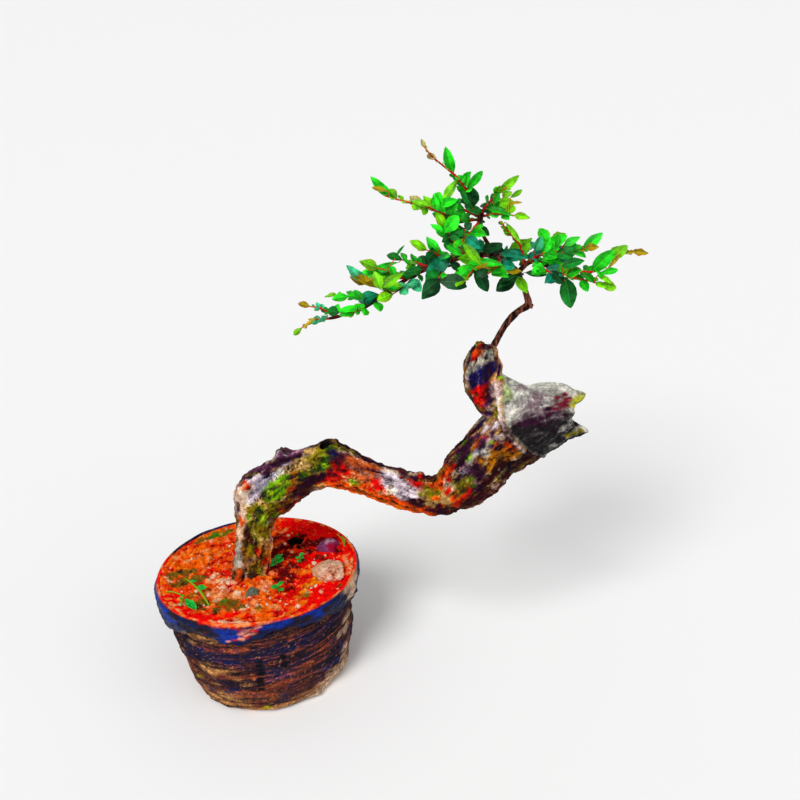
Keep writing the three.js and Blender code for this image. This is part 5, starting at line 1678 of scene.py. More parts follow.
@dataclass
class BladeSet:
    """The few shapes of leaf blade from which every leaf is taken, all one unit long and half wide."""

    thickness: float = 0.012
    rise: float = 0.28
    curl: float = 0.16
    columns: int = 5
    outlines: tuple[Rows, ...] = (
        ((0, 0.06), (0.1, 0.36), (0.24, 0.78), (0.42, 1.0), (0.62, 0.95), (0.8, 0.66), (0.93, 0.3)),
        ((0, 0.06), (0.1, 0.28), (0.26, 0.66), (0.48, 0.98), (0.68, 0.98), (0.86, 0.64), (0.96, 0.28)),
        ((0, 0.06), (0.1, 0.42), (0.22, 0.82), (0.38, 1.0), (0.58, 0.88), (0.78, 0.52), (0.93, 0.2)),
    )
    bends: tuple[Row, ...] = ((0.1, 0.02, 0.0), (0.22, 0.035, 0.1), (0.05, 0.05, -0.12), (0.3, 0.02, 0.05))

    def blade(self, name: str, outline: Rows, fold: float, wave: float, twist: float) -> bpy.types.Object:
        """One closed blade with a sharp edge, two skins that meet all round.

        Args:
            name: the object's name.
            outline: places along the blade, each with its share of the half width.
            fold: how far the halves rise from the midrib.
            wave: how far the edge waves up and down.
            twist: how far the tip is turned about the midrib.
        """
        count, wide = len(outline), self.columns
        side = np.linspace(-1, 1, wide)
        rows = []
        for u, share in outline:
            ripple = wave * math.sin(u * 14 + 3 * twist) * side**2
            height = fold * self.rise * np.abs(side) * share + ripple * share + twist * u * side * share
            rows.append(np.stack([side * share, np.full(wide, u), height - self.curl * u * u], 1))
        upper = np.array(rows)
        inner = upper[1:, 1:-1].reshape(-1, 3)
        total = count * wide
        tip = total + len(inner)

        def lower(row: int, column: int) -> int:
            """The corner of the lower skin, which shares the rim with the upper one."""
            if row == 0 or column in (0, wide - 1):
                return row * wide + column
            return total + (row - 1) * (wide - 2) + column - 1

        faces: list[tuple[int, ...]] = []
        for row in range(count):
            for column in range(wide - 1):
                a, b = row * wide + column, row * wide + column + 1
                below, beside = lower(row, column), lower(row, column + 1)
                if row == count - 1:
                    faces += [(a, b, tip), (beside, below, tip)]
                    continue
                faces.append((a, b, b + wide, a + wide))
                faces.append((beside, below, lower(row + 1, column), lower(row + 1, column + 1)))
        points = np.concatenate([upper.reshape(-1, 3), inner, [(0.0, 1.0, -self.curl)]])
        swelling = np.repeat([0.0] + [1.0] * (count - 1), wide) * np.tile(1 - side**2, count)
        points[:total, 2] += self.thickness * swelling
        form = Form(points / MM, faces, {
            "blade_u": points[:, 1],
            "blade_v": np.concatenate([np.tile(side, count), np.tile(side[1:-1], count - 1), [0.0]]),
            "upper": np.concatenate([np.ones(total), np.zeros(len(inner)), [0.5]]),
        })
        blade = form.object(name)
        rim = {tip, *range(wide), *range(0, total, wide), *range(wide - 1, total, wide)}
        for edge in blade.data.edges:
            edge.use_edge_sharp = set(edge.vertices) <= rim
        return blade

    def collection(self) -> bpy.types.Collection:
        """The blades as objects, in a collection that the scene doesn't show."""
        kinds = enumerate(product(self.outlines, self.bends))
        return hidden("blades", [
            self.blade(f"blade_{index:02d}", outline, *bend) for index, (outline, bend) in kinds
        ])


class Spray:
    """Geometry nodes that put a leaf blade on each point of a mesh."""

    def __init__(self, blades: BladeSet, finish: bpy.types.Material) -> None:
        """Builds the node tree once for all the shoots."""
        self.box = blades.collection()
        self.kinds = len(self.box.objects)
        self.finish = finish
        self.tree = instancing_tree("leaves on stems")

    def grown(self, name: str, leaves: Sequence[Leaf], seed: int) -> bpy.types.Object:
        """The leaves as one mesh.

        Args:
            name: the object's name.
            leaves: the leaves' frames.
            seed: starts the draws for each leaf's shape and tint.
        """
        draws = plain_draws(seed + 5000)
        rows = [
            (tuple(Matrix((leaf.across, leaf.along, leaf.out)).transposed().to_euler("XYZ")),
             (leaf.half * MM, leaf.length * MM, leaf.length * MM), int(next(draws) * self.kinds), next(draws))
            for leaf in leaves
        ]
        shades = [[0.75 + 0.5 * next(draws)] for _ in leaves]
        paint = np.array([leaf.green.value[:3] for leaf in leaves]) * shades
        points = Form(np.array([leaf.start for leaf in leaves]), [], {"paint": np.maximum(paint, 0.001)})
        host = points.object(name, outward=False)
        store_rows(host, rows)
        store(host, "age", "FLOAT", [leaf.age for leaf in leaves])
        return grown(host, self.tree, {"Shapes": self.box, "Finish": self.finish})

    def close(self) -> None:
        """Removes the blades once every shoot has its own."""
        clear(self.box)


def store(piece: bpy.types.Object, name: str, kind: str, values: Sequence) -> None:
    """Keeps one value for each corner of a piece's mesh."""
    layer = piece.data.attributes.new(name, kind, "POINT")
    key = "vector" if kind == "FLOAT_VECTOR" else "value"
    layer.data.foreach_set(key, np.array(values, int if kind == "INT" else np.float32).ravel())


def store_rows(piece: bpy.types.Object, rows: Sequence[tuple]) -> None:
    """Keeps a turn, stretch, kind and tint for each corner of a piece's mesh, one row a corner."""
    kinds = (("turn", "FLOAT_VECTOR"), ("stretch", "FLOAT_VECTOR"), ("kind", "INT"), ("tint", "FLOAT"))
    for (name, kind), column in zip(kinds, zip(*rows)):
        store(piece, name, kind, column)


def clear(box: bpy.types.Collection) -> None:
    """Removes a collection and the objects in it."""
    for shape in list(box.objects):
        bpy.data.objects.remove(shape)
    bpy.data.collections.remove(box)


def instancing_tree(name: str) -> bpy.types.NodeTree:
    """A tree that puts a shape from a collection on each corner and makes one mesh of them.

    The corners hold the values turn, stretch and kind.
    """
    tree = bpy.data.node_groups.new(name, "GeometryNodeTree")
    for label, kind in (("Geometry", "Geometry"), ("Shapes", "Collection"), ("Finish", "Material")):
        tree.interface.new_socket(label, in_out="INPUT", socket_type=f"NodeSocket{kind}")
    tree.interface.new_socket("Geometry", in_out="OUTPUT", socket_type="NodeSocketGeometry")
    add, link = tree.nodes.new, tree.links.new
    source, result = add("NodeGroupInput"), add("NodeGroupOutput")
    shapes = add("GeometryNodeCollectionInfo")
    shapes.inputs["Separate Children"].default_value = True
    shapes.inputs["Reset Children"].default_value = True
    instances = add("GeometryNodeInstanceOnPoints")
    instances.inputs["Pick Instance"].default_value = True
    realize, finish = add("GeometryNodeRealizeInstances"), add("GeometryNodeSetMaterial")
    for label, kind, socket in (
        ("turn", "FLOAT_VECTOR", "Rotation"), ("stretch", "FLOAT_VECTOR", "Scale"),
        ("kind", "INT", "Instance Index"),
    ):
        named = add("GeometryNodeInputNamedAttribute")
        named.data_type = kind
        named.inputs["Name"].default_value = label
        link(named.outputs["Attribute"], instances.inputs[socket])
    link(source.outputs["Geometry"], instances.inputs["Points"])
    link(source.outputs["Shapes"], shapes.inputs["Collection"])
    link(shapes.outputs[0], instances.inputs["Instance"])
    link(instances.outputs[0], realize.inputs[0])
    link(realize.outputs[0], finish.inputs["Geometry"])
    link(source.outputs["Finish"], finish.inputs["Material"])
    link(finish.outputs[0], result.inputs[0])
    return tree


def grown(host: bpy.types.Object, tree: bpy.types.NodeTree, inputs: dict) -> bpy.types.Object:
    """The mesh that a node tree makes of an object, as a plain object of the same name.

    Args:
        host: the object that the tree starts from. It is removed.
        tree: the node tree.
        inputs: a value for each input, by name.
    """
    name = host.name
    modifier = host.modifiers.new("growth", "NODES")
    modifier.node_group = tree
    for item in tree.interface.items_tree:
        if item.item_type == "SOCKET" and item.in_out == "INPUT" and item.name in inputs:
            modifier[item.identifier] = inputs[item.name]
    graph = bpy.context.evaluated_depsgraph_get()
    mesh = bpy.data.meshes.new_from_object(
        host.evaluated_get(graph), preserve_all_data_layers=True, depsgraph=graph
    )
    host.modifiers.clear()
    bpy.data.objects.remove(host)
    mesh.name = name
    return shown(name, mesh)


@dataclass(frozen=True)
class LeafFinish:
    """Crape myrtle leaves: each in its own green, with a paler rib and back, blushing young edges, and
    painted shading that lightens one half and darkens the foot.
    """

    blush: Row = rgb(0.6, 0.05, 0.005)
    lift: Row = rgb(0.02, 0.045, 0.01)
    veins: float = 24.0

    def material(self) -> bpy.types.Material:
        """Builds the material from each leaf's paint and the blades' own coordinates."""
        sheet = Sheet("leaf")
        spot = sheet.spot()
        patchy, fine = sheet.grain(spot, 6, 4, 0.65), sheet.grain(spot, 1.5, 4)
        paint = sheet.paint()
        u = sheet.value("blade_u")
        side = sheet.math("ABSOLUTE", sheet.value("blade_v"))
        # Painted light and shade: one half of each blade lighter, darker towards its foot.
        fold = sheet.times(
            sheet.ramp(sheet.value("blade_v"), -0.1, 0.1, 0.75, 1.2), sheet.ramp(u, 0, 0.5, 0.6, 1.1)
        )
        shade = sheet.times(sheet.ramp(patchy, *GRAIN, 0.55, 1.4), fold)
        colour = sheet.mix(1.0, paint, shade, "MULTIPLY")
        slant = sheet.math("MULTIPLY_ADD", side, -0.16, u)
        veins = sheet.math("ABSOLUTE", sheet.math("SINE", sheet.times(slant, self.veins)))
        pale = sheet.mix(1.0, sheet.mix(1.0, paint, rgb(1.5, 1.5, 1.5), "MULTIPLY"), self.lift, "ADD")
        vein = sheet.times(sheet.ramp(veins, 0.22, 0.0), sheet.ramp(side, 0.95, 0.5, 0.0, 0.35))
        colour = sheet.mix(vein, colour, pale)
        colour = sheet.mix(sheet.ramp(side, 0.1, 0.02, 0.0, 0.8), colour, pale)
        edge = sheet.times(sheet.ramp(side, 0.7, 1.0), sheet.ramp(sheet.value("age"), 0.3, 0.05, 0.0, 0.6))
        colour = sheet.mix(edge, colour, self.blush)
        colour = sheet.mix(sheet.ramp(sheet.value("upper"), 0.0, 1.0, 0.5, 0.0), colour, pale)
        rough = sheet.ramp(fine, *GRAIN, 0.35, 0.5)
        return sheet.surface(colour, rough, 0.12, (veins, 0.25, 0.25), (fine, 0.1, 0.35))


@dataclass(frozen=True)
class StemFinish:
    """Young stems, brown at the foot and bright red towards the tip."""

    foot: Row = rgb(0.16, 0.03, 0.012)
    red: Row = rgb(0.7, 0.004, 0.01)
    tip: Row = rgb(0.6, 0.16, 0.02)
    old: Row = rgb(0.025, 0.006, 0.003)

    def material(self, old: bool) -> bpy.types.Material:
        """Builds the material.

        Args:
            old: whether the stem has turned woody all along.
        """
        sheet = Sheet("stem")
        grain = sheet.grain(sheet.spot((1, 1, 0.4)), 2.5)
        middle = self.old if old else self.red
        colour = sheet.colours(
            sheet.value("tip"), (0.0, self.foot), (0.25, middle), (0.8, middle), (1.0, self.tip)
        )
        colour = sheet.mix(sheet.ramp(grain, 0.55, 0.7, 0.0, 0.5), colour, self.foot)
        return sheet.surface(colour, 0.5, 0.1, (grain, 0.2, 0.4))


class Smear(Enum):
    """What colours the bag's film in places, a painted blue sheen and painted shadow among them."""

    INK = rgb(0.012, 0.007, 0.012)
    NAVY = rgb(0.006, 0.01, 0.045)
    UMBER = rgb(0.07, 0.023, 0.02)
    RUST = rgb(0.26, 0.07, 0.04)
    SAND = rgb(0.36, 0.19, 0.09)
    TAUPE = rgb(0.44, 0.31, 0.22)
    # Painted sheen: the bright blue that the glossy cuff reflects.
    BLUE = rgb(0.005, 0.04, 0.24)
    PINK = rgb(0.85, 0.33, 0.24)
    BLOOD = rgb(0.5, 0.012, 0.012)
    LIME = rgb(0.3, 0.28, 0.02)
    TEAR = rgb(0.002, 0.002, 0.004)


# Where each smear is seen from the studio's viewpoint: across, down, and its reach in millimetres.
# The blue rows paint the cuff's sheen; some ink rows paint the shadow under the cuff's left edge.
BAG_PATCHES = {
    Smear.NAVY: (
        (190, 648, 4), (199, 656, 5), (186, 656, 4), (212, 660, 5), (226, 665, 5), (241, 661, 6),
        (254, 657, 5), (240, 668, 4), (271, 672, 8), (280, 677, 8), (285, 669, 7), (280, 652, 5),
        (291, 649, 6), (302, 641, 6), (318, 640, 5), (336, 640, 5), (329, 660, 6), (304, 661, 5),
        (293, 685, 5), (279, 690, 5), (228, 685, 4), (219, 682, 3), (234, 690, 4), (283, 701, 4),
        (289, 695, 4), (250, 640, 5), (264, 638, 5), (201, 648, 3), (344, 645, 4), (338, 660, 4),
        (330, 669, 4), (349, 630, 3), (322, 677, 3), (312, 655, 4), (262, 662, 5),
    ),
    Smear.UMBER: (
        (270, 645, 5), (320, 634, 5), (313, 650, 4), (307, 671, 5), (300, 670, 4), (242, 676, 4),
        (212, 678, 4), (192, 665, 4), (206, 683, 5), (217, 693, 5), (248, 696, 6), (262, 706, 5),
        (254, 703, 5), (284, 683, 5), (270, 688, 5), (262, 695, 4), (290, 631, 4), (280, 634, 5),
        (302, 629, 5), (296, 660, 3), (305, 683, 5), (298, 692, 5), (320, 662, 4), (240, 652, 4),
        (228, 652, 3),
    ),
    Smear.RUST: (
        (219, 647, 3), (230, 654, 3), (244, 649, 3), (272, 664, 3), (250, 665, 2.4), (282, 664, 2.4),
        (201, 634, 3), (284, 683, 3), (270, 687, 3), (244, 679, 4), (253, 678, 3), (262, 648, 2),
        (292, 640, 2), (236, 672, 4), (270, 697, 4), (286, 660, 2), (300, 648, 2), (310, 664, 3),
        (205, 646, 2.4),
    ),
    Smear.SAND: (
        (190, 636, 5), (201, 638, 5), (210, 641, 4), (190, 643, 3), (184, 634, 3), (199, 663, 2),
        (208, 666, 4), (219, 670, 5), (208, 672, 5), (229, 672, 4), (197, 674, 4), (202, 668, 3),
        (224, 696, 5), (234, 699, 6), (235, 680, 4), (241, 705, 4), (257, 711, 4), (271, 710, 4),
        (246, 686, 3), (291, 705, 5), (302, 704, 5), (311, 701, 4), (216, 686, 3), (206, 690, 3),
        (248, 709, 4), (226, 704, 4), (213, 697, 4), (280, 709, 4), (188, 664, 3), (182, 650, 2.4),
    ),
    Smear.TAUPE: (
        (340, 668, 7), (345, 656, 6), (334, 677, 7), (326, 686, 7), (317, 696, 6), (325, 693, 6),
        (309, 701, 5), (347, 627, 4), (346, 618, 4), (349, 612, 3), (341, 634, 3), (350, 586, 5),
        (356, 576, 4), (355, 588, 4), (352, 596, 4), (357, 568, 3), (337, 683, 6), (345, 664, 6),
        (348, 648, 4), (331, 690, 5),
    ),
    Smear.BLUE: (
        (155, 588, 3), (156, 594, 4), (160, 607, 4), (165, 612, 4), (168, 619, 5), (173, 622, 3),
        (155, 600, 3), (215, 631, 3), (220, 633, 4), (225, 634, 5), (231, 635, 5), (222, 639, 4),
        (228, 639, 4), (235, 637, 4), (224, 644, 3), (275, 625, 3), (280, 626, 3), (285, 622, 4),
        (290, 620, 3), (311, 616, 4), (318, 614, 4), (322, 614, 3), (262, 630, 3), (268, 628, 3),
        (302, 617, 2.4), (350, 625, 2), (344, 646, 2), (338, 661, 2), (330, 669, 2), (190, 626, 3),
        (178, 621, 2),
    ),
    # Ink black: the film's own, and painted shadow along the cuff's lower left edge.
    Smear.INK: (
        (257, 641, 3), (264, 634, 4), (340, 607, 4), (333, 608, 4), (298, 621, 3), (182, 626, 4),
        (190, 630, 4), (173, 614, 3), (200, 631, 4), (344, 604, 4), (357, 602, 3), (358, 592, 2),
        (207, 628, 3), (328, 630, 3), (297, 613, 2.4), (160, 598, 2), (336, 650, 3), (170, 617, 4),
        (177, 622, 5), (184, 626, 6), (192, 633, 6), (200, 635, 5), (209, 633, 4), (300, 621, 5),
        (308, 619, 4), (294, 626, 4), (326, 611, 4), (335, 612, 5), (346, 600, 4), (272, 635, 4),
        (284, 631, 4),
    ),
    Smear.PINK: (
        (212, 622, 4), (220, 623, 4), (228, 623, 4), (236, 624, 4), (244, 625, 3), (205, 620, 3),
        (244, 636, 3), (249, 634, 3), (241, 640, 2), (228, 642, 1.6), (252, 630, 2), (258, 629, 2),
        (222, 646, 1.4), (246, 631, 2),
    ),
    Smear.BLOOD: (
        (253, 632, 2), (240, 629, 2.4), (232, 628, 2), (222, 627, 2), (212, 626, 2.4), (200, 624, 2),
        (248, 638, 1.4), (234, 641, 1.4), (248, 628, 2),
    ),
    Smear.LIME: ((268, 708, 2.4), (265, 710, 2), (198, 677, 2)),
}
# Folds that stand out of the bag's wall: how far, angle and width in radians, height and half height.
BAG_BULGES = (
    (2.5, 3.86, 0.05, 26, 6), (4, 3.5, 0.35, 60, 17), (5, 5.85, 0.35, 40, 22), (3.5, 5.38, 0.06, 4, 5),
)
# Tears through the mud, each from one point of the picture to another, with its half width.
BAG_TEARS = (((260, 664), (262, 690), 2), ((284, 656), (285, 668), 1.6))


@dataclass
class Bag:
    """The nursery bag: thin black film, creased round its sides, with its rim folded down outside."""

    height: float = 120.0
    radii: Row = (89.5, 91, 91.5, 91.5, 92.5, 95, 99.5)
    base_oval: float = -2.5
    rim_oval: float = 6.2
    shift: float = 1.0
    base: float = 81.0
    film: float = 0.7
    cuff_depth: float = 17.0
    sides: int = 400
    body_rows: int = 118
    cuff_rows: int = 16
    finish: Finish = Finish("bag film", 2.2, (0.55, 1.5), (0.35, 0.55), (0.6, 0.3), 0.08)

    def radius(self, angle: np.ndarray, height: np.ndarray | float) -> np.ndarray:
        """The smooth radius of the outer wall, as the solid has it."""
        rise = np.clip(np.asarray(height) / self.height, 0, 1)
        mean = np.interp(rise, np.linspace(0, 1, len(self.radii)), self.radii)
        return mean + (self.base_oval + (self.rim_oval - self.base_oval) * rise) * np.cos(2 * angle)

    def spread(self, radius: np.ndarray, angle: np.ndarray, height: np.ndarray | float) -> np.ndarray:
        """Places at a radius, angle and height about the bag's leaning axis."""
        height = np.broadcast_to(height, angle.shape)
        lean = self.shift * (1 - np.clip(height / self.height, 0, 1))
        return np.stack([lean + radius * np.cos(angle), radius * np.sin(angle), height], -1)

    def cuff_foot(self, angle: np.ndarray) -> np.ndarray:
        """The height of the folded cuff's ragged lower edge."""
        ragged = 2.5 * np.sin(angle * 7 + 1) + 1.6 * np.sin(angle * 13 + 2) + 1.1 * np.sin(angle * 29)
        lobes = 22 * bump(angle, 3.33, 0.55) + 11 * bump(angle, -0.25, 0.4) + 9 * bump(angle, 4.555, 0.2)
        torn = 3.5 * bump(angle, -0.2, 0.06) + 3 * bump(angle, 3.5, 0.05) - 3 * bump(angle, 3.75, 0.07)
        return self.height - self.cuff_depth - ragged - lobes - torn + 4.5 * bump(angle, 5.2, 0.35)

    def cuff_flare(self, angle: np.ndarray) -> np.ndarray:
        """How far the cuff stands off the wall."""
        lobes = 6.5 * bump(angle, 3.39, 0.5) + 3.5 * bump(angle, -0.25, 0.45)
        return 3.0 + lobes + 0.9 * np.sin(angle * 5 + 0.4) + 3 * bump(angle, -0.3, 0.05)

    def band(self, spots: np.ndarray) -> np.ndarray:
        """Height measured along the creases, which climb a little to the right."""
        return spots[:, 2] - 0.07 * spots[:, 0] + 0.05 * spots[:, 1]

    def creasing(self, angle: np.ndarray, height: float, calm: np.ndarray) -> np.ndarray:
        """How far the film's creases push the wall out at one height.

        Args:
            angle: the angles round the bag.
            height: the height of the ring.
            calm: 0 where the film is left smooth, 1 where it creases fully.
        """
        slow = 1.1 * np.sin(height * 0.42 + 1.6 * np.sin(angle * 2 + 0.6) + 0.9 * np.sin(angle * 5))
        spots = self.spread(self.radius(angle, height), angle, height)
        drawn = np.stack([spots[:, 0] * 0.16, spots[:, 1] * 0.16, self.band(spots)], 1)
        sharp = creases(drawn, 12, 2, 4.0) ** 2 - 0.25
        fine = creases(drawn, 6, 2, 8.0) - 0.4
        dents = unevenness(spots, 42, 2, 2.0)
        lift = 0.5 * slow * (0.6 + 0.4 * np.sin(angle * 3 + 1)) + 1.9 * sharp + 1.1 * fine + 2.2 * dents
        bulges = sum(
            out * bump(angle, centre, wide) * math.exp(-(((height - level) / tall) ** 2))
            for out, centre, wide, level, tall in BAG_BULGES
        )
        return np.clip(lift * calm, -1.1, 3.2) + bulges

    def rings(self) -> list[tuple[np.ndarray, float]]:
        """The shell's rings, from the foot up, over the cuff and down inside, each with its cuff share."""
        angle = around(self.sides)
        foot = self.cuff_foot(angle)
        rings = [
            (self.spread(np.full(self.sides, share * self.base), angle, 0), 0.0) for share in (0.3, 0.7, 1.0)
        ]
        for row in range(self.body_rows):
            height = 0.5 + 117 * (row / (self.body_rows - 1))
            tucked = ease(foot - 4, foot + 3, height)
            round_off = 5.5 * (1 - min(height / 9, 1)) ** 2
            wall = self.radius(angle, height) - round_off + self.creasing(angle, height, 1 - tucked)
            rings.append((self.spread(wall - 0.4 * tucked, angle, height), 0.0))
        shares = np.linspace(0, 1, self.cuff_rows)
        for face, order in ((-self.film, shares[-2::-1]), (0.0, shares)):
            for share in order:
                height = foot + (self.height - foot) * share
                spots = self.spread(self.radius(angle, height), angle, height)
                off = np.interp(share, (0, 0.35, 0.8, 1), (1, 1.15, 0.8, 0.1)) * self.cuff_flare(angle)
                crumple = 1.5 * unevenness(spots, 15, 3, 6.0) + 0.9 * creases(spots, 9, 2, 3.0)
                off = np.maximum(off + crumple * (1 - share**3), 1.0) + face
                rings.append((self.spread(self.radius(angle, height) + off, angle, height), 1.0))
        lip = self.height + 0.8 * np.sin(angle * 3) + 0.9 * np.sin(angle * 11 + 1) * bump(angle, 2.2, 1.2)
        for inset, drop, cuff in ((0.6, -0.5, 1.0), (1.2, -0.5, 0.6), (1.8, 0.6, 0.3)):
            rings.append((self.spread(self.radius(angle, self.height) - inset, angle, lip - drop), cuff))
        for height, inset in ((114, 1.9), (100, 1.9), (70, 1.9), (40, 1.9), (10, 2.6), (3, 7)):
            rings.append((self.spread(self.radius(angle, height) - inset, angle, height), 0.0))
        return rings

    def paint(self, form: Form, cuff: np.ndarray) -> None:
        """Paints the film: navy black streaked with mud and sand along its creases, with a painted blue
        sheen on the cuff and painted shadow under it.

        Args:
            form: the film.
            cuff: 1 on the folded cuff.
        """
        x, y, z = form.points.T
        angle = np.arctan2(y, x)
        band = self.band(form.points)
        flow = np.stack([x * 0.1, y * 0.1, band], 1)
        canvas = Canvas(form, flow, np.stack([-np.sin(angle), np.cos(angle), 0 * angle], 1), 0.45)
        tone, mottle = unevenness(flow, 14, 4, 13.0), unevenness(form.points, 22, 3, 17.0)
        lines = ease(0.75, 0.97, creases(flow, 7, 2, 21.0))
        thread = unevenness(flow * (0.5, 0.5, 1), 2.6, 3, 29.0)
        lean = self.shift * (1 - np.clip(z / self.height, 0, 1))
        lip = ease(1.4, 0.4, np.hypot(x - lean, y) - self.radius(angle, z)) * ease(116, 118.5, z)
        canvas.lay(1.0, Smear.INK, 0)
        canvas.lay(ease(0.0, 0.5, mottle + 0.5 * tone) * 0.8, Smear.UMBER)
        canvas.lay(ease(70, 5, z + 30 * tone) * 0.7, Smear.UMBER)
        canvas.lay(ease(34, -4, z + 24 * tone) * 0.6, Smear.SAND)
        canvas.lay(ease(0.1, 0.55, -tone) * 0.7, Smear.NAVY)
        canvas.lay(cuff, Smear.NAVY, 0)
        # Painted sheen: blue laid over part of the cuff.
        canvas.lay(cuff * ease(0.2, 0.6, tone) * 0.5, Smear.BLUE)
        canvas.lay(cuff * ease(0.0, 0.5, -mottle) * 0.7, Smear.INK)
        laid = canvas.patches(BAG_PATCHES, 1 - 0.25 * (1 - cuff), 0.7)
        canvas.lay(lines * (1 - cuff) * 0.8, Smear.INK, 0.4)
        canvas.lay(ease(0.2, 0.6, thread) * (1 - cuff) * 0.5, Smear.RUST, 0)
        canvas.lay(ease(0.1, 0.5, -thread) * (1 - 0.6 * cuff) * 0.75, Smear.INK, 0)
        flecks = ease(0.4, 0.75, unevenness(form.points, 2.0, 2, 41.0))
        canvas.lay(flecks * (1 - cuff) * 0.4, Smear.SAND, 0)
        canvas.lay(laid[Smear.TAUPE] * 0.9, Smear.TAUPE, 0.35)
        soiled = lip * (1 - ease(0.2, 0.6, bump(angle, 2.3, 0.6)))
        canvas.lay(soiled * 1.2, Earth.ORANGE, 0.1)
        canvas.lay(soiled * ease(-0.1, 0.2, canvas.blotch), Earth.SCARLET, 0)
        canvas.lay(soiled * ease(0.1, 0.4, -canvas.blotch), Earth.SALMON, 0)
        for start, end, wide in BAG_TEARS:
            for share in np.linspace(0, 1, 8):
                across, down = np.array(start) + (np.array(end) - start) * share
                canvas.lay(ease(1.3, 0.7, canvas.near(across, down, wide)), Smear.TEAR, 0)
        canvas.finish(2.0, 0.8 - 0.35 * cuff)
        form.values["dull"] = 0.3 * (1 - cuff) * (1 - 0.6 * laid[Smear.NAVY])

    def build(self) -> None:
        """Makes the bag in place of its solid."""
        rings = self.rings()
        ends = np.array(((self.shift, 0, 0), (self.shift, 0, 3)))
        form = capped(np.array([ring for ring, _ in rings]), *ends)
        cuff = np.repeat([share for _, share in rings], self.sides)
        self.paint(form, np.append(cuff, [0.0, 0.0]))
        placed(form.object("bag_film", self.finish.material()), "bag_film", "grow_bag")


class Earth(Enum):
    """What colours the soil in places, painted shadow and shade among them."""

    RED = rgb(0.55, 0.03, 0.012)
    ORANGE = rgb(0.88, 0.19, 0.06)
    AMBER = rgb(0.72, 0.25, 0.02)
    SALMON = rgb(0.85, 0.33, 0.18)
    CREAM = rgb(0.85, 0.58, 0.42)
    SCARLET = rgb(0.92, 0.007, 0.005)
    OLIVE = rgb(0.2, 0.11, 0.008)
    GREEN = rgb(0.03, 0.16, 0.006)
    # Painted shadow: dark maroon beside and behind the trunk and in the cracks.
    MAROON = rgb(0.1, 0.0, 0.01)
    UMBER = rgb(0.035, 0.018, 0.004)
    # Near black: painted shade in the pit.
    PITCH = rgb(0.002, 0.006, 0.004)
    STONE = rgb(0.3, 0.32, 0.26)


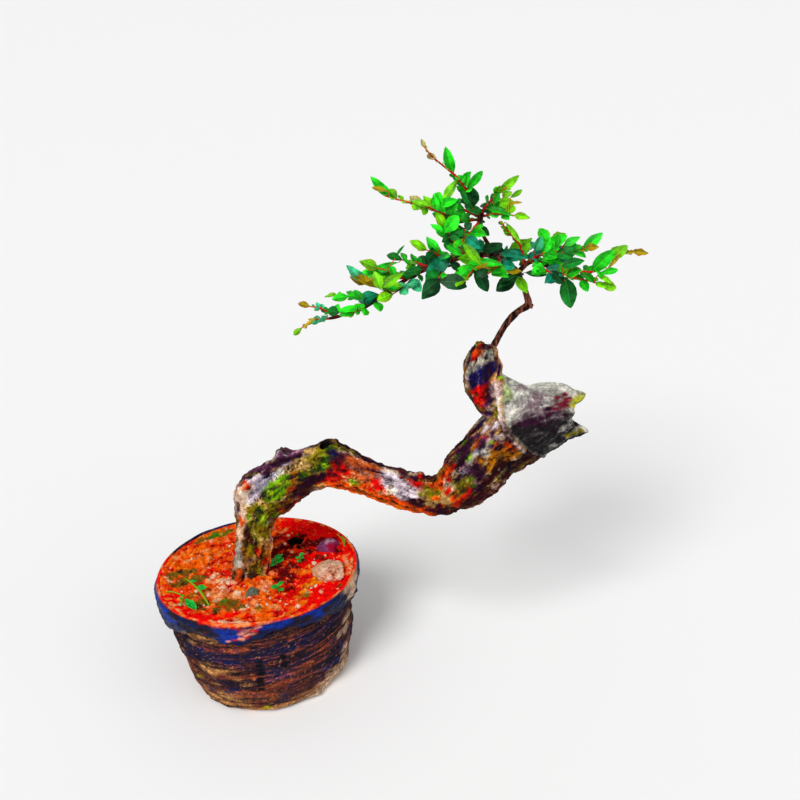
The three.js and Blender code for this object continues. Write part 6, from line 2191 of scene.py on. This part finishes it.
# Where each kind of earth is seen from the studio's viewpoint: across, down, and its reach in millimetres.
# The maroon rows paint the shadow beside and behind the trunk, the pitch rows the shade in the pit.
SOIL_PATCHES = {
    Earth.ORANGE: (
        (195, 550, 9), (208, 552, 9), (190, 558, 8), (182, 555, 6), (201, 560, 8), (218, 551, 6),
        (173, 562, 7), (215, 565, 6), (162, 582, 5), (165, 591, 4), (160, 577, 4), (304, 568, 8),
        (299, 571, 6), (309, 569, 6), (268, 574, 5), (271, 578, 4), (263, 591, 5), (268, 603, 5),
        (291, 608, 5), (303, 602, 5), (274, 616, 6), (286, 613, 5), (262, 618, 5), (180, 566, 6),
        (205, 590, 5), (170, 603, 5), (240, 614, 4), (312, 605, 4), (296, 590, 4), (230, 595, 5),
        (240, 590, 6), (250, 582, 5),
    ),
    Earth.SALMON: (
        (285, 527, 4), (284, 531, 3), (346, 562, 5), (351, 566, 4), (344, 558, 3), (349, 571, 4),
        (353, 559, 3), (217, 580, 6), (212, 591, 6), (218, 594, 6), (224, 591, 5), (268, 584, 4),
        (262, 586, 4), (256, 599, 4), (271, 605, 4), (292, 551, 2), (171, 605, 4), (179, 610, 4),
        (187, 560, 3), (204, 550, 3), (197, 556, 3), (210, 557, 3), (176, 557, 3), (236, 598, 5),
        (245, 596, 4), (248, 604, 5), (228, 600, 3), (254, 610, 5), (238, 619, 4), (224, 617, 3),
        (262, 580, 4), (346, 554, 3), (306, 593, 3), (278, 607, 3),
    ),
    Earth.CREAM: (
        (212, 576, 3), (217, 571, 3), (208, 579, 3), (224, 579, 4), (170, 579, 3), (180, 604, 3),
        (230, 587, 3), (236, 592, 3), (222, 586, 3), (216, 599, 3), (257, 604, 3), (310, 590, 2),
        (297, 605, 2), (243, 608, 3), (230, 622, 4), (222, 621, 4), (214, 620, 3), (238, 622, 3),
        (246, 622, 3), (206, 539, 2), (267, 590, 2),
    ),
    Earth.AMBER: (
        (311, 580, 5), (306, 584, 5), (316, 582, 4), (305, 590, 4), (297, 595, 4), (262, 608, 4),
        (196, 579, 3),
    ),
    Earth.RED: (
        (228, 540, 4), (188, 542, 5), (181, 550, 3), (224, 560, 4), (229, 552, 4), (211, 569, 4),
        (208, 573, 4), (224, 571, 5), (303, 550, 3), (305, 560, 4), (297, 578, 6), (289, 594, 6),
        (284, 590, 5), (295, 588, 4), (279, 611, 6), (253, 620, 4), (232, 587, 3), (204, 566, 3),
        (275, 598, 5), (222, 543, 4), (237, 608, 3), (250, 590, 3), (306, 576, 3), (195, 545, 3),
        (171, 569, 3), (216, 560, 3), (247, 616, 4),
    ),
    Earth.SCARLET: (
        (297, 525, 9), (309, 528, 9), (320, 530, 8), (289, 523, 7), (332, 533, 6), (316, 534, 7),
        (303, 531, 6), (341, 539, 5), (350, 546, 5), (347, 551, 4), (325, 587, 7), (332, 589, 6),
        (323, 596, 6), (316, 595, 5), (341, 585, 4), (346, 580, 4), (350, 577, 3), (313, 601, 5),
        (170, 596, 4), (175, 594, 4), (173, 600, 4), (188, 610, 5), (195, 614, 6), (203, 617, 5),
        (210, 616, 5), (181, 606, 4), (246, 614, 3), (237, 613, 3), (186, 617, 4), (338, 537, 5),
        (326, 531, 6), (218, 618, 4), (228, 615, 4), (212, 609, 3), (291, 531, 6), (284, 537, 4),
        (313, 522, 6), (300, 520, 6), (323, 524, 5), (330, 552, 5), (340, 553, 5), (336, 560, 4),
        (318, 561, 4), (310, 558, 4), (304, 563, 4), (328, 536, 6),
    ),
    Earth.OLIVE: (
        (201, 540, 5), (208, 537, 4), (197, 542, 3), (176, 572, 6), (184, 572, 5), (192, 570, 5),
        (171, 576, 4), (179, 582, 6), (187, 582, 5), (172, 583, 4), (195, 578, 6), (201, 576, 4),
        (183, 578, 5), (224, 601, 6), (232, 602, 6), (217, 608, 5), (240, 605, 5), (228, 607, 5),
        (208, 602, 5), (199, 601, 5), (201, 608, 4), (306, 594, 3), (262, 607, 3), (192, 596, 4),
        (340, 584, 3), (257, 606, 3),
    ),
    Earth.MAROON: (
        (277, 536, 7), (279, 546, 7), (274, 553, 7), (283, 556, 7), (290, 564, 6), (285, 569, 6),
        (279, 577, 6), (291, 574, 6), (306, 544, 7), (309, 550, 5), (320, 539, 6), (316, 556, 4),
        (323, 557, 4), (334, 538, 4), (289, 546, 5), (298, 552, 6), (313, 542, 6), (272, 570, 6),
        (284, 580, 4), (302, 535, 4), (312, 550, 4), (212, 545, 2), (221, 557, 2), (230, 560, 2),
        (213, 562, 1.6), (194, 553, 1.4), (203, 555, 1.4), (231, 590, 2), (215, 612, 2), (240, 584, 2),
        (268, 596, 2), (315, 570, 3), (320, 576, 2), (338, 550, 4), (326, 559, 3), (343, 577, 2),
        (208, 563, 1.6), (186, 548, 1.4), (292, 582, 2), (277, 564, 6), (283, 571, 6), (278, 579, 5),
        (287, 580, 5), (291, 586, 3), (296, 566, 4), (319, 549, 4),
    ),
    Earth.UMBER: (
        (180, 571, 3), (187, 573, 3), (177, 581, 3), (184, 583, 3), (174, 585, 2), (270, 560, 4),
        (275, 562, 3), (302, 559, 3), (292, 556, 3), (199, 606, 3), (205, 609, 2), (339, 584, 2),
        (215, 611, 1.6), (205, 604, 2), (191, 571, 2),
    ),
    Earth.GREEN: ((224, 533, 6), (217, 535, 5), (229, 530, 4), (223, 600, 2), (208, 604, 2), (212, 536, 3)),
    Earth.PITCH: ((290, 540, 5), (296, 539, 6), (301, 541, 4), (293, 543, 5), (299, 543, 4)),
}
# Pebbles and bits that lie on the soil: across, down, reach in millimetres, and what they are.
PEBBLES = (
    (285, 543, 3, Earth.CREAM), (314, 562, 3.4, Earth.CREAM), (315, 585, 3.4, Earth.CREAM),
    (312, 588, 2, Earth.CREAM), (320, 591, 2.8, Earth.SALMON), (306, 592, 2.8, Earth.STONE),
    (286, 603, 2.6, Earth.CREAM), (298, 606, 2.2, Earth.CREAM), (228, 582, 4, Earth.CREAM),
    (235, 581, 5, Earth.SALMON), (211, 540, 4.4, Earth.SALMON), (229, 545, 2, Earth.CREAM),
    (191, 558, 1.8, Earth.CREAM), (196, 590, 2.6, Earth.CREAM), (208, 594, 3, Earth.CREAM),
    (208, 606, 2.4, Earth.SALMON), (242, 598, 2.4, Earth.ORANGE), (247, 605, 2, Earth.CREAM),
    (325, 554, 2, Earth.CREAM), (293, 552, 2.2, Earth.SALMON), (289, 535, 2, Earth.CREAM),
    (293, 533, 2, Earth.AMBER), (298, 534, 2, Earth.OLIVE), (269, 586, 3, Earth.ORANGE),
    (262, 588, 2.6, Earth.SALMON), (346, 561, 3, Earth.SALMON), (350, 567, 2.6, Earth.SALMON),
    (250, 596, 2.4, Earth.SALMON), (281, 600, 1.8, Earth.CREAM), (270, 597, 1.6, Earth.CREAM),
    (215, 612, 2, Earth.UMBER), (223, 590, 2.6, Earth.SALMON), (218, 586, 2.2, Earth.CREAM),
    (166, 576, 1.8, Earth.CREAM), (300, 556, 1.6, Earth.SALMON), (271, 572, 4, Earth.ORANGE),
    (266, 604, 2, Earth.CREAM), (229, 597, 2.4, Earth.ORANGE), (213, 582, 2.4, Earth.SALMON),
    (243, 590, 2, Earth.SALMON),
)
# The pit at the back of the soil: x, y, reach and depth.
SOIL_PIT = (37, 48, 11, 6)


def ripple(a: np.ndarray, b: np.ndarray, phase: float) -> np.ndarray:
    """The solids' own slow unevenness over two directions."""
    return (np.sin(2 * a + phase) + np.sin(3 * b - a + 1.7 * phase) + np.sin(5 * a + 2 * b + 2.3 * phase)) / 3


def soil_height(x: np.ndarray, y: np.ndarray) -> np.ndarray:
    """The height of the soil, as the solid has it, with a pit behind the trunk."""
    mound = 3.5 * np.exp(-(((x + 5) / 40) ** 2) - (y / 36) ** 2)
    away = np.hypot(x - SOIL_PIT[0], y - SOIL_PIT[1]) / SOIL_PIT[2]
    pit = -SOIL_PIT[3] * np.exp(-(away**4)) + 2 * np.exp(-(((away - 1.25) / 0.4) ** 2))
    return 117.8 + 1.7 * ripple(x * 0.09, y * 0.08, 1.3) + mound + pit


@dataclass
class Soil:
    """Red soil with its clods and crumbs, pit, mossy patches and pale grit."""

    bag: Bag = field(default_factory=Bag)
    rings: int = 110
    sides: int = 300
    crumbs: int = 2600
    tufts: int = 1000
    wall: float = 1.9
    pale_share: float = 0.02
    pale: np.ndarray = field(default_factory=lambda: np.array((0.85, 0.6, 0.5)))
    rim: float = 118.0
    rim_top: float = 119.5
    finish: Finish = Finish("red soil", 2.4, (0.75, 1.25), (0.75, 0.95), (1.0, 0.5), 0.03)

    def surface(self) -> Form:
        """The soil's closed form, finely broken up on top."""
        angle = around(self.sides)
        steps = ((2.5, 7.5), (9, 3), (40, 0), (80, 0), (108, 0), (116, 0))
        edge = [(self.bag.radius(angle, height) - self.wall - inset, height) for height, inset in steps]
        rings = [self.bag.spread(radius, angle, height) for radius, height in edge]
        rim = self.bag.radius(angle, self.rim) - self.wall + 0.3
        for ring in range(self.rings):
            share = (1 - ring / self.rings) ** 0.9
            flat = self.bag.spread(rim * share, angle, self.bag.height)
            rings.append(np.stack([flat[:, 0], flat[:, 1], self.height(flat)], 1))
        top = float(self.height(np.zeros((1, 3)))[0])
        return capped(np.array(rings), np.array((1, 0, 2.5)), np.array((0, 0, top)))

    def height(self, flat: np.ndarray) -> np.ndarray:
        """The soil's height with its clods, easing into the bag's rim."""
        level = flat * (1, 1, 0)
        angle = np.arctan2(flat[:, 1], flat[:, 0])
        share = np.hypot(flat[:, 0], flat[:, 1]) / (self.bag.radius(angle, self.rim) - self.wall)
        clods = creases(level, 13, 4, 2.0) * 1.3 + unevenness(level, 6, 4, 5.0) * 1.9 - 0.7
        height = soil_height(flat[:, 0], flat[:, 1]) + clods
        return height + (self.rim_top - height) * ease(0.88, 0.99, share) * 0.85

    def paint(self, form: Form) -> Canvas:
        """Paints the soil: red and orange, cream where dry, olive under moss, maroon as painted shadow beside
        the trunk and in the cracks, and painted light and shade on the clods.
        """
        points = form.points
        level = points * (1, 1, 0)
        canvas = Canvas(form, level * (0.7, 1, 1), np.tile((0.96, 0.28, 0), (len(points), 1)), 0.7)
        tone, clod = unevenness(level, 30, 4, 13.0), unevenness(level, 6, 4, 5.0)
        gaps = ease(0.82, 0.97, creases((level + 2 * canvas.stray) * (0.5, 1, 1), 7, 2, 51.0))
        canvas.lay(1.0, rgb(0.85, 0.13, 0.05), 0)
        canvas.lay(ease(0.1, 0.7, tone) * 0.7, Earth.RED)
        canvas.lay(ease(0.1, 0.6, -tone) * 0.7, Earth.ORANGE)
        canvas.lay(ease(10, 70, points[:, 0]) * 0.7, Earth.SCARLET)
        laid = canvas.laid = canvas.patches(SOIL_PATCHES, 1.0, 0.1)
        quiet = np.clip(1 - laid[Earth.PITCH] - 0.7 * laid[Earth.MAROON] - 0.6 * laid[Earth.OLIVE], 0, 1)
        bright = quiet * (1 - 0.75 * laid[Earth.SCARLET])
        # Painted light and shade: salmon on the raised clods, dark red between them.
        canvas.lay(ease(0.2, 0.7, clod) * bright * 0.5, Earth.SALMON)
        canvas.lay(ease(0.2, 0.7, -clod) * quiet * 0.45, rgb(0.35, 0.004, 0.008))
        # Painted shade: maroon in the cracks.
        canvas.lay(gaps * quiet * 0.45, Earth.MAROON)
        canvas.lay(ease(0.5, 0.7, unevenness(level, 2.6, 2, 61.0)) * bright * 0.5, Earth.CREAM, 0)
        # Painted shade: the pit darkened nearly to black.
        canvas.colour *= 1 - 0.95 * ease(0.3, 0.6, laid[Earth.PITCH])[:, None]
        # Painted light: lighter on the raised clods, darker in the low ones.
        canvas.finish(2.2, 0.35, 0.3 * clod)
        return canvas

    def scattered(self, canvas: Canvas, count: int, seed: int, wanted: np.ndarray) -> np.ndarray:
        """The soil's corners that are kept by even draws.

        Args:
            canvas: the painted soil.
            count: how many corners to keep.
            seed: starts the draws.
            wanted: the share to keep at each corner.

        Returns:
            The numbers of the corners.
        """
        draws = plain_draws(seed)
        first = 9 * self.sides
        room = np.hypot(*canvas.form.points[first:, :2].T) / 90
        kept: list[int] = []
        while len(kept) < count:
            index = int(next(draws) * len(room))
            if next(draws) < min(room[index], 1) and next(draws) < wanted[first + index]:
                kept.append(first + index)
        return np.array(kept)

    def build(self) -> None:
        """Makes the soil in place of its solid, with its crumbs and pebbles, then the moss on it."""
        finish = self.finish.material()
        form = self.surface()
        canvas = self.paint(form)
        soil = form.object("soil_surface", finish)
        damp = canvas.laid[Earth.OLIVE]
        chosen = self.scattered(canvas, self.crumbs, 71, 0.95 - 3 * canvas.laid[Earth.PITCH] - 0.5 * damp)
        draws = plain_draws(83)
        paint = form.values["paint"][chosen].copy()
        for row in range(len(paint)):
            is_pale = next(draws) < self.pale_share
            paint[row] = (self.pale if is_pale else paint[row]) * (0.82 + 0.36 * next(draws))
        spots = form.points[chosen]
        stones = np.array([canvas.spot(across, down) for across, down, _, _ in PEBBLES])
        paint = np.vstack([np.clip(paint, 0, 0.95), [kind.value[:3] for *_, kind in PEBBLES]])
        host = Form(np.vstack([spots, stones]), [], {"paint": paint}).object("crumbs", outward=False)
        sizes = 0.4 + 1.1 * np.array([next(draws) for _ in chosen]) ** 2.5
        sizes = np.append(sizes, [reach for _, _, reach, _ in PEBBLES])
        merge(soil, litter(host, CrumbSet().collection(), sizes, finish, 91))
        placed(soil, "soil", "soil")
        green = np.maximum(damp, canvas.laid[Earth.GREEN])
        beds = self.scattered(canvas, self.tufts, 73, ease(0.4, 0.9, green) + 1e-4)
        moss = Form(form.points[beds], [], {"green": canvas.laid[Earth.GREEN][beds]})
        host = moss.object("soil_moss", outward=False)
        sizes = np.array([0.6 + 0.9 * next(draws) for _ in beds])
        finish = MossFinish(tip=rgb(0.2, 0.19, 0.01)).material()
        placed(litter(host, TuftSet().collection(), sizes, finish, 97), "seedling_leaf")


def litter(
    host: bpy.types.Object, shapes: bpy.types.Collection, sizes: Sequence[float],
    finish: bpy.types.Material, seed: int, facing: np.ndarray | None = None,
) -> bpy.types.Object:
    """Small things strewn on the corners of an object, as one mesh.

    Args:
        host: the object whose corners are the places. It is removed.
        shapes: what is strewn. It is removed.
        sizes: the size at each place in millimetres.
        finish: the material.
        seed: starts the draws.
        facing: the way each stands, or None for upright.
    """
    if facing is None:
        facing = np.tile((0.0, 0.0, 1.0), (len(sizes), 1))
    strew(host, facing, sizes, len(shapes.objects), seed)
    piece = grown(host, instancing_tree(host.name), {"Shapes": shapes, "Finish": finish})
    clear(shapes)
    return piece


def strew(host: bpy.types.Object, facing: np.ndarray, sizes: Sequence[float], kinds: int, seed: int) -> None:
    """Draws a turn, size, kind and tint for each corner of an object.

    Args:
        host: the object whose corners are the places.
        facing: the way that the surface faces at each place.
        sizes: the size at each place in millimetres.
        kinds: how many shapes there are to choose from.
        seed: starts the draws.
    """
    draws = plain_draws(seed)
    rows = []
    for way, size in zip(facing, sizes):
        spin = Matrix.Rotation(next(draws) * FULL_TURN, 3, "Z")
        turn = tuple((Vector(way).to_track_quat("Z", "Y").to_matrix() @ spin).to_euler("XYZ"))
        stretch = tuple(size * MM * (0.75 + 0.5 * next(draws)) for _ in range(3))
        rows.append((turn, stretch, int(next(draws) * kinds), next(draws)))
    store_rows(host, rows)


def hidden(name: str, shapes: Sequence[bpy.types.Object]) -> bpy.types.Collection:
    """A collection of some objects that the scene doesn't show."""
    box = bpy.data.collections.new(name)
    for shape in shapes:
        bpy.context.scene.collection.objects.unlink(shape)
        box.objects.link(shape)
    return box


def ball(levels: int) -> Form:
    """A ball of radius 1 mm made of nearly equal triangles."""
    sheet = bmesh.new()
    bmesh.ops.create_icosphere(sheet, subdivisions=levels, radius=1)
    points = np.array([corner.co[:] for corner in sheet.verts])
    faces = [tuple(corner.index for corner in face.verts) for face in sheet.faces]
    sheet.free()
    return Form(points, faces)


@dataclass(frozen=True)
class CrumbSet:
    """The few shapes of soil crumb, one unit across."""

    kinds: int = 6

    def collection(self) -> bpy.types.Collection:
        """The crumbs as hidden objects."""
        crumbs = []
        for kind in range(self.kinds):
            form = ball(1)
            lumps = 1 + 0.35 * unevenness(form.points, 1.3, 2, 3.0 * kind)
            form.points = form.points * lumps[:, None] / MM * (1, 0.85, 0.7)
            crumbs.append(form.object(f"crumb_{kind:02d}"))
        return hidden("crumbs", crumbs)


@dataclass(frozen=True)
class TuftSet:
    """The few shapes of moss tuft: leaning spikes from one foot, one unit high."""

    kinds: int = 4
    spikes: int = 7

    def collection(self) -> bpy.types.Collection:
        """The tufts as hidden objects."""
        draws = plain_draws(29)
        tufts = []
        for kind in range(self.kinds):
            spikes = []
            for _ in range(self.spikes):
                turn, lean, tall = next(draws) * FULL_TURN, 0.2 + 0.6 * next(draws), 0.6 + 0.4 * next(draws)
                x, y = math.cos(turn) * lean, math.sin(turn) * lean
                foot = [
                    (0.3 * x + 0.17 * math.cos(turn + side), 0.3 * y + 0.17 * math.sin(turn + side), -0.2)
                    for side in (0, 2.1, 4.2)
                ]
                faces = [(0, 2, 1), (0, 1, 3), (1, 2, 3), (2, 0, 3)]
                values = {"reach": np.array([0, 0, 0, 1.0])}
                spikes.append(Form(np.array([*foot, (x, y, tall)]), faces, values))
            form = joined(spikes)
            form.points = form.points / MM
            tufts.append(form.object(f"tuft_{kind:02d}"))
        return hidden("tufts", tufts)


@dataclass(frozen=True)
class MossFinish:
    """Short moss, olive at the foot and bright at the tips."""

    foot: Row = rgb(0.05, 0.05, 0.003)
    tip: Row = rgb(0.3, 0.36, 0.01)
    green: Row = rgb(0.12, 0.5, 0.005)

    def material(self) -> bpy.types.Material:
        """Builds the material."""
        sheet = Sheet("moss")
        tips = sheet.mix(sheet.value("green"), self.tip, self.green)
        grain = sheet.grain(sheet.spot(), 3)
        colour = sheet.mix(sheet.ramp(sheet.value("reach"), 0.0, 0.9), self.foot, tips)
        colour = sheet.mix(sheet.ramp(grain, 0.4, 0.65, 0.0, 0.5), colour, self.foot)
        return sheet.surface(colour, 0.8, 0.5, (grain, 0.3, 0.4))


class StoneKind(Enum):
    """The stones half sunk in the soil."""

    PALE = "pale_stone"
    PURPLE = "purple_stone"
    GREY = "grey_stone"


# Each stone's node, centre, half widths and seed.
STONES = {
    StoneKind.PALE: ("stone_pale", (78, -17, 119), (16.5, 14.5, 11), 503),
    StoneKind.PURPLE: ("stone_purple", (75, 29, 119), (10.5, 9.5, 7.5), 509),
    StoneKind.GREY: ("stone_grey", (-1, -42, 118.5), (6, 5, 5), 521),
}


class Mineral(Enum):
    """What colours the stones, with a painted highlight on the purple stone."""

    BUFF = rgb(0.62, 0.4, 0.27)
    CHALK = rgb(0.78, 0.56, 0.44)
    BLUSH = rgb(0.72, 0.36, 0.26)
    HOLLOW = rgb(0.3, 0.05, 0.025)
    WINE = rgb(0.3, 0.015, 0.05)
    VIOLET = rgb(0.2, 0.07, 0.15)
    # Painted highlight: pale heather on the purple stone's top.
    HEATHER = rgb(0.55, 0.32, 0.4)
    SAGE = rgb(0.1, 0.14, 0.1)


# Where each mineral is seen from the studio's viewpoint: across, down, and its reach in millimetres.
# The heather rows paint a highlight on the purple stone's top.
STONE_PATCHES = {
    Mineral.CHALK: (
        (322, 572, 5), (327, 567, 4), (333, 562, 4), (338, 562, 3), (330, 579, 5), (336, 584, 4),
        (342, 578, 4), (318, 575, 3), (341, 570, 3),
    ),
    Mineral.BLUSH: (
        (331, 567, 3), (336, 566, 3), (340, 566, 2.4), (328, 572, 2.4), (334, 577, 3), (324, 577, 2),
    ),
    Mineral.HOLLOW: (
        (331, 570, 1.8), (333, 573, 2.4), (336, 571, 1.6), (335, 579, 1.4), (338, 568, 1.2), (328, 582, 1.2),
    ),
    Mineral.WINE: ((331, 546, 4), (335, 547, 4), (336, 543, 3), (333, 550, 3)),
    Mineral.HEATHER: ((326, 541, 2.4), (329, 540, 3), (333, 540, 3)),
    Mineral.VIOLET: ((323, 546, 3), (325, 550, 3)),
}


@dataclass
class Stones:
    """The three stones, split along flat faces."""

    levels: int = 5
    faces: int = 11
    bodies: dict[StoneKind, Mineral] = field(default_factory=lambda: {
        StoneKind.PALE: Mineral.BUFF, StoneKind.PURPLE: Mineral.VIOLET, StoneKind.GREY: Mineral.SAGE,
    })

    def rock(self, half: Row, seed: int) -> np.ndarray:
        """A stone's skin about its own middle, cut by flat faces that lie all round it."""
        way = ball(self.levels).points
        draws = plain_draws(seed)
        reach = np.full(len(way), 1.25)
        for face in range(self.faces):
            rise = 1 - 2 * (face + 0.5) / self.faces
            turn = face * 2.4 + 0.8 * next(draws)
            flat = math.sqrt(1 - rise**2)
            aim = way @ np.array((math.cos(turn) * flat, math.sin(turn) * flat, rise))
            reach = np.minimum(reach, (0.84 + 0.24 * next(draws)) / np.maximum(aim, 0.2))
        return way * reach[:, None] * half

    def build(self) -> None:
        """Makes each stone in place of its solid."""
        for kind, (name, centre, half, seed) in STONES.items():
            form = Form(self.rock(half, seed) + centre, ball(self.levels).faces)
            form = form.smoothed(2)
            rough = unevenness(form.points, 4, 4, seed * 0.2)
            splits = ease(0.8, 1, creases(form.points, half[0] * 0.8, 2, seed * 0.1))
            form.points = form.points + form.normals() * (0.035 * half[0] * (rough - 1.6 * splits))[:, None]
            canvas = Canvas(form, form.points, form.points * 0, 1.0)
            canvas.lay(1.0, self.bodies[kind], 0)
            canvas.patches({
                stain: rows for stain, rows in STONE_PATCHES.items()
                if (stain in (Mineral.CHALK, Mineral.BLUSH, Mineral.HOLLOW)) == (kind is StoneKind.PALE)
            }, 1.0 - (kind is StoneKind.GREY))
            # Painted shade in the cracks, and painted light that lightens the raised bumps below.
            canvas.lay(splits * 0.7, Mineral.HOLLOW if kind is StoneKind.PALE else Mineral.WINE)
            canvas.finish(2.0, 0.3, 0.25 * rough)
            finish = Finish(kind.value, 1.8, (0.88, 1.1), specular=0.1)
            placed(form.object(f"{name}_rock", finish.material()), kind.value, name)


@dataclass
class Seedlings:
    """The seedlings and the sprig of grass that have sprung up in the soil."""

    depth: float = 6.0
    grass: Row = (93, 30, 17, 439)

    def stalk(self, rows: Rows, sides: int = 8) -> Form:
        """A thin stem through rows of x, y, z, radius."""
        route = Route(rows)
        return swept(route, sides, max(6, round(route.length() / 1.2)))

    def sprout(
        self, x: float, y: float, height: float, length: float, levels: Row, seed: int
    ) -> tuple[Form, list[Leaf]]:
        """One seedling's stem and leaves, standing as its solid does."""
        draws = plain_draws(seed)
        foot = float(soil_height(x, y)) - self.depth + 1
        top = foot + self.depth + height
        lean = 2 * (next(draws) - 0.5)
        middle = (x + lean * 0.4, y - 0.6, (foot + top) / 2, 0.65)
        stem = self.stalk(((x, y, foot, 0.7), middle, (x + lean, y - 1, top, 0.5)))
        leaves = []
        for level in levels:
            turn = next(draws) * FULL_TURN
            for side in (0, math.pi):
                start = np.array((x + lean * level, y - level, foot + (top - foot) * level))
                reach = np.array((math.cos(turn + side), math.sin(turn + side), 0.35)) * length
                leaves.append(Leaf.between(start, start + reach, (0, 0, 1), length * 0.4, 0.4))
        return stem, leaves

    def build(self) -> None:
        """Makes the seedlings and the grass in place of their solids."""
        finish = SproutFinish().material()
        spray = Spray(BladeSet(), finish)
        for name, *sizes, seed in SEEDLINGS:
            stem, leaves = self.sprout(*sizes, seed)
            forms = [stem]
            leaves += [Leaf.between(*row, 0.3) for row in EXTRA_LEAVES.get(name, ())]
            forms += [self.stalk(rows, sides) for rows, sides in EXTRA_STALKS.get(name, ())]
            piece = spray.grown(name.replace("seedling", "sprout"), leaves, seed)
            merge(piece, joined(forms).object(f"{name}_stem", finish))
            placed(piece, "seedling_leaf", name)
        spray.close()
        x, y, height, seed = self.grass
        draws = plain_draws(seed)
        foot = float(soil_height(x, y)) - self.depth + 1
        forms = []
        for lean in (-7, -1, 5):
            bend = 3 * next(draws)
            top = foot + self.depth + height * (0.8 + 0.2 * next(draws))
            forms.append(self.stalk((
                (x, y, foot, 0.8), (x + lean * 0.2, y - bend * 0.3, foot + self.depth + height * 0.5, 0.7),
                (x + lean, y - bend, top, 0.25),
            )))
        placed(joined(forms).object("grass_blades", finish), "seedling_leaf", "grass_sprig")


@dataclass(frozen=True)
class SproutFinish:
    """Tender emerald green, yellower on the stems."""

    leaf: Row = rgb(0.0, 0.26, 0.015)
    light: Row = rgb(0.02, 0.52, 0.06)
    stem: Row = rgb(0.2, 0.42, 0.01)

    def material(self) -> bpy.types.Material:
        """Builds the material from the blades' own coordinates."""
        sheet = Sheet("sprout")
        grain = sheet.grain(sheet.spot(), 3)
        leaf = sheet.mix(sheet.ramp(grain, 0.4, 0.6), self.leaf, self.light)
        rib = sheet.ramp(sheet.math("ABSOLUTE", sheet.value("blade_v")), 0.12, 0.0, 0.0, 0.5)
        leaf = sheet.mix(rib, leaf, self.light)
        colour = sheet.mix(sheet.ramp(sheet.value("blade_u"), 0.0, 0.06), self.stem, leaf)
        return sheet.surface(colour, 0.55, 0.12, (grain, 0.2, 0.3))


@dataclass(frozen=True)
class Floor:
    """The plain pale floor under the pot."""

    colour: Row = rgb(0.93, 0.93, 0.93)
    half: float = 40.0

    def build(self) -> None:
        """Lays the floor and marks it as stage."""
        corners = np.array([(-1, -1, 0), (1, -1, 0), (1, 1, 0), (-1, 1, 0)], float) * self.half / MM
        sheet = Sheet("floor")
        grain = sheet.grain(sheet.spot(), 40)
        rough = sheet.ramp(grain, *GRAIN, 0.85, 0.95)
        sheet.put(sheet.shader, {"Base Color": self.colour, "Roughness": rough})
        Form(corners, [(0, 1, 2, 3)]).object("floor", sheet.material, outward=False)


@dataclass(frozen=True)
class Lamp:
    """A broad distant light: the way it shines, its strength and how soft it is in degrees."""

    name: str
    way: Row
    strength: float
    softness: float

    def build(self) -> None:
        """Hangs the lamp."""
        data = bpy.data.lights.new(self.name, "SUN")
        data.energy, data.angle = self.strength, math.radians(self.softness)
        lamp = bpy.data.objects.new(self.name, data)
        lamp.rotation_euler = Vector(self.way).to_track_quat("-Z", "Y").to_euler()
        bpy.context.scene.collection.objects.link(lamp)


@dataclass(frozen=True)
class Studio:
    """Floor, soft light and the photograph's viewpoint."""

    sky: float = 0.42
    lamps: tuple[Lamp, ...] = (
        Lamp("key", (0.45, 0.75, -1.0), 2.1, 28), Lamp("fill", (-0.8, 0.6, -0.6), 0.5, 60),
    )

    def build(self) -> None:
        """Sets the camera, the lamps, the sky and the floor."""
        scene = bpy.context.scene
        data = bpy.data.cameras.new("viewpoint")
        data.lens, data.sensor_width, data.sensor_fit = LENS, FRAME_WIDTH, "HORIZONTAL"
        camera = bpy.data.objects.new("viewpoint", data)
        camera.location = Vector(EYE) * MM
        turn = (Vector(TARGET) - Vector(EYE)).to_track_quat("-Z", "Y").to_matrix()
        camera.rotation_euler = (turn @ Matrix.Rotation(ROLL, 3, "Z")).to_euler()
        scene.collection.objects.link(camera)
        scene.camera = camera
        for lamp in self.lamps:
            lamp.build()
        world = bpy.data.worlds.new("sky")
        world.use_nodes = True
        background = world.node_tree.nodes["Background"]
        background.inputs["Color"].default_value = rgb(1, 1, 1)
        background.inputs["Strength"].default_value = self.sky
        scene.world = world
        scene.view_settings.view_transform = "Standard"
        Floor().build()


def main() -> None:
    """Builds the bonsai round its solids, piece by piece, then the studio."""
    logging.basicConfig(level=logging.INFO, format="%(message)s")
    for part in (Bag(), Soil(), Stones(), Seedlings(), Trunk(), Foliage(), Studio()):
        LOG.info("building the %s", type(part).__name__.lower())
        part.build()


if __name__ == "__main__":
    main()
